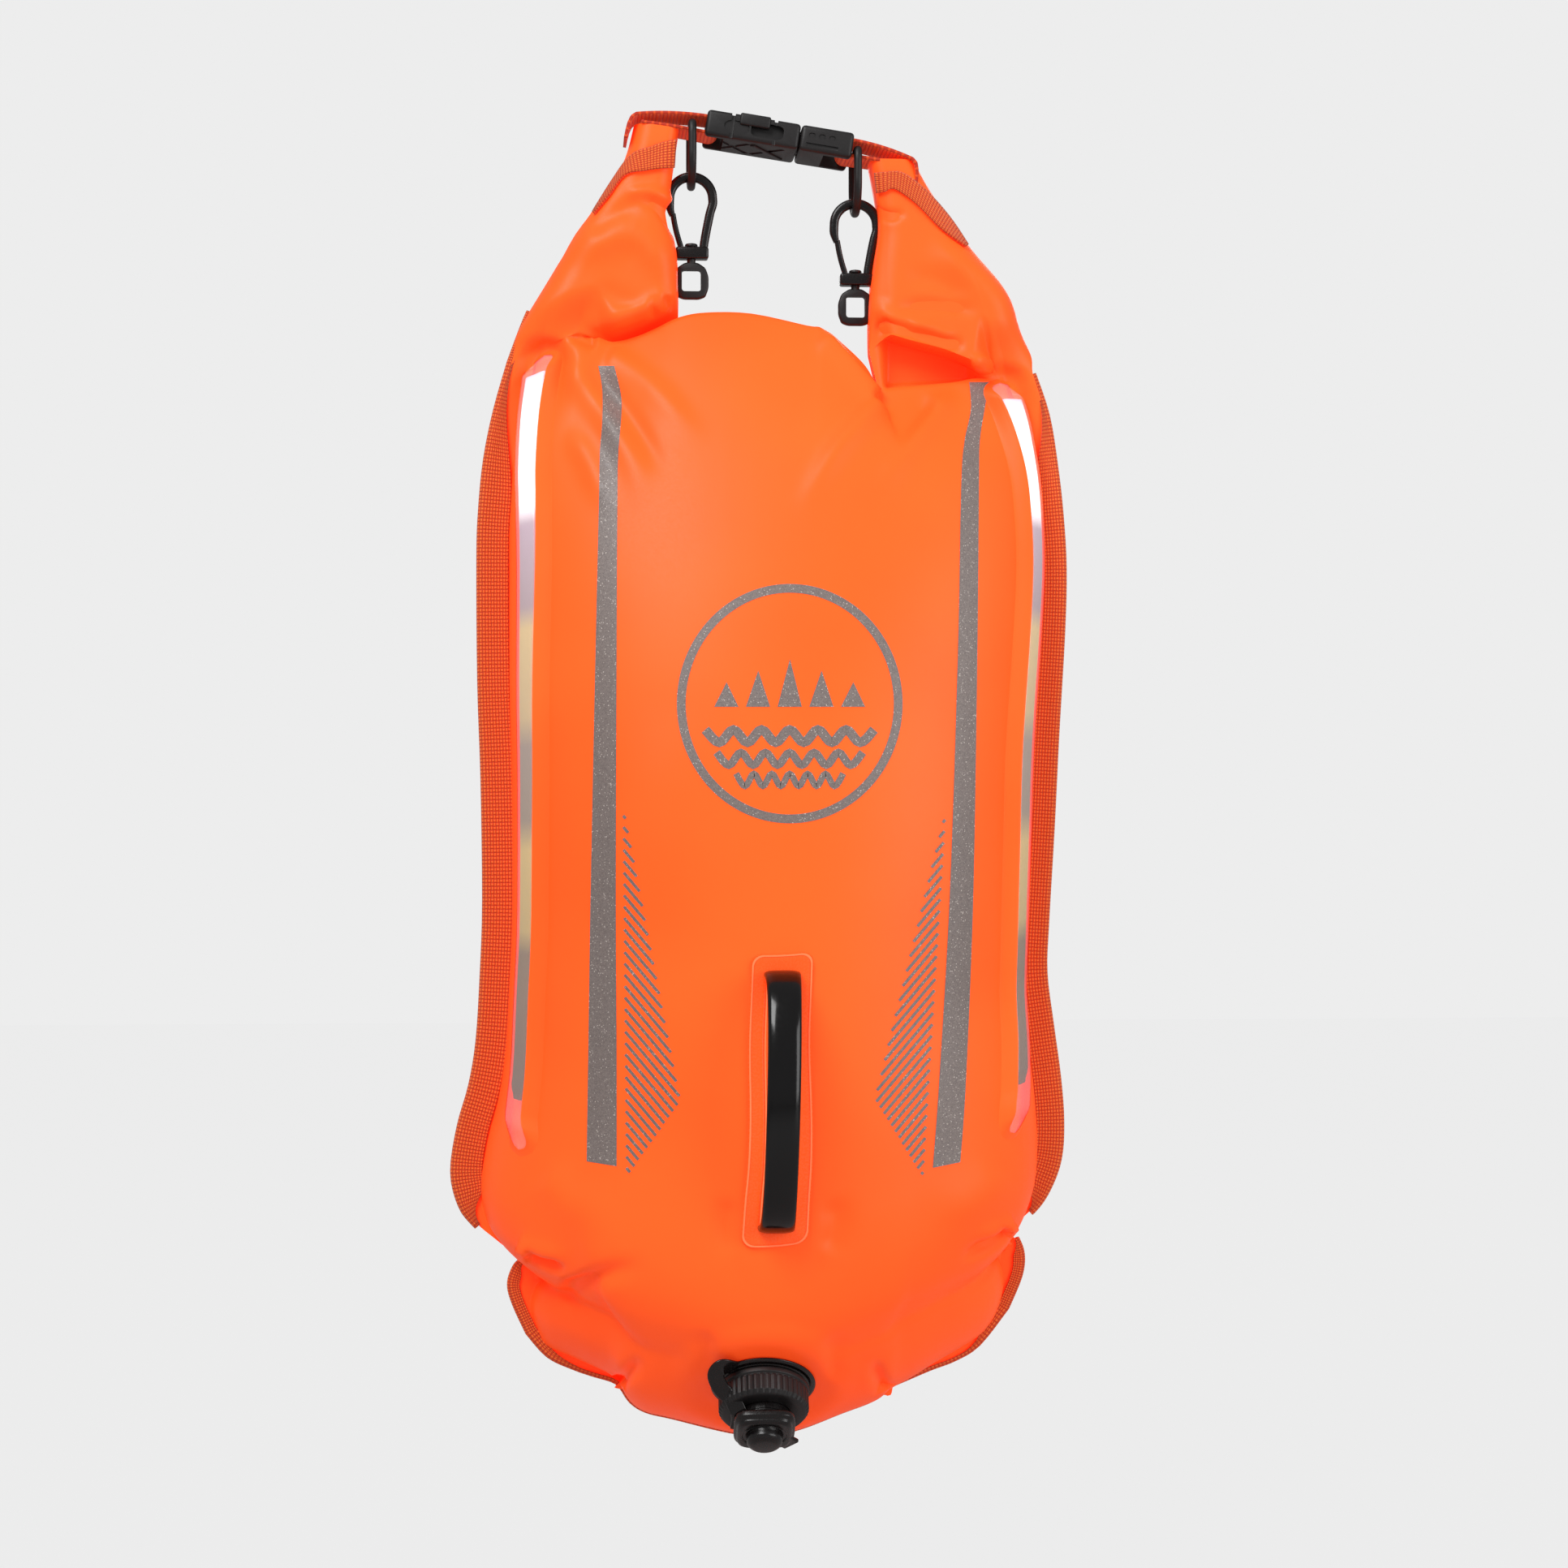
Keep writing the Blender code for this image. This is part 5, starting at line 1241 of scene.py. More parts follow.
@dataclass
class Skins:
    """The bag's two coated skins, the layers of its rolled ends and the rolled mouth between them."""

    shape: BagShape = BAG
    rows: int = 300
    side_columns: Pixel = (72, 72)
    middle_columns: int = 96
    horn_rows: int = 110
    wall: float = 0.001
    half_roll: float = 0.019
    half_tip: float = 0.0125
    edge_reach: float = 0.020
    blend_start: tuple[float, float, float] = (0.095, 0.0, -0.095)
    blend_end: tuple[float, float, float] = (0.1175, 0.0, -0.056)
    left_outer: Line = Line(((632, 450), (655, 390), (682, 340), (710, 295), (739, 250), (768, 204),
                             (781, 159)))
    left_inner: Line = Line(((836, 396), (835, 370), (832, 335), (828, 300), (823, 262), (828, 222),
                             (836, 166)))
    right_outer: Line = Line(((1273, 459), (1254, 396), (1237, 358), (1206, 318), (1174, 274), (1146, 234),
                              (1127, 200)))
    right_inner: Line = Line(((1080, 483), (1071, 450), (1069, 418), (1070, 372), (1075, 330), (1081, 288),
                              (1079, 250), (1070, 200)))
    pocket_rows: float = 0.20
    pocket_lip: Line = Line(((1229, 465), (1226, 459), (1204, 450), (1164, 437), (1134, 429), (1108, 422),
                             (1090, 417), (1080, 416)))
    pocket_floor: float = -0.0045
    tuck: float = 0.0080
    tuck_drop: float = 0.0205
    straight_rows: float = 0.66
    round_rows: float = 0.30
    joint_heights: Pixel = (-0.118, -0.058)
    joint_edges: Pixel = (-0.098, 0.110)
    room_edges: Pixel = (-0.0637, 0.0623)
    room_front: float = -0.0104
    room_back: float = 0.04
    mouth_reach: float = 0.984
    mouth_drop: float = 0.0122
    mouth_half: float = 0.0116
    mouth_front: float = 0.0087
    mouth_corner: float = 0.45
    mouth_ridge: float = 0.0006
    strip_reach: float = 0.90
    strip_half: float = 0.0062
    strip_thick: float = 0.0007
    liner_width: float = 0.8
    liner_length: float = 0.9
    liner_drop: float = 0.0257
    liner_wall: float = 0.0006
    tree: BVHTree | None = None

    def stretch(self, a: np.ndarray) -> np.ndarray:
        """Shares of the top line for the columns, which meet the crest's ends."""
        left, right = self.shape.top_shares
        total = self.side_columns[0] + self.middle_columns + self.side_columns[1]
        first = self.side_columns[0] / total
        last = 1 - self.side_columns[1] / total
        return np.interp(a, (0, first, last, 1), (0, left, right, 1))

    def body_shares(self, a: np.ndarray, b: np.ndarray) -> tuple[np.ndarray, np.ndarray]:
        """Shares across and down for a grid, whose rows crowd towards the rounded bottom."""
        start = self.shape.end_start_share
        end = self.shape.end_share
        straight, rounded = self.straight_rows, self.straight_rows + self.round_rows
        down = np.where(b < straight, start * b / straight, 0)
        turn = np.clip((b - straight) / self.round_rows, 0, 1) * math.pi / 2
        down = np.where(b >= straight, start + (end - start) * np.sin(turn), down)
        down = np.where(b > rounded, end + (1 - end) * (b - rounded) / (1 - rounded), down)
        u = self.stretch(a)
        limit = 1 - self.shape.margin
        across = u * 2 - 1
        bowed = limit * np.sin(np.clip(across / limit, -1, 1) * math.pi / 2)
        share = smooth_step(0.0, 0.25, down)
        return np.where(np.abs(across) < limit, across * (1 - share) + bowed * share, across), down

    def body_place(self, a: np.ndarray, b: np.ndarray) -> np.ndarray:
        """The front skin under the crest."""
        return self.shape.skin(*self.body_shares(a, b))

    def lip(self, side: Side, feet: np.ndarray, a: np.ndarray, start: float) -> np.ndarray:
        """Where the fold over a rolled end's foot lies, in pixels.

        Args:
            side: the rolled end.
            feet: the crest's pixels below it.
            a: shares from the outer edge to the inner.
            start: the share of the inner edge at which the fold meets it.

        Returns:
            The fold's pixels, one a row.
        """
        if side is Side.LEFT:
            return feet
        line = self.pocket_lip.curve()[::-1]
        over = np.interp(feet[:, 0], line[:, 0], line[:, 1])
        over = np.where(feet[:, 0] > 1229, feet[:, 1], np.minimum(over, feet[:, 1]))
        made = np.stack([feet[:, 0], over], axis=-1)
        share = smooth_step(0.93, 1.0, a)[:, None]
        return made * (1 - share) + self.right_inner.at(np.array([start])) * share

    def horn_place(self, side: Side, layer: Layer = Layer.SKIN) -> Place:
        """A layer of a rolled end, which starts on the top line's own points and folds over them."""
        outer, inner = ((self.left_outer, self.left_inner) if side is Side.LEFT
                        else (self.right_outer, self.right_inner))
        low, high = self.shape.top_shares
        span = (0.0, low) if side is Side.LEFT else (1.0, high)
        first = 0.0 if side is Side.LEFT else 0.16
        rise = 0.13 if side is Side.LEFT else 0.04

        def place(a: np.ndarray, b: np.ndarray) -> np.ndarray:
            u = span[0] + (span[1] - span[0]) * a
            foot = self.shape.skin(u * 2 - 1, np.zeros_like(u))
            feet = self.shape.top_line.at(u)
            lip = self.lip(side, feet, a, first)
            early = np.clip(b / self.pocket_rows, 0, 1)
            late = np.clip((b - self.pocket_rows) / (1 - self.pocket_rows), 0, 1)
            start, end = outer.at(late), inner.at(first + (1 - first) * late)
            straight = outer.at(late * 0) * (1 - a[:, None]) + inner.at(late * 0 + first) * a[:, None]
            moved = (lip - straight) * ((1 - late) ** 2)[:, None]
            pixels = start * (1 - a[:, None]) + end * a[:, None] + moved
            reached = np.clip(early / 0.72, 0, 1)[:, None]
            pixels = np.where(early[:, None] < 1, feet + (lip - feet) * reached, pixels)
            flat = VIEW.seam_point(pixels)
            width = np.linalg.norm(VIEW.seam_point(end) - VIEW.seam_point(start), axis=1)
            b = late
            half = self.half_roll + (self.half_tip - self.half_roll) * b
            reach = np.minimum(self.edge_reach, width * 0.45)
            near = np.minimum(a * width / reach, 1)
            far = np.minimum((1 - a) * width / (reach * 0.6), 1)
            outer_full = np.sqrt(1 - (1 - near) ** 2.4)
            inner_full = 0.45 + 0.55 * np.sqrt(1 - (1 - far) ** 2.2)
            bulk = self.shape.seam_half + (half - self.shape.seam_half) * outer_full * inner_full
            sunk = (smooth_step(0.42, 0.60, a) if side is Side.LEFT
                    else smooth_step(0.26, 0.42, a) * (1 - smooth_step(0.925, 0.965, a)))
            if layer is Layer.BACK:
                sunk = sunk * 0
            proud = -bulk if side is Side.RIGHT else np.full_like(a, -self.pocket_floor)
            begin = foot[:, 1] * (1 - sunk) + proud * sunk
            share = smooth_step(0.0, 1.0, late / (0.24 * (1 - sunk) + rise * sunk))
            y = begin * (1 - share) - bulk * share
            edge = foot[:, 1] if layer is Layer.SKIN else np.full_like(a, -self.pocket_floor)
            inside = np.interp(early, (0.0, 0.10, 0.72, 1.0), (0.0, 1.0, 1.0, 1.0))
            out = smooth_step(0.74, 1.0, early)
            deep = edge * (1 - inside) - self.pocket_floor * inside
            deep = deep * (1 - out) + begin * out
            plain = foot[:, 1] * (1 - early) + begin * early
            y = np.where(early < 1, plain * (1 - sunk) + deep * sunk, y)
            return np.stack([flat[:, 0], y, flat[:, 1]], axis=-1)

        return place

    def quiet(self, points: np.ndarray) -> np.ndarray:
        """Where the skin lies flat under welded pieces: 0 there and 1 elsewhere."""
        still = np.ones(len(points))
        downs = np.linspace(0.015, 0.76, 60)
        for side in Side:
            line = self.shape.skin(light_across(side, downs), downs)[:, [0, 2]]
            away = np.linalg.norm(points[:, None, [0, 2]] - line[None], axis=2).min(axis=1)
            still *= smooth_step(0.008, 0.018, away)
        downs = np.linspace(0.54, 0.79, 30)
        line = self.shape.skin(np.zeros_like(downs), downs)[:, [0, 2]]
        away = np.linalg.norm(points[:, None, [0, 2]] - line[None], axis=2).min(axis=1)
        still *= smooth_step(0.015, 0.024, away)
        seat = np.array(self.shape.valve_frame().translation)
        still *= smooth_step(0.026, 0.036, np.linalg.norm(points - seat, axis=1))
        return still

    def fold(self, bm: bmesh.types.BMesh, features: Sequence[Feature]) -> None:
        """Moves the skin in and out by its folds."""
        bm.normal_update()
        bm.verts.ensure_lookup_table()
        points = np.array([vert.co for vert in bm.verts])
        normals = np.array([vert.normal for vert in bm.verts])
        normals *= np.where(normals[:, 1:2] > 0, -1, 1)
        seen = VIEW.pixels(points)
        lift = sum(row.lift(seen) for row in features)
        moved = points + normals * (lift * self.quiet(points))[:, None]
        for vert, co in zip(bm.verts, moved):
            vert.co = co

    def seat(self, bm: bmesh.types.BMesh) -> None:
        """Flattens the skin under the valve's flange."""
        frame = self.shape.valve_frame()
        axis, centre = Vector(frame.col[2][:3]), frame.translation
        for vert in bm.verts:
            away = vert.co - centre
            height = away.dot(axis)
            radius = (away - axis * height).length
            if radius < self.shape.valve_blend and abs(height) < 0.03:
                share = 1 - float(smooth_step(self.shape.valve_seat, self.shape.valve_blend,
                                              np.array(radius)))
                vert.co -= axis * height * share

    def build_front(self, finish: bpy.types.Material) -> bpy.types.Object:
        """Makes the front skin and the front layers of both rolled ends in one sheet."""
        columns = self.side_columns[0] + self.middle_columns + self.side_columns[1]
        bm = bent_grid(columns, self.rows, self.body_place, (0.286, 0.55))
        for side in Side:
            count = self.side_columns[0 if side is Side.LEFT else 1]
            add_mesh(bm, bent_grid(count, self.horn_rows, self.horn_place(side), (0.1, 0.12)))
        bmesh.ops.remove_doubles(bm, verts=bm.verts, dist=MERGE)
        bmesh.ops.recalc_face_normals(bm, faces=bm.faces)
        turn_faces(bm, (0, -1, 0))
        for _ in range(3):
            near = [vert for vert in bm.verts if not vert.is_boundary and self.near_top(vert.co)]
            bmesh.ops.smooth_vert(bm, verts=near, factor=0.5, use_axis_x=False, use_axis_y=True,
                                  use_axis_z=False)
        self.seat(bm)
        self.fold(bm, FRONT_FEATURES + HORN_FEATURES)
        self.tree = BVHTree.FromBMesh(bm)
        turn_rim(bm, self.wall)
        return publish(bm, "front_skin", finish, 75)

    def near_top(self, point: Vector) -> bool:
        """Whether a point lies where the rolled ends meet the body."""
        low, high = self.joint_heights
        left, right = self.joint_edges
        return low < point.z < high and (point.x < left or point.x > right)

    def back_place(self, a: np.ndarray, b: np.ndarray) -> np.ndarray:
        """The back skin, which starts under the rolled mouth."""
        across, down = self.body_shares(a, b)
        limit = self.tuck_drop / self.shape.length
        made = self.shape.skin(across, limit + (1 - limit) * down, Face.BACK)
        tucked = smooth_step(0.0, 0.07, down)
        made[:, 1] = made[:, 1] * tucked + np.minimum(made[:, 1], self.tuck) * (1 - tucked)
        return made

    def build_back(self, finish: bpy.types.Material) -> bpy.types.Object:
        """Makes the back skin, with two long soft folds down from the mouth."""
        columns = self.side_columns[0] + self.middle_columns + self.side_columns[1]
        bm = bent_grid(columns // 2, self.rows // 2, self.back_place, (0.286, 0.52))
        turn_faces(bm, (0, 1, 0))
        bm.normal_update()
        normals = [vert.normal.copy() for vert in bm.verts]
        points = np.array([vert.co for vert in bm.verts])
        seen = VIEW.pixels(points)
        lift = sum(row.lift(seen) for row in (
            Crease(((760, 470), (800, 560), (850, 700)), 0.003, 24, 24, (0.2, 0.5)),
            Crease(((1130, 500), (1090, 600), (1050, 720)), 0.003, 24, 24, (0.2, 0.5)),
            Crease(((930, 460), (940, 560), (960, 680)), -0.002, 30, 30, (0.2, 0.5)),
            Crease(((650, 1560), (720, 1580), (800, 1590)), -0.004, 16, 16, (0.1, 0.6)),
            Crease(((1240, 1540), (1180, 1560), (1100, 1580)), -0.004, 16, 16, (0.1, 0.6))))
        for vert, normal, height in zip(bm.verts, normals, lift):
            if not vert.is_boundary:
                vert.co += normal * float(height)
        turn_rim(bm, -self.wall)
        return publish(bm, "back_skin", finish, 75)

    def build_core(self, side: Side, finish: bpy.types.Material) -> bpy.types.Object:
        """Makes the rolled layers behind a front layer, with the room that the hook hangs in."""
        front, behind = self.horn_place(side, Layer.INNER), self.horn_place(side, Layer.BACK)
        turns = 3.0

        def place(a: np.ndarray, b: np.ndarray) -> np.ndarray:
            turn = a * 2
            before = turn <= 1
            share = np.where(before, turn, 2 - turn)
            up = 0.03 + 0.97 * b
            rows = front(share, up)
            layer = 0.0009 * np.abs(np.sin(share * math.pi * turns)) * smooth_step(0.1, 0.3, b)
            depth = np.where(before, rows[:, 1] + self.wall * 1.4,
                             -behind(share, up)[:, 1] - self.wall * 0.5 + layer)
            depth = np.where((share < 0.001) | (share > 0.999), 0.0, depth)
            return np.stack([rows[:, 0], depth, rows[:, 2]], axis=-1)

        bm = bent_grid(96, 72, place)
        close_rod(bm)
        made = publish(bm, "rolled_end_" + side.word, finish, 60)
        low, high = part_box("roll_end_" + side.word)
        if side is Side.LEFT:
            edges, top = (self.room_edges[0], high[0] + 0.01), -0.002
        else:
            edges, top = (low[0] - 0.01, self.room_edges[1]), -0.012
        room = block((edges[0], self.room_front, low[2] - 0.02), (edges[1], self.room_back, top), None, 0.003)
        carve(made, [room], sharp=50)
        return made

    def build_mouth(self, finish: bpy.types.Material) -> bpy.types.Object:
        """Makes the rolled mouth behind the crest, as turned layers."""
        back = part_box("mouth_roll")[1][1]
        reach = self.mouth_reach * (1 - self.shape.margin)

        def place(a: np.ndarray, b: np.ndarray) -> np.ndarray:
            across = (b * 2 - 1) * reach
            flat = self.shape.flat(across, np.zeros_like(across))
            crown = np.sqrt(1 - (b * 2 - 1) ** 2 * 0.89)
            round_z, round_y = (squared(wave, self.mouth_corner) for wave in round_of(a))
            y = np.where(round_y < 0, round_y * self.mouth_front * crown, round_y * back)
            z = flat[:, 1] - self.mouth_drop + round_z * self.mouth_half
            y += self.mouth_ridge * (np.sin(8 * 2 * math.pi * a) - 1) * (round_y > 0)
            return np.stack([flat[:, 0], y, z], axis=-1)

        bm = bent_grid(48, 120, place)
        close_rod(bm)
        return publish(bm, "rolled_mouth", finish, 60)

    def build_strip(self, finish: bpy.types.Material) -> bpy.types.Object:
        """Makes the stiffening strip inside the rolled mouth."""
        reach = self.strip_reach * (1 - self.shape.margin)

        def place(a: np.ndarray, b: np.ndarray) -> np.ndarray:
            across = (b * 2 - 1) * reach
            flat = self.shape.flat(across, np.zeros_like(across))
            cos, sin = round_of(a)
            z = flat[:, 1] - self.mouth_drop + squared(cos, 0.4) * self.strip_half
            return np.stack([flat[:, 0], squared(sin, 0.4) * self.strip_thick, z], axis=-1)

        bm = bent_grid(20, 100, place)
        close_rod(bm)
        return publish(bm, "stiffening_strip", finish, 50)

    def build_liner(self, finish: bpy.types.Material) -> bpy.types.Object:
        """Makes the inner dry compartment."""

        def place(a: np.ndarray, b: np.ndarray) -> np.ndarray:
            cos, sin = round_of(a)
            down = self.liner_length * b
            flat = self.shape.flat(-self.liner_width * cos, down)
            y = -self.liner_width * self.shape.depth(np.zeros_like(down), down) * sin
            return np.stack([flat[:, 0], y, flat[:, 1] - self.liner_drop * (1 - b)], axis=-1)

        bm = bent_grid(60, 50, place)
        bmesh.ops.remove_doubles(bm, verts=bm.verts, dist=MERGE)
        lowest = [edge for edge in open_edges(bm) if edge.verts[0].co.z < -0.35]
        bmesh.ops.holes_fill(bm, edges=lowest, sides=0)
        bmesh.ops.recalc_face_normals(bm, faces=bm.faces)
        return thicken(publish(bm, "inner_compartment", finish), self.liner_wall)

    def build(self, finish: dict[str, bpy.types.Material]) -> None:
        """Builds the skins and everything rolled or hung between them."""
        front = self.build_front(finish["fabric"])
        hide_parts("front_panel")
        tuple(self.blend_start)
        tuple(self.blend_end)
        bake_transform(front)
        dress(front, Slot.FABRIC)
        for made, node in ((self.build_back(finish["fabric"]), "back_panel"),
                           (self.build_mouth(finish["fabric"]), "mouth_roll"),
                           (self.build_strip(finish["strip"]), "mouth_stiffener"),
                           (self.build_liner(finish["liner"]), "dry_liner"),
                           (self.build_core(Side.LEFT, finish["fabric"]), "roll_end_left")):
            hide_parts(node)
            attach(made, "root")
            dress(made, Slot.FABRIC)
        core = self.build_core(Side.RIGHT, finish["fabric"])
        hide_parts("roll_end_right")
        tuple(self.blend_start)
        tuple(self.blend_end)
        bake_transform(core)
        dress(core, Slot.FABRIC)


def tape_sheet(name: str, path: np.ndarray, inward: np.ndarray, leg: Callable[[np.ndarray], np.ndarray],
               half: float, finish: bpy.types.Material, wall: float = 0.0014) -> bpy.types.Object:
    """A tape folded over an edge.

    Args:
        name: the piece's name.
        path: the edge's points, one a row.
        inward: a unit vector into the fabric at each point.
        leg: the width of each leg at shares of the length.
        half: half of the thickness that the tape closes over.
        finish: its material.
        wall: its thickness.

    Returns:
        The tape.
    """
    rows = len(path) - 1
    length = float(np.sum(np.linalg.norm(np.diff(path, axis=0), axis=1)))
    widest = float(np.max(leg(np.linspace(0, 1, 30))))
    fold = 0.0012

    def place(a: np.ndarray, b: np.ndarray) -> np.ndarray:
        index = np.round(b * rows).astype(int)
        width = leg(b)
        way = np.where(a < 0.5, -1.0, 1.0)
        share = np.abs(a - 0.5) * 2
        flat = np.clip((share - 0.2) / 0.8, 0, 1)
        turn = np.clip(share / 0.2, 0, 1) * math.pi / 2
        depth = -fold * np.cos(turn) + flat * width
        y = way * half * np.sin(turn)
        return path[index] + inward[index] * depth[:, None] + np.stack([y * 0, y, y * 0], axis=-1)

    bm = bent_grid(24, rows, place, (widest * 2 + 0.004, length))
    bm.normal_update()
    front = min(bm.faces, key=lambda face: face.calc_center_median().y)
    if front.normal.y > 0:
        bmesh.ops.reverse_faces(bm, faces=bm.faces)
    return thicken(publish(bm, name, finish, 60), wall, 1.0)


def inward_of(path: np.ndarray, towards: np.ndarray) -> np.ndarray:
    """Unit vectors square to a path in the bag's plane, on the side of a point."""
    ways = np.gradient(path, axis=0)
    sides = unit(np.stack([ways[:, 2], np.zeros(len(path)), -ways[:, 0]], axis=-1))
    turn = np.sign(np.sum(sides * (towards - path), axis=1))
    turn[turn == 0] = 1
    return sides * turn[:, None]


@dataclass
class Bindings:
    """The woven tapes along the bag's edges and round the tips of its rolled ends."""

    skins: Skins
    side_width: float = 0.0125
    bottom_width: float = 0.0042
    half: float = 0.0016
    side_rows: int = 260
    band_rows: int = 60
    band_lift: float = 0.0009

    def seam(self, pixels: np.ndarray) -> np.ndarray:
        """Points of the seam at pixels of the middle plane."""
        flat = VIEW.seam_point(pixels)
        return np.stack([flat[:, 0], np.zeros(len(flat)), flat[:, 1]], axis=-1)

    def build_sides(self, finish: bpy.types.Material) -> None:
        """Makes the tapes down both sides, narrow at the shoulders."""
        for side, line in ((Side.LEFT, BAG.left_line), (Side.RIGHT, BAG.right_line)):
            last = line.share_of(14 if side is Side.LEFT else 15) + 0.004
            pixels = line.at(np.linspace(0, last, self.side_rows + 1))
            if side is Side.LEFT:
                pixels = np.concatenate([self.skins.left_outer.at(np.linspace(0.20, 0, 25))[:-1], pixels])
            path = self.seam(pixels)
            inward = inward_of(path, path + np.array([-side.value, 0, 0]))
            begin = 0.0 if side is Side.RIGHT else 0.06

            def leg(share: np.ndarray, begin: float = begin) -> np.ndarray:
                grown = smooth_step(begin + 0.03, begin + 0.17, share)
                ended = 1 - smooth_step(0.955, 1.0, share)
                return 0.0004 + (self.side_width - 0.0004) * grown * ended + 0.0008 * np.minimum(share / 0.05,
                                                                                                 1)

            made = tape_sheet("side_tape_" + side.word, path, inward, leg, self.half, finish)
            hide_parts("side_webbing_" + side.word)
            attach(made, "root")
            dress(made, Slot.WEBBING)

    def build_bottom(self, finish: bpy.types.Material) -> None:
        """Makes the narrow tape round the bottom lobe."""
        left = BAG.left_line.at(np.linspace(BAG.left_line.share_of(17) + 0.002, 1, 40))
        right = BAG.right_line.at(np.linspace(1, BAG.right_line.share_of(17), 40))
        bottom = BAG.bottom_line.at(np.linspace(0, 1, 180))
        path = self.seam(np.concatenate([left[:-1], bottom, right[1:]]))
        inward = inward_of(path, np.array([0.0, 0.0, -0.46]))

        def leg(share: np.ndarray) -> np.ndarray:
            lobes = 1 - smooth_step(0.16, 0.24, share) * (1 - smooth_step(0.76, 0.84, share))
            ends = smooth_step(0.0, 0.04, share) * (1 - smooth_step(0.96, 1.0, share))
            return 0.0005 + (self.bottom_width - 0.0005) * lobes * ends

        made = tape_sheet("bottom_tape", path, inward, leg, self.half, finish, 0.0009)
        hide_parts("bottom_binding")
        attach(made, "root")
        dress(made, Slot.WEBBING)

    def build_bands(self, finish: bpy.types.Material) -> None:
        """Makes the webbing across the tips of the rolled ends, which runs out along their outer edges."""
        lines = {
            Side.LEFT: (Line(((830, 172), (804, 181), (781, 192), (757, 225), (733, 263))),
                        Line(((827, 207), (796, 211), (772, 217), (752, 243), (734, 265)))),
            Side.RIGHT: (Line(((1080, 213), (1090, 213), (1112, 214), (1138, 236), (1167, 270), (1190, 304))),
                         Line(((1083, 238), (1091, 237), (1102, 234), (1128, 252), (1159, 284),
                               (1188, 306)))),
        }
        for side, (upper, lower) in lines.items():
            shares = np.linspace(0, 1, self.band_rows + 1)
            tops, feet = upper.at(shares), lower.at(shares)
            columns = 8
            grid = np.array([lay_on(self.skins.tree, tops + (feet - tops) * column / columns, self.band_lift)
                             for column in range(columns + 1)])

            def place(a: np.ndarray, b: np.ndarray, grid: np.ndarray = grid) -> np.ndarray:
                return grid[np.round(a * columns).astype(int), np.round(b * self.band_rows).astype(int)]

            length = float(np.sum(np.linalg.norm(np.diff(grid[0], axis=0), axis=1)))
            bm = bent_grid(columns, self.band_rows, place, (0.013, length))
            turn_faces(bm, (0, -1, 0))
            made = thicken(publish(bm, "tip_band_" + side.word, finish, 60), 0.0013, 1.0)
            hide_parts("shoulder_webbing_" + side.word)
            if side is Side.LEFT:
                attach(made, "root")
            else:
                settle(made)
                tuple(self.skins.blend_start)
                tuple(self.skins.blend_end)
                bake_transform(made)
            dress(made, Slot.WEBBING)

    def build(self, finish: dict[str, bpy.types.Material]) -> None:
        """Builds the tapes."""
        self.build_sides(finish["webbing"])
        self.build_bottom(finish["webbing"])
        self.build_bands(finish["webbing"])


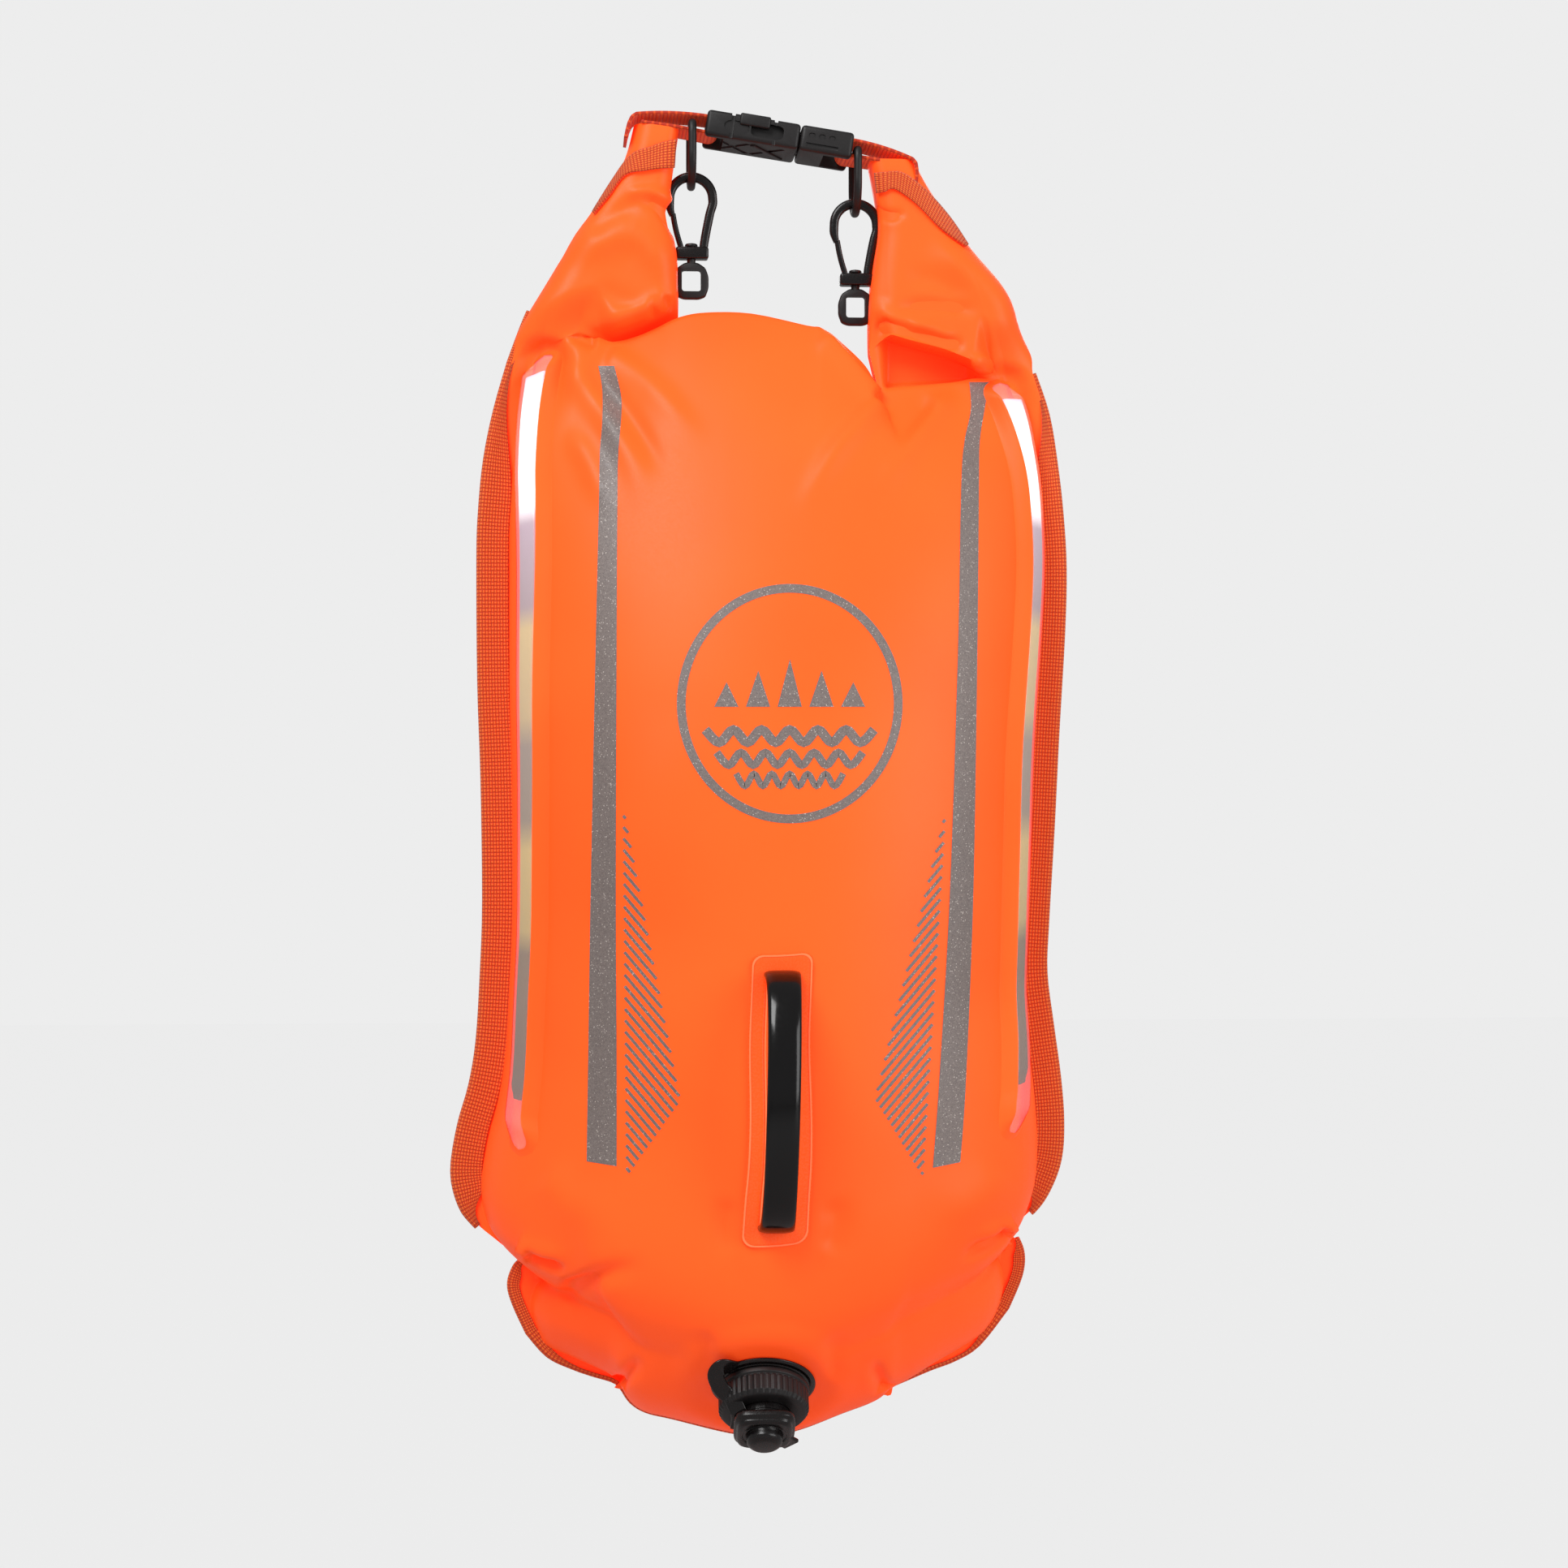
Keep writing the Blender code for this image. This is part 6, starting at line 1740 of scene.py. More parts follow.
@dataclass
class Prints:
    """Reflective ink on the front: two stripes, two hatched wedges and a plain wave emblem in a ring."""

    skins: Skins
    lift: float = 0.00022
    pace: float = 4.0
    stripes: dict[Side, tuple[Line, Line]] = field(default_factory=lambda: {
        Side.LEFT: (Line(((737, 451), (742, 480), (742, 520), (739, 560), (738, 620), (734, 800), (728, 1100),
                          (725, 1300), (723, 1431))),
                    Line(((757, 451), (765, 485), (766, 510), (762, 560), (761, 620), (760, 800), (759, 1100),
                          (760, 1300), (760, 1437)))),
        Side.RIGHT: (Line(((1194, 471), (1196, 505), (1188, 545), (1184, 600), (1180, 800), (1170, 1100),
                           (1157, 1330), (1149, 1439))),
                     Line(((1219, 471), (1213, 505), (1207, 545), (1206, 600), (1204, 800), (1199, 1100),
                           (1190, 1330), (1183, 1432)))),
    })
    wedges: dict[Side, tuple[Pixel, Pixel, Pixel]] = field(default_factory=lambda: {
        Side.LEFT: ((768, 995), (838, 1357), (772, 1450)),
        Side.RIGHT: ((1165, 1000), (1078, 1355), (1137, 1450)),
    })
    ring_centre: Pixel = (973, 867)
    ring_half: Pixel = (139, 147.5)
    ring_line: float = 11.0

    def strip(self, first: np.ndarray, second: np.ndarray, columns: int) -> bmesh.types.BMesh:
        """Ink between two lines of pixels with as many points each."""
        rows = len(first) - 1
        grid = np.array([lay_on(self.skins.tree, first + (second - first) * i / columns, self.lift)
                         for i in range(columns + 1)])

        def place(a: np.ndarray, b: np.ndarray) -> np.ndarray:
            return grid[np.round(a * columns).astype(int), np.round(b * rows).astype(int)]

        bm = bent_grid(columns, rows, place)
        turn_faces(bm, (0, -1, 0))
        return bm

    def stroke(self, points: Sequence[Pixel], width: float, steps: int = 12) -> bmesh.types.BMesh:
        """Ink of one width along a line of pixels."""
        line = smooth_line(np.array(points, float), steps) if len(points) > 2 else np.array(points, float)
        if len(points) == 2:
            count = max(int(np.linalg.norm(line[1] - line[0]) / self.pace), 1)
            line = line[0] + (line[1] - line[0]) * np.linspace(0, 1, count + 1)[:, None]
        ways = unit(np.gradient(line, axis=0))
        across = np.stack([-ways[:, 1], ways[:, 0]], axis=-1) * width / 2
        return self.strip(line - across, line + across, 1)

    def closed(self, made: bmesh.types.BMesh, name: str, finish: bpy.types.Material) -> None:
        """Finishes one print."""
        sheet = publish(made, name, finish, 60)
        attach(sheet, "root")
        dress(sheet, Slot.FABRIC)

    def build_stripes(self, finish: bpy.types.Material) -> None:
        """Makes the two long stripes."""
        for side, (left, right) in self.stripes.items():
            shares = np.linspace(0, 1, 260)
            self.closed(self.strip(left.at(shares), right.at(shares), 7), "stripe_" + side.word, finish)

    def build_wedges(self, finish: bpy.types.Material) -> None:
        """Makes the fine slanting lines inside each wedge."""
        slope = math.tan(math.radians(50))
        for side, (top, wide, foot) in self.wedges.items():
            bm = bmesh.new()
            inner = {Side.LEFT: 1, Side.RIGHT: -1}[side]
            for y in np.arange(top[1] - 60, foot[1], 14.0):
                share = np.clip((y - top[1]) / (foot[1] - top[1]), 0, 1)
                x = top[0] + (foot[0] - top[0]) * share
                points = [(x, y), (x + inner * 100, y + 100 * slope)]
                kept = self.clip(points, side)
                if kept:
                    add_mesh(bm, self.stroke(kept, 3.8))
            self.closed(bm, "hatched_wedge_" + side.word, finish)

    def clip(self, points: Sequence[Pixel], side: Side) -> list[Pixel]:
        """The part of a line inside its wedge."""
        top, wide, foot = (np.array(corner, float) for corner in self.wedges[side])
        start, end = (np.array(point, float) for point in points)
        shares = np.linspace(0, 1, 200)
        line = start + (end - start) * shares[:, None]
        inside = np.ones(len(line), bool)
        corners = [top, wide, foot]
        centre = (top + wide + foot) / 3
        for a, b in zip(corners, corners[1:] + corners[:1]):
            way = b - a
            turn = way[0] * (line[:, 1] - a[1]) - way[1] * (line[:, 0] - a[0])
            want = way[0] * (centre[1] - a[1]) - way[1] * (centre[0] - a[0])
            inside &= turn * np.sign(want) > -0.5 * np.linalg.norm(way)
        kept = line[inside]
        if len(kept) < 4:
            return []
        return [tuple(kept[0]), tuple(kept[-1])]

    def build_emblem(self, finish: bpy.types.Material) -> None:
        """Makes a ring with plain waves under a row of small darts."""
        bm = bmesh.new()
        centre, half = np.array(self.ring_centre), np.array(self.ring_half)
        turns = np.linspace(0, 2 * math.pi, 200)
        round_line = np.stack([np.cos(turns), np.sin(turns)], axis=-1)
        add_mesh(bm, self.strip(centre + round_line * half, centre + round_line * (half - self.ring_line), 2))
        for row, (y, reach, width) in enumerate(((40, 104, 12), (68, 90, 11), (94, 66, 10))):
            waves = np.linspace(-reach, reach, 13)
            points = [(centre[0] + x, centre[1] + y + (8 if i % 2 else -8)) for i, x in enumerate(waves)]
            add_mesh(bm, self.stroke(points, width - row, 5))
        for i, x in enumerate((-78, -39, 0, 39, 78)):
            high = 58 - abs(i - 2) * 14
            left = np.array([[centre[0] + x - 15, centre[1] + 4], [centre[0] + x, centre[1] + 4 - high]])
            right = np.array([[centre[0] + x + 15, centre[1] + 4],
                              [centre[0] + x + 0.6, centre[1] + 4 - high]])
            shares = np.linspace(0, 1, 12)[:, None]
            add_mesh(bm, self.strip(left[0] + (left[1] - left[0]) * shares,
                                    right[0] + (right[1] - right[0]) * shares, 4))
        self.closed(bm, "wave_emblem", finish)

    def build(self, finish: dict[str, bpy.types.Material]) -> None:
        """Builds the prints."""
        self.build_stripes(finish["print"])
        self.build_wedges(finish["print"])
        self.build_emblem(finish["print"])


@dataclass
class Handle:
    """The grab handle, bowed off its welded patch."""

    patch_half: float = 0.0140
    patch_span: Pixel = (0.546, 0.787)
    patch_thick: float = 0.0012
    grip_span: Pixel = (0.563, 0.771)
    grip_half: float = 0.0086
    grip_waist: float = 0.0077
    grip_thick: float = 0.0030
    bow: float = 0.030
    weld_line: float = 0.0007
    opening_half: float = 0.0058
    opening_end: float = 0.0115
    groove_place: float = 0.0012
    groove_width: float = 0.0005
    clearance: float = 0.0004

    def build(self, finish: dict[str, bpy.types.Material]) -> None:
        """Builds the patch and the grip."""
        first, last = self.patch_span
        rows, columns = 150, 36
        span = (last - first) * BAG.length

        def patch_place(a: np.ndarray, b: np.ndarray) -> np.ndarray:
            down = first + (last - first) * b
            along = np.abs(b - 0.5) * span
            corner = 0.005
            inset = np.maximum(along - (span / 2 - corner), 0)
            cut = corner - np.sqrt(np.maximum(corner**2 - inset**2, 0))
            half = (self.patch_half - cut) / BAG.half_width
            points = BAG.skin((a * 2 - 1) * half, down)
            _, _, _, outward = BAG.frame(0.0, down)
            x = (a * 2 - 1) * self.patch_half
            y = (b - 0.5) * span
            far = np.maximum(np.abs(x) - self.opening_half, np.abs(y) - span / 2 + self.opening_end)
            groove = np.exp(-((far - self.groove_place) / self.groove_width) ** 2) * self.groove_width
            border = np.maximum(np.abs(x) - self.patch_half, np.abs(y) - span / 2)
            rim = np.exp(-((border + 0.0012) / 0.0006) ** 2)
            height = self.clearance + self.patch_thick - 0.00025 * rim - groove + 0.0002 * (far < 0.001)
            edge = (a < 0.01) | (a > 0.99) | (b < 0.004) | (b > 0.996)
            return points + outward * np.where(edge, self.clearance - 0.0002, height)[:, None]

        bm = bent_grid(columns, rows, patch_place)
        turn_faces(bm, (0, -1, 0))
        patch = publish(bm, "welded_handle_patch", finish["patch"], 50)
        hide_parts("handle_patch")
        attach(patch, "root")
        dress(patch, Slot.FABRIC)
        # Pale lines of painted highlight round the patch and round its opening.
        for name, half, end, corner in (("outer", self.patch_half - 0.0004, span / 2 - 0.0004, 0.0050),
                                        ("inner", 0.0068, span / 2 - 0.0100, 0.0020)):
            self.build_painted_highlight(name, half, end, corner, finish["weld"])
        self.build_grip(finish["gloss"])

    def build_painted_highlight(self, name: str, half: float, end: float, corner: float,
                   finish: bpy.types.Material) -> None:
        """Makes a pale line of painted highlight round the patch's welded edge or round its opening."""
        first, last = self.patch_span
        turns = np.linspace(0, 2 * math.pi, 481)
        cos, sin = np.cos(turns), np.sin(turns)
        outline = np.stack([np.clip(cos * 1e3, -1, 1) * (half - corner) + cos * corner,
                            np.clip(sin * 1e3, -1, 1) * (end - corner) + sin * corner], axis=-1)
        lengths = run_lengths(outline)
        lift = self.clearance + self.patch_thick + 0.00012

        def place(a: np.ndarray, b: np.ndarray) -> np.ndarray:
            reach = b * lengths[-1]
            x, y = np.interp(reach, lengths, outline[:, 0]), np.interp(reach, lengths, outline[:, 1])
            x, y = x * (1 - self.weld_line * a / half), y * (1 - self.weld_line * a / end)
            down = (first + last) / 2 + y / BAG.length
            _, _, _, outward = BAG.frame(0.0, down)
            return BAG.skin(x / BAG.half_width, down) + outward * lift

        bm = bent_grid(1, 420, place)
        turn_faces(bm, (0, -1, 0))
        line = publish(bm, "weld_line_" + name, finish, 60)
        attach(line, "root")
        dress(line, Slot.FABRIC)

    def build_grip(self, finish: bpy.types.Material) -> None:
        """Makes the grip as one bowed band with flat feet."""
        shares = np.array(self.grip_span)
        points, _, _, outward = BAG.frame(0.0, shares)
        lift = self.clearance + self.patch_thick + 0.0004
        top, foot = points + outward * lift
        reach = (foot - top) / 2
        out = np.cross(reach, (1, 0, 0))
        out /= np.linalg.norm(out)
        out *= -1 if out[1] > 0 else 1

        def place(a: np.ndarray, b: np.ndarray) -> np.ndarray:
            turn = math.pi * b
            rise = np.sin(turn) ** 0.85
            centre = top + reach * (1 - np.cos(turn))[:, None] + out * (self.bow * rise)[:, None]
            slope = 0.85 * np.cos(turn) * np.maximum(np.sin(turn), 0.08) ** -0.15
            way = unit(reach * np.sin(turn)[:, None] + out * (self.bow * slope)[:, None])
            up = np.cross(way, (1.0, 0, 0))
            cos, sin = round_of(a)
            wide = self.grip_waist + (self.grip_half - self.grip_waist) * (1 - np.sin(turn)) ** 2
            across = squared(cos, 0.6) * wide
            over = squared(sin, 0.72) * self.grip_thick * (0.75 + 0.25 * np.sin(turn))
            return centre + np.array([1.0, 0, 0]) * across[:, None] + up * over[:, None]

        bm = bent_grid(40, 96, place)
        close_rod(bm)
        grip = publish(bm, "bowed_grip", finish, 50)
        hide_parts("handle_grip")
        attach(grip, "root")
        dress(grip, Slot.PLASTIC)


@dataclass
class Lights:
    """A light tube behind a clear window on each side, with its button, board and cell."""

    tube_span: Pixel = (0.030, 0.705)
    window_span: Pixel = (0.006, 0.750)
    button_span: Pixel = (0.0315, 0.046)
    board_span: Pixel = (0.085, 0.26)
    cell_span: Pixel = (0.134, 0.146)
    tube_half: float = 0.0050
    tube_thick: float = 0.0056
    tube_wall: float = 0.0007
    window_half: float = 0.0125
    film_half: float = 0.0060
    window_crest: float = 0.0064
    clearance: float = 0.0004

    def lay(self, side: Side, offset: np.ndarray, down: np.ndarray, lift: np.ndarray) -> np.ndarray:
        """Points beside a light's middle line, at a height over the skin.

        Args:
            side: the light.
            offset: how far along the skin from the middle line, in metres to the right.
            down: shares from the crest to the bottom.
            lift: the height over the skin.

        Returns:
            The points, one a row.
        """
        steps = np.linspace(-0.17, 0.17, 35)
        grid = np.clip(light_across(side, down)[:, None] + steps[None], -0.995, 0.995)
        rows = BAG.skin(grid.ravel(), np.repeat(down, len(steps))).reshape(len(down), len(steps), 3)
        parts = np.linalg.norm(np.diff(rows, axis=1), axis=2)
        along = np.concatenate([np.zeros((len(down), 1)), np.cumsum(parts, axis=1)], axis=1)
        along -= along[:, len(steps) // 2, None]
        across = np.array([np.interp(way, line, shares) for way, line, shares in zip(offset, along, grid)])
        points, _, _, outward = BAG.frame(across, down)
        return points + outward * lift[:, None]

    def bar(self, side: Side, span: Pixel, half: float, heights: Pixel, power: float = 0.35, rows: int = 24,
            taper: float = 0.0) -> bmesh.types.BMesh:
        """An open rounded bar that lies along a light.

        Args:
            side: the light.
            span: its shares down the bag.
            half: its half width.
            heights: its underside and top over the skin.
            power: the roundness of its section, less for squarer.
            rows: its faces along.
            taper: how much narrower its foot is.

        Returns:
            The bar, with its seam still to be joined.
        """
        length = (span[1] - span[0]) * BAG.length
        middle, reach = (heights[0] + heights[1]) / 2, (heights[1] - heights[0]) / 2

        def place(a: np.ndarray, b: np.ndarray) -> np.ndarray:
            cos, sin = round_of(a)
            less = 1 - taper * smooth_step(1 - 0.007 / length, 1.0, b)
            offset = squared(cos, power) * half * less
            rise = squared(sin, power) * reach * (0.5 + 0.5 * less)
            return self.lay(side, offset, span[0] + (span[1] - span[0]) * b, middle + rise)

        return bent_grid(32, rows, place, (1.0, 1.0))

    def build_tube(self, side: Side, finish: bpy.types.Material) -> None:
        """Makes a hollow tube, open at the top for its button and chamfered at its foot."""
        heights = self.clearance, self.clearance + self.tube_thick
        bm = self.bar(side, self.tube_span, self.tube_half, heights, rows=160, taper=0.45)
        bmesh.ops.remove_doubles(bm, verts=bm.verts, dist=MERGE)
        lowest = min(vert.co.z for vert in bm.verts) + 0.002
        foot = [edge for edge in open_edges(bm) if edge.verts[0].co.z < lowest]
        bmesh.ops.holes_fill(bm, edges=foot, sides=0)
        bmesh.ops.recalc_face_normals(bm, faces=bm.faces)
        bm.normal_update()
        front = min(bm.faces, key=lambda face: face.calc_center_median().y)
        if front.normal.y > 0:
            bmesh.ops.reverse_faces(bm, faces=bm.faces)
        tube = thicken(publish(bm, "frosted_tube_" + side.word, finish, 50), self.tube_wall)
        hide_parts("light_tube_" + side.word)
        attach(tube, "root")
        dress(tube, Slot.TUBE)

    def build_inside(self, side: Side, finish: dict[str, bpy.types.Material]) -> None:
        """Makes the board with its cell, and the push button in the tube's open end."""
        low = self.clearance + self.tube_wall + 0.0004
        high = self.clearance + self.tube_thick - self.tube_wall - 0.0004
        rows = (("circuit_board_", "light_board_", self.board_span, 0.0034, (low, low + 0.0008), 0.2, "board",
                 "root"),
                ("coin_cell_", "light_cell_", self.cell_span, 0.0032, (low + 0.0011, low + 0.0026), 0.8,
                 "steel", "root"),
                ("push_button_", "light_button_", self.button_span, 0.0036, (low, high), 0.4, "strip",
                 "button_" + side.word))
        for name, node, span, half, heights, power, material, body in rows:
            bm = self.bar(side, span, half, heights, power)
            close_rod(bm)
            made = publish(bm, name + side.word, finish[material], 50)
            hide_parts(node + side.word)
            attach(made, body)
            LOG.info("built %s", made.name)

    def build_window(self, side: Side, finish: dict[str, bpy.types.Material]) -> None:
        """Makes the clear film with round ends, and the fabric that rises to it from the skin."""
        first, last = self.window_span
        span = (last - first) * BAG.length

        def bowed(b: np.ndarray) -> np.ndarray:
            return (1 - np.cos(b * math.pi)) / 2 * 0.35 + b * 0.65

        def edge(b: np.ndarray, half: float, cut: float) -> np.ndarray:
            inset = np.maximum(np.abs(b - 0.5) * (span - cut) - ((span - cut) / 2 - half), 0)
            return np.sqrt(np.maximum(half**2 - inset**2, (half * 0.05) ** 2))

        inner, cut = self.film_half, 2 * (self.window_half - self.film_half)

        def down_of(b: np.ndarray, less: float) -> np.ndarray:
            return first + (less - cut) / 2 / BAG.length + (last - first) * (1 - (less - cut) / span) * b

        def crest(b: np.ndarray) -> np.ndarray:
            ends = smooth_step(0.0, 0.030, np.minimum(b, 1 - b) * 0.9)
            return 0.0012 + (self.window_crest - 0.0012) * ends

        def film_place(a: np.ndarray, b: np.ndarray) -> np.ndarray:
            at = bowed(b)
            share = a * 2 - 1
            lift = crest(at) - 0.0003 + 0.0004 * (1 - share**2)
            return self.lay(side, share * edge(at, inner + 0.0004, 0.0), down_of(at, cut), lift)

        bm = bent_grid(14, 200, film_place)
        turn_faces(bm, (0, -1, 0))
        film = thicken(publish(bm, "clear_film_" + side.word, finish["film"], 60), 0.0004)
        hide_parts("window_" + side.word)
        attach(film, "root")
        dress(film, Slot.FILM)
        middle = np.linspace(0, 1, 200)
        around = np.concatenate([middle, middle[::-1][1:-1]])
        way = np.concatenate([np.ones(200), -np.ones(198)])
        count = len(around)
        steps = 14

        def flank_place(a: np.ndarray, b: np.ndarray) -> np.ndarray:
            index = np.round(b * count).astype(int) % count
            at = bowed(around[index])
            wide = edge(at, self.window_half, -cut) * (1 - a) + edge(at, inner, 0.0) * a
            down = np.maximum(down_of(at, 0.0) * (1 - a) + down_of(at, cut) * a, 0.001)
            rise = smooth_step(0.0, 1.0, a) * 0.75 + 0.25 * a**3
            lip = 0.0004 * np.exp(-((a - 0.95) / 0.05) ** 2)
            lift = -0.0007 + (crest(at) + 0.0005) * rise + lip
            return self.lay(side, way[index] * wide, down, lift)

        bm = bent_grid(steps, count, flank_place)
        bmesh.ops.remove_doubles(bm, verts=bm.verts, dist=MERGE / 4)
        turn_faces(bm, (0, -1, 0))
        flank = publish(bm, "window_sleeve_" + side.word, finish["fabric"], 70)
        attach(flank, "root")
        dress(flank, Slot.FABRIC)

    def build(self, finish: dict[str, bpy.types.Material]) -> None:
        """Builds both lights."""
        for side in Side:
            self.build_tube(side, finish["tube"])
            self.build_inside(side, finish)
            self.build_window(side, finish)


@dataclass
class Valve:
    """The inflation valve: flange, knurled collar, square cap with a pull tab, and its tether."""

    flange: float = 0.025
    neck: float = 0.016
    bore: float = 0.013
    collar: float = 0.0218
    collar_low: float = 0.0028
    collar_top: float = 0.017
    knurl: float = 0.0006
    teeth: int = 44
    cap_low: float = 0.0217
    cap_half: float = 0.0145
    cap_high: float = 0.0065
    cap_power: float = 4.6
    knob: float = 0.0085
    knob_high: float = 0.006
    tether_half: float = 0.0040
    tether_thick: float = 0.0008
    tether_line: Line = Line(((904, 1685), (890, 1684), (882, 1694), (888, 1710), (903, 1726), (911, 1744),
                              (910, 1760)))
    tether_shares: tuple[float, ...] = (0, 0.2, 0.55, 0.8, 1)
    tether_heights: tuple[float, ...] = (0.0026, 0.0062, 0.0125, 0.0205, 0.0228)
    tether_rows: int = 60

    def build_flange(self, frame: Matrix, finish: bpy.types.Material) -> None:
        """Makes the welded flange with its stepped rings, and the neck."""
        profile = rounded_profile((
            (self.bore, 0.0004, 0), (self.flange - 0.0002, 0.0004, 0.0002), (self.flange, 0.0012, 0.0005),
            (self.flange - 0.0014, 0.0022, 0.0006), (self.flange - 0.0034, 0.0016, 0.0005),
            (self.flange - 0.0042, 0.0024, 0.0003), (self.neck, 0.0024, 0.0002), (self.neck, 0.013, 0.0004),
            (self.bore, 0.013, 0)))
        made = publish(turned(profile, frame, 128), "valve_base_ring", finish, 45)
        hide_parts("valve_flange")
        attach(made, "root")
        dress(made, Slot.RUBBER)

    def build_collar(self, frame: Matrix, finish: bpy.types.Material) -> None:
        """Makes the knurled collar, with a plain ring under its grips."""
        low, top, reach = self.collar_low, self.collar_top, self.collar
        profile = rounded_profile((
            (self.neck + 0.0004, low, 0), (reach - 0.0006, low, 0.0003), (reach, low + 0.0008, 0.0004),
            (reach, low + 0.0028, 0.0004), (reach - 0.0008, low + 0.0034, 0.0002),
            (reach - 0.0004, low + 0.0042, 0.0003), (reach - 0.0004, top - 0.0024, 0.0002),
            (reach - 0.0020, top - 0.0004, 0.0008), (reach - 0.0046, top, 0.0006), (self.bore, top, 0),
            (self.bore, top - 0.0018, 0), (self.neck + 0.0004, top - 0.0018, 0)))
        sides = self.teeth * 6
        bm = turned(profile, Matrix.Identity(4), sides)
        for vert in bm.verts:
            radius = math.hypot(vert.co.x, vert.co.y)
            if radius > reach - 0.0019 and low + 0.0036 < vert.co.z < top - 0.001:
                turn = math.atan2(vert.co.y, vert.co.x)
                depth = self.knurl * max(0.0, math.cos(turn * self.teeth)) ** 0.6
                vert.co.xy *= (radius - depth) / radius
        bm.transform(frame)
        made = publish(bm, "knurled_collar", finish, 40)
        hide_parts("valve_collar")
        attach(made, "collar")
        dress(made, Slot.PLASTIC)

    def cap_outline(self, turn: float) -> float:
        """How many times its round profile's radius the cap's rounded square measures at a turn."""
        power = self.cap_power
        return float(1 / (np.abs(np.cos(turn)) ** power + np.abs(np.sin(turn)) ** power) ** (1 / power))

    def build_cap(self, frame: Matrix, finish: bpy.types.Material) -> None:
        """Makes the cap with its shoulder, dome and pull tab."""
        low, half = self.cap_low, self.cap_half
        rows = rounded_profile((
            (0.0, low, 0), (half * 0.97, low, 0.0004), (half, low + 0.0007, 0.0005),
            (half, low + 0.0030, 0.0005), (half - 0.0014, low + 0.0042, 0.0006),
            (half - 0.0016, low + self.cap_high - 0.001, 0.0008),
            (half - 0.0030, low + self.cap_high, 0.0008), (self.knob + 0.0022, low + self.cap_high, 0.0004),
            (self.knob + 0.0018, low + self.cap_high - 0.0007, 0.0003),
            (self.knob + 0.0004, low + self.cap_high - 0.0007, 0.0002),
            (self.knob, low + self.cap_high + 0.0008, 0.0006),
            (self.knob, low + self.cap_high + 0.0036, 0.0012),
            (self.knob * 0.72, low + self.cap_high + 0.0056, 0.002),
            (0.0, low + self.cap_high + self.knob_high, 0)))
        bm = turned(rows, Matrix.Identity(4), 96)
        for vert in bm.verts:
            radius = math.hypot(vert.co.x, vert.co.y)
            if radius > self.knob + 0.0025:
                turn = math.atan2(vert.co.y, vert.co.x)
                square = self.cap_outline(turn)
                share = float(smooth_step(self.knob + 0.0025, half - 0.003, np.array(radius)))
                vert.co.xy *= 1 + (square - 1) * share * 0.92
        bm.transform(frame)
        made = publish(bm, "square_cap", finish, 40)
        tab = block((-0.0046, -0.0060, 0), (0.0046, 0.0035, 0.0022), None, 0.0009, 4)
        corner = Matrix.Translation((0.0112, -0.0112, low + 0.0012))
        tab.transform(frame @ corner @ Matrix.Rotation(math.radians(-45), 4, "Z"))
        carve(made, [tab], "UNION", 40)
        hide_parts("valve_cap")
        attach(made, "cap")
        dress(made, Slot.RUBBER)

    def build_tether(self, finish: bpy.types.Material) -> None:
        """Makes the flat band that loops from the flange to the cap."""
        frame = BAG.valve_frame()
        axis = np.array(frame.col[2][:3])
        seat = np.array(frame.translation)
        shares = np.linspace(0, 1, self.tether_rows + 1)
        rays = np.array([VIEW.ray(pixel) for pixel in self.tether_line.at(shares)])
        heights = np.interp(shares, self.tether_shares, self.tether_heights)
        reach = ((seat + heights[:, None] * axis - VIEW.place) @ axis) / (rays @ axis)
        path = VIEW.place + rays * reach[:, None]
        ways = unit(np.gradient(path, axis=0))
        sides = unit(np.cross(ways, np.array(VIEW.forward) * 0.8 - axis * 0.6))
        outs = np.cross(sides, ways)

        def place(a: np.ndarray, b: np.ndarray) -> np.ndarray:
            index = np.round(b * self.tether_rows).astype(int)
            cos, sin = round_of(a)
            across, over = squared(cos, 0.4) * self.tether_half, squared(sin, 0.5) * self.tether_thick
            return path[index] + sides[index] * across[:, None] + outs[index] * over[:, None]

        bm = bent_grid(20, self.tether_rows, place)
        close_rod(bm)
        made = publish(bm, "cap_tether", finish, 50)
        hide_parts("valve_tether")
        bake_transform(made)
        dress(made, Slot.RUBBER)

    def build(self, finish: dict[str, bpy.types.Material]) -> None:
        """Builds the valve."""
        frame = BAG.valve_frame()
        self.build_flange(frame, finish["rubber"])
        self.build_collar(frame, finish["plastic"])
        self.build_cap(frame, finish["rubber"])
        self.build_tether(finish["rubber"])


NODES: dict[str, bpy.types.Object] = {}


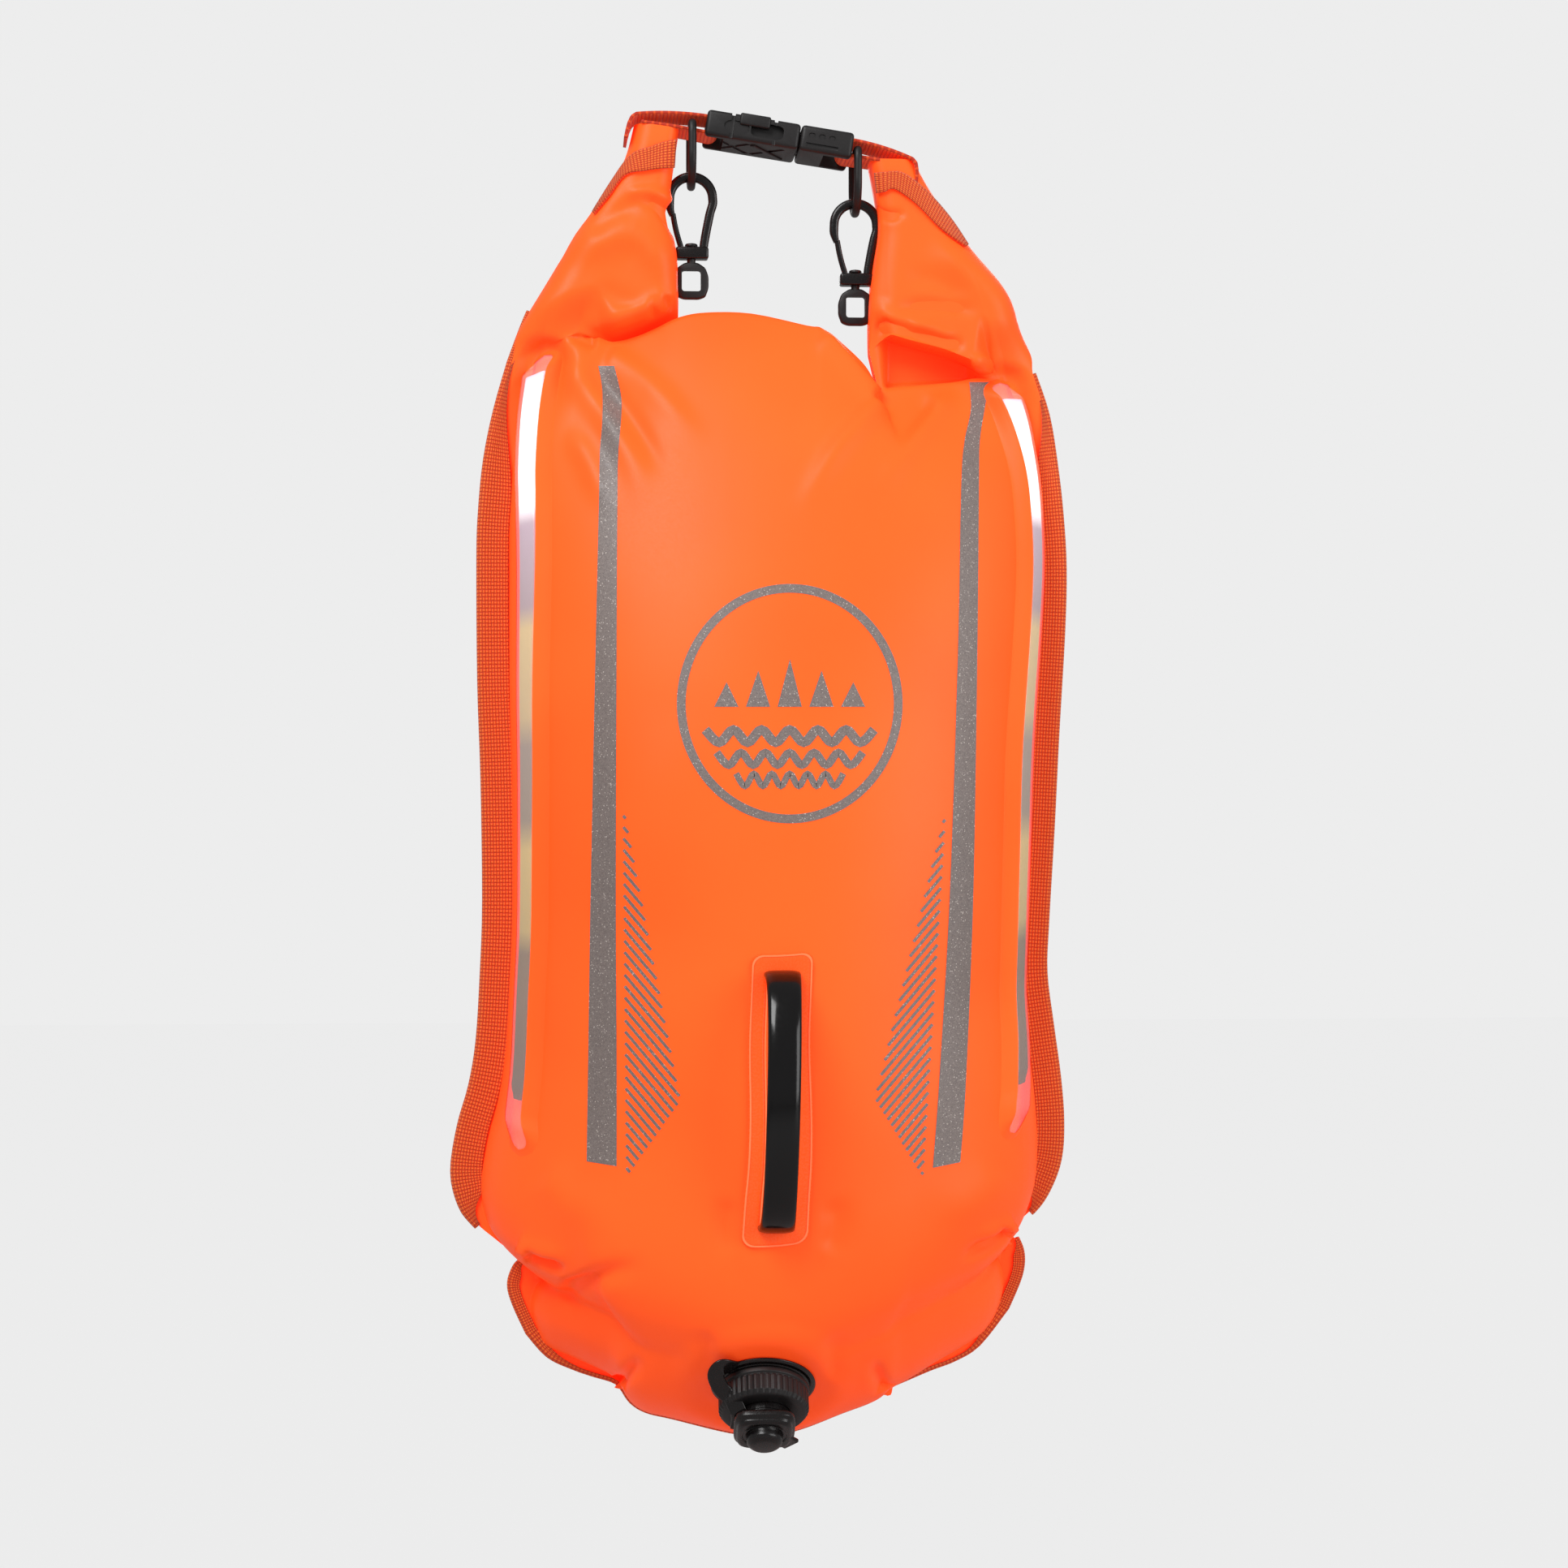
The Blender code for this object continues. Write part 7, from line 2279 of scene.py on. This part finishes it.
@dataclass
class Closure:
    """The side-release buckle and the webbing loops through its bars."""

    slope: float = math.radians(8.5)
    half_thick: float = 0.0063
    half_wide: float = 0.018
    mouth: float = 0.011
    socket_length: float = 0.046
    plug_length: float = 0.026
    bar: float = 0.004
    bar_slot: float = 0.0055
    wall: float = 0.0023
    side_wall: float = 0.003
    cavity: float = 0.032
    gap: float = 0.0004
    slot_half: float = 0.0134
    loop: float = 0.0032
    webbing: float = 0.0015
    webbing_half: float = 0.0125
    edge: float = 0.0019
    tongue_half: float = 0.002
    tongue_length: float = 0.023
    notch_half: float = 0.0009
    tails: dict[Side, float] = field(default_factory=lambda: {Side.LEFT: -0.0665, Side.RIGHT: 0.0610})
    corners: dict[Side, float] = field(default_factory=lambda: {Side.LEFT: -0.0692, Side.RIGHT: 0.0676})
    droop: float = 0.0044

    @property
    def frame(self) -> Matrix:
        """The buckle's frame, with X along it and Z up."""
        return Matrix.Translation((0, 0, self.half_thick)) @ Matrix.Rotation(self.slope, 4, "Y")

    def block(self, low: Sequence[float], high: Sequence[float], edge: float = 0.0) -> bmesh.types.BMesh:
        """A box in the buckle's frame."""
        return block(low, high, self.frame, edge, 4)

    def recess(self, centre: Pixel, half: Pixel, depth: float, power: float = 2.6) -> bmesh.types.BMesh:
        """A round-ended tool that sinks an oval into the front side, by centre and half size along and up."""
        bm = bmesh.new()
        bmesh.ops.create_circle(bm, cap_ends=True, radius=1.0, segments=48)
        for vert in bm.verts:
            x, y = vert.co.x, vert.co.y
            size = (abs(x) ** power + abs(y) ** power) ** (1 / power)
            vert.co.x, vert.co.y = x / size * half[0], y / size * half[1]
        shift_new(bm, bmesh.ops.extrude_face_region(bm, geom=bm.faces[:]), (0, 0, depth * 2))
        bmesh.ops.recalc_face_normals(bm, faces=bm.faces)
        place = self.frame @ Matrix.Translation((centre[0], -self.half_wide - depth, centre[1])) \
            @ Matrix.Rotation(math.radians(-90), 4, "X")
        bm.transform(place)
        return bm

    def build_socket(self, finish: bpy.types.Material) -> None:
        """Makes the socket half."""
        start = self.mouth - self.socket_length
        half, wide, slot = self.half_thick, self.half_wide, self.slot_half
        body = self.block((start, -wide, -half), (self.mouth, wide, half), self.edge)
        made = publish(body, "buckle_socket_half", finish, 40)
        bar_end = start + self.bar
        inner_half, inner_wide = half - self.wall, wide - self.side_wall
        over = half + 0.002
        window = self.mouth - 0.008
        tools = [self.block((bar_end, -slot, -over), (bar_end + self.bar_slot, slot, over), 0.0006),
                 self.block((start - 0.002, -slot, 0.002), (bar_end + 0.0004, slot, over), 0.0004),
                 self.block((start - 0.002, -slot, -over), (bar_end + 0.0004, slot, -0.002), 0.0004),
                 self.block((self.mouth - self.cavity, -inner_wide, -inner_half),
                            (self.mouth + 0.002, inner_wide, inner_half)),
                 self.recess((window - 0.008, 0), (0.008, inner_half - 0.0004), self.side_wall + 0.0022, 4.0),
                 self.recess((-0.0200, -0.0002), (0.0062, 0.0029), 0.0007),
                 self.block((-0.0275, -0.0105, half - 0.0007), (-0.0245, 0.0105, half + 0.002), 0.0003),
                 self.block((-0.0225, -0.0105, half - 0.0007), (-0.0195, 0.0105, half + 0.002), 0.0003)]
        back = self.recess((window - 0.008, 0), (0.008, inner_half - 0.0004), self.side_wall + 0.0022, 4.0)
        for vert in back.verts:
            vert.co.y = -vert.co.y
        bmesh.ops.recalc_face_normals(back, faces=back.faces)
        for centre, turn in ((-0.0205, 34), (-0.0205, -34), (-0.0035, 34), (-0.0035, -34)):
            rib = Matrix.Translation((centre, 0, -half)) @ Matrix.Rotation(math.radians(turn), 4, "Z")
            tools.append(block((-0.0014, -0.0135, -0.0008), (0.0014, 0.0135, 0.0007), self.frame @ rib,
                               0.0003))
        for notch in (-0.0222, -0.0012):
            low, high = notch - self.notch_half, notch + self.notch_half
            tools.append(self.block((low, -wide - 0.002, half - 0.0012), (high, wide + 0.002, half + 0.002),
                                    0.0004))
            tools.append(self.block((low, -wide - 0.002, -half), (high, -wide + self.notch_half, half),
                                    0.0004))
        carve(made, tools + [back])
        raised = self.block((-0.0190, -wide - 0.0008, 0.0012), (-0.0040, -0.0060, half + 0.0007), 0.0010)
        carve(made, [raised], "UNION", 40)
        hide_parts("buckle_socket")
        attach(made, "root")
        dress(made, Slot.PLASTIC)

    def build_plug(self, finish: bpy.types.Material) -> None:
        """Makes the plug half with its tongue; the sprung arms keep their own pieces."""
        start = self.mouth + self.gap
        end = start + self.plug_length
        half, wide, slot = self.half_thick, self.half_wide, self.slot_half
        body = self.block((start, -wide, -half), (end, wide, half), self.edge)
        made = publish(body, "buckle_plug_half", finish, 40)
        inner = half - self.wall - self.gap
        tongue = self.block((start - self.tongue_length, -self.tongue_half, -inner),
                            (start + 0.002, self.tongue_half, inner), 0.0005)
        carve(made, [tongue], "UNION")
        over, bar_start = half + 0.002, end - self.bar
        tools = [self.block((start + 0.0125, -slot, -over), (bar_start, slot, over), 0.0006),
                 self.block((bar_start - 0.0004, -slot, 0.002), (end + 0.002, slot, over), 0.0004),
                 self.block((bar_start - 0.0004, -slot, -over), (end + 0.002, slot, -0.002), 0.0004),
                 self.block((start + 0.0030, -wide - 0.001, -0.0040),
                            (start + 0.0190, -wide + 0.0009, -0.0022), 0.0004),
                 self.block((start + 0.0045, -0.0105, half - 0.0007), (start + 0.0075, 0.0105, half + 0.002),
                            0.0003)]
        tools += [self.recess((start + 0.0055 + step * 0.0050, 0.0016), (0.0016, 0.0012), 0.0005)
                  for step in range(3)]
        carve(made, tools, sharp=40)
        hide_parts("buckle_plug")
        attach(made, "right_end")
        dress(made, Slot.PLASTIC)

    def build_strap(self, side: Side, finish: bpy.types.Material) -> None:
        """Makes the webbing loop, whose tails close on the rolled end."""
        radius = self.loop + self.webbing / 2
        bar = (self.mouth - self.socket_length + self.bar / 2 if side is Side.LEFT
               else self.mouth + self.gap + self.plug_length - self.bar / 2)
        tail = self.tails[side]
        way = 1 if bar > tail else -1
        turns = np.linspace(0, math.pi, 25)[1:-1]
        loop = [(bar + way * radius * math.sin(turn), radius * math.cos(turn)) for turn in turns]
        outward = np.linspace(0, 1, 30)
        corner = self.corners[side]
        over = [(corner + (bar - corner) * t, radius - self.droop * (1 - t) ** 2) for t in outward]
        high = radius - self.droop
        bend = [(corner - way * 0.0036, high - 0.0125), (corner - way * 0.0034, high - 0.0085),
                (corner - way * 0.0030, high - 0.0050), (corner - way * 0.0020, high - 0.0018)]
        under = [(bar + (tail - bar) * t, -radius + 0.0004 * math.sin(math.pi * t)) for t in outward]
        path = np.array(bend + over + loop + under[:-1]
                        + [(tail + way * 0.0002, -radius + 0.0005)])
        lengths = run_lengths(path)
        rows = 120
        wanted = np.linspace(0, lengths[-1], rows + 1)
        path = np.stack([np.interp(wanted, lengths, path[:, i]) for i in range(2)], axis=-1)
        frame = np.array(self.frame)

        def place(a: np.ndarray, b: np.ndarray) -> np.ndarray:
            index = np.round(b * rows).astype(int)
            rim = 1 - 0.00012 / self.webbing_half * (np.abs(a - 0.5) > 0.46)
            local = np.stack([path[index, 0], (a * 2 - 1) * self.webbing_half * rim, path[index, 1],
                              np.ones(len(a))], axis=-1)
            return (local @ frame.T)[:, :3]

        bm = bent_grid(16, rows, place, (self.webbing_half * 2, float(lengths[-1])))
        turn_faces(bm, tuple(frame[:3, 2]))
        made = thicken(publish(bm, "webbing_loop_" + side.word, finish, 60), self.webbing, 0.0)
        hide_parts("strap_" + side.word)
        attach(made, "root" if side is Side.LEFT else "right_end")
        dress(made, Slot.WEBBING)

    def build(self, finish: dict[str, bpy.types.Material]) -> None:
        """Builds the buckle and its webbing."""
        self.build_socket(finish["plastic"])
        self.build_plug(finish["plastic"])
        for side in Side:
            self.build_strap(side, finish["webbing"])


@dataclass
class Hardware:
    """The rings in the webbing's loops, with the snap hooks and swivelling eyes that hang from them."""

    wire: float = 0.002
    ring_half: float = 0.0148
    ring_drop: float = 0.0285
    rod: float = 0.00225
    hook_half: float = 0.0105
    foot_drop: float = 0.030
    collar_high: float = 0.006
    eye_half: float = 0.0085
    eye_high: float = 0.018
    eye_gap: float = 0.0016
    eye_thick: float = 0.0045
    eye_rim: float = 0.0038
    eye_edge: float = 0.0011
    gate_wide: float = 0.0014
    gate_thick: float = 0.0017
    rivet: float = 0.0021

    def bar_place(self, side: Side) -> Vector:
        """The middle of a ring's straight bar."""
        low, high = (Vector(corner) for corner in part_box("d_ring_" + side.word))
        return Vector(((low.x + high.x) / 2, 0, high.z - self.wire))

    def build_ring(self, side: Side, finish: bpy.types.Material) -> None:
        """Makes the ring, with a flat bar and a round bow."""
        bar = np.array(self.bar_place(side))
        drop = self.ring_drop - self.ring_half
        path = [bar + (0, share * self.ring_half, 0) for share in np.linspace(-1, 1, 24)]
        path[0] = path[0] + (0, 0, -0.0006)
        path[-1] = path[-1] + (0, 0, -0.0006)
        path += [bar + (0, self.ring_half, -drop * share) for share in (0.35, 0.65)]
        path += [bar + (0, self.ring_half * math.cos(turn), -drop - self.ring_half * math.sin(turn))
                 for turn in np.linspace(0, math.pi, 48)]
        path += [bar + (0, -self.ring_half, -drop * share) for share in (0.65, 0.35)]
        bm = swept(np.array(path), oval(self.wire, self.wire, 0.9), Vector((1, 0, 0)), 20, True)
        made = publish(bm, "moulded_ring_" + side.word, finish, 60)
        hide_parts("d_ring_" + side.word)
        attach(made, "ring_" + side.word)
        dress(made, Slot.PLASTIC)

    def build_hook(self, side: Side, pivot: Vector, finish: bpy.types.Material) -> None:
        """Makes the hook's bowed body with its collar."""
        top = self.wire + 0.0004 + self.rod
        centre, half = self.hook_half - top, self.hook_half
        drops = [(0.0062, self.foot_drop + 0.003), (0.0064, self.foot_drop - 0.0022), (0.0090, 0.0142),
                 (half, centre + 0.003)]
        arch = [(half * math.cos(turn),
                 centre - half * math.sin(turn)) for turn in np.linspace(0, math.pi, 13)]
        tip = [(-half, centre + 0.00425), (-half + 0.0011, centre + 0.0085)]
        line = smooth_line(np.array(drops + arch + tip), 5)
        path = np.stack([pivot.x + line[:, 0], np.full(len(line), pivot.y), pivot.z - line[:, 1]], axis=-1)

        def section(a: np.ndarray, b: np.ndarray) -> tuple[np.ndarray, np.ndarray]:
            cos, sin = round_of(a)
            swell = 1 + 0.10 * np.sin(np.clip(b, 0, 1) * np.pi)
            tip_share = 1 - 0.32 * smooth_step(0.93, 1.0, b)
            return squared(cos, 0.7) * self.rod * swell * tip_share * 0.96, squared(sin, 0.7) * self.rod

        bm = swept(path, section, Vector((0, 1, 0)), 22)
        made = publish(bm, "hook_body_" + side.word, finish, 50)
        low = pivot + Vector((-0.00775, -0.0042, -self.foot_drop - self.collar_high))
        high = pivot + Vector((0.00845, 0.0042, -self.foot_drop))
        carve(made, [block(low, high, None, 0.0013, 4)], "UNION")
        seat = Matrix.Translation(pivot + Vector((0, 0, -self.foot_drop - self.collar_high / 2)))
        rivet_hole = turned([(0, -0.006), (0.0025, -0.006), (0.0025, 0.006), (0, 0.006)], seat, 32)
        carve(made, [rivet_hole], sharp=45)
        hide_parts("snap_hook_" + side.word)
        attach(made, "hook_" + side.word)
        dress(made, Slot.PLASTIC)
        hinge = pivot + Vector((-0.0055, 0, -self.foot_drop + 0.0018))
        end = Vector(path[-1]) + Vector((0.0004, 0, 0.0006))
        foot = hinge + (hinge - end).normalized() * 0.0016
        points = np.array([foot + (end - foot) * t for t in np.linspace(0, 1, 20)])
        points[:, 0] -= 0.0004 * np.sin(np.linspace(0, math.pi, 20))
        blade = swept(points, oval(self.gate_wide, self.gate_thick, 0.7), Vector((0, 1, 0)), 16)
        gate = publish(blade, "gate_blade_" + side.word, finish, 50)
        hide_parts("hook_gate_" + side.word)
        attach(gate, "gate_" + side.word)
        dress(gate, Slot.PLASTIC)

    def build_eye(self, side: Side, seat: Vector, finish: bpy.types.Material) -> None:
        """Makes the swivelling eye: a rounded plate with a slot, on a riveted stem."""
        half, high = self.eye_half, self.eye_high
        corners = ((-0.36, 0.0), (0.36, 0.0), (0.82, 0.14), (1.0, 0.38), (1.0, 0.70), (0.82, 0.93),
                   (0.45, 1.0), (-0.45, 1.0), (-0.82, 0.93), (-1.0, 0.70), (-1.0, 0.38), (-0.82, 0.14))
        bm = bmesh.new()
        verts = [bm.verts.new((seat.x + x * half, seat.y - self.eye_thick / 2,
                               seat.z - self.eye_gap - y * high))
                 for x, y in corners]
        shift_new(bm, bmesh.ops.extrude_face_region(bm, geom=[bm.faces.new(verts)]), (0, self.eye_thick, 0))
        bmesh.ops.recalc_face_normals(bm, faces=bm.faces)
        round_edges(bm, self.eye_edge, 3)
        made = publish(bm, "swivel_eye_" + side.word, finish, 45)
        rim = self.eye_rim
        slot_low = seat + Vector((-half + rim, -0.006, -self.eye_gap - high + rim))
        slot_high = seat + Vector((half - rim, 0.006, -self.eye_gap - rim))
        carve(made, [block(slot_low, slot_high, None, 0.0014, 4)])
        head = self.collar_high + 0.0004
        stem = rounded_profile(((0, -0.0035, 0), (self.rivet, -0.0035, 0), (self.rivet, head, 0),
                                (0.0032, head, 0.0003), (0.0030, head + 0.0012, 0.0006),
                                (0, head + 0.0018, 0)))
        carve(made, [turned(stem, Matrix.Translation(seat), 32)], "UNION", 45)
        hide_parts("strap_eye_" + side.word)
        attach(made, "eye_" + side.word)
        dress(made, Slot.PLASTIC)

    def build(self, finish: dict[str, bpy.types.Material]) -> None:
        """Builds the rings and what hangs from them."""
        for side in Side:
            self.build_ring(side, finish["plastic"])
            pivot = self.bar_place(side) - Vector((0, 0, self.ring_drop))
            self.build_hook(side, pivot, finish["rubber"])
            seat = pivot - Vector((0, 0, self.foot_drop + self.collar_high))
            self.build_eye(side, seat, finish["plastic"])


@dataclass
class Studio:
    """A pale floor under the hanging buoy, soft lamps and the camera."""

    floor_drop: float = 0.10
    pale: Colour = srgb(237, 237, 237)
    key: float = 31.0
    fill: float = 16.0
    back: float = 10.0
    world: float = 0.36
    key_place: tuple[float, float, float] = (-0.85, -1.35, 1.15)
    fill_place: tuple[float, float, float] = (1.5, -1.3, 0.0)
    back_place: tuple[float, float, float] = (0.3, 1.7, 0.6)
    floor_width: float = 8.0

    def seen_pale(self, sheet: NodeSheet, shader: bpy.types.Node, lit: bpy.types.NodeSocket) \
            -> bpy.types.NodeSocket:
        """Mixes a lit shader with the pale colour that the camera and rays through clear pieces see."""
        path = sheet.add("ShaderNodeLightPath")
        seen = sheet.math("ADD", path.outputs["Is Camera Ray"], path.outputs["Is Transmission Ray"],
                          clamp=True)
        glow = sheet.add(shader, {"Color": (*self.pale, 1), "Strength": 1.0})
        return sheet.add("ShaderNodeMixShader", {0: seen, 1: lit, 2: glow.outputs[0]}).outputs[0]

    def build_world(self) -> None:
        """Makes the plain world."""
        world = bpy.data.worlds.new("pale_room")
        world.use_nodes = True
        bpy.context.scene.world = world
        sheet = NodeSheet(world.node_tree)
        lit = world.node_tree.nodes["Background"]
        lit.inputs["Color"].default_value = (1, 1, 1, 1)
        lit.inputs["Strength"].default_value = self.world
        seen = self.seen_pale(sheet, "ShaderNodeBackground", lit.outputs[0])
        sheet.feed(world.node_tree.nodes["World Output"].inputs["Surface"], seen)

    def build_floor(self) -> None:
        """Makes the floor, which shows pale and takes the shadow."""
        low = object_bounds()[0][2] - self.floor_drop
        wide = self.floor_width
        bm = bent_grid(8, 8, lambda a,
                       b: np.stack([(a - 0.5) * wide, (b - 0.5) * wide, a * 0 + low], axis=-1))
        turn_faces(bm, (0, 0, 1))
        made, sheet, shader = new_material("pale_floor")
        noise = sheet.add("ShaderNodeTexNoise", {"Vector": object_place(sheet), "Scale": 3.0})
        sheet.feed(shader.inputs["Base Color"], sheet.mix(noise.outputs["Fac"], (0.42, 0.42, 0.42, 1),
                                                          (0.46, 0.46, 0.46, 1)))
        shader.inputs["Roughness"].default_value = 0.9
        output = made.node_tree.nodes["Material Output"]
        path = sheet.add("ShaderNodeLightPath")
        glow = sheet.add("ShaderNodeEmission", {"Color": (*self.pale, 1), "Strength": 1.0})
        share = sheet.math("MULTIPLY", path.outputs["Is Camera Ray"], 0.985)
        mixed = sheet.add("ShaderNodeMixShader", {0: share, 1: shader.outputs[0], 2: glow.outputs[0]})
        sheet.feed(output.inputs["Surface"], mixed.outputs[0])
        publish(bm, "floor", made)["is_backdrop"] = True

    @staticmethod
    def lamp(name: str, place: Sequence[float], aim: Sequence[float], size: float, power: float) -> None:
        """Adds a soft square lamp."""
        data = bpy.data.lights.new(name, "AREA")
        data.size = size
        data.energy = power
        aimed_object(name, data, place, Vector(aim) - Vector(place))

    def build(self) -> None:
        """Builds the studio."""
        VIEW.camera()
        self.build_world()
        self.build_floor()
        self.lamp("key", self.key_place, (0, 0, -0.30), 1.0, self.key)
        self.lamp("fill", self.fill_place, (0, 0, -0.32), 1.2, self.fill)
        self.lamp("back", self.back_place, (0, 0, -0.3), 1.2, self.back)
        bpy.context.scene.view_settings.view_transform = "Standard"


CARRIED = {
    "valve_insert": "rubber", "valve_flap": "rubber", "valve_seal": "rubber",
    "plug_arm_front": "plastic", "plug_arm_back": "plastic",
}


def main() -> None:
    """Builds the looks, one sub-assembly after another."""
    logging.basicConfig(level=logging.INFO, format="%(message)s")
    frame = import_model()
    NODES.update(frame["nodes"])
    patterns = Patterns()
    finish = {name: row.build(patterns) for name, row in FINISHES.items()}
    Studio().build()
    for node, name in CARRIED.items():
        for slot in NODES[node].material_slots:
            slot.material = finish[name]
    skins = Skins()
    skins.build(finish)
    Bindings(skins).build(finish)
    Prints(skins).build(finish)
    Handle().build(finish)
    Lights().build(finish)
    Valve().build(finish)
    Closure().build(finish)
    Hardware().build(finish)


if __name__ == "__main__":
    main()
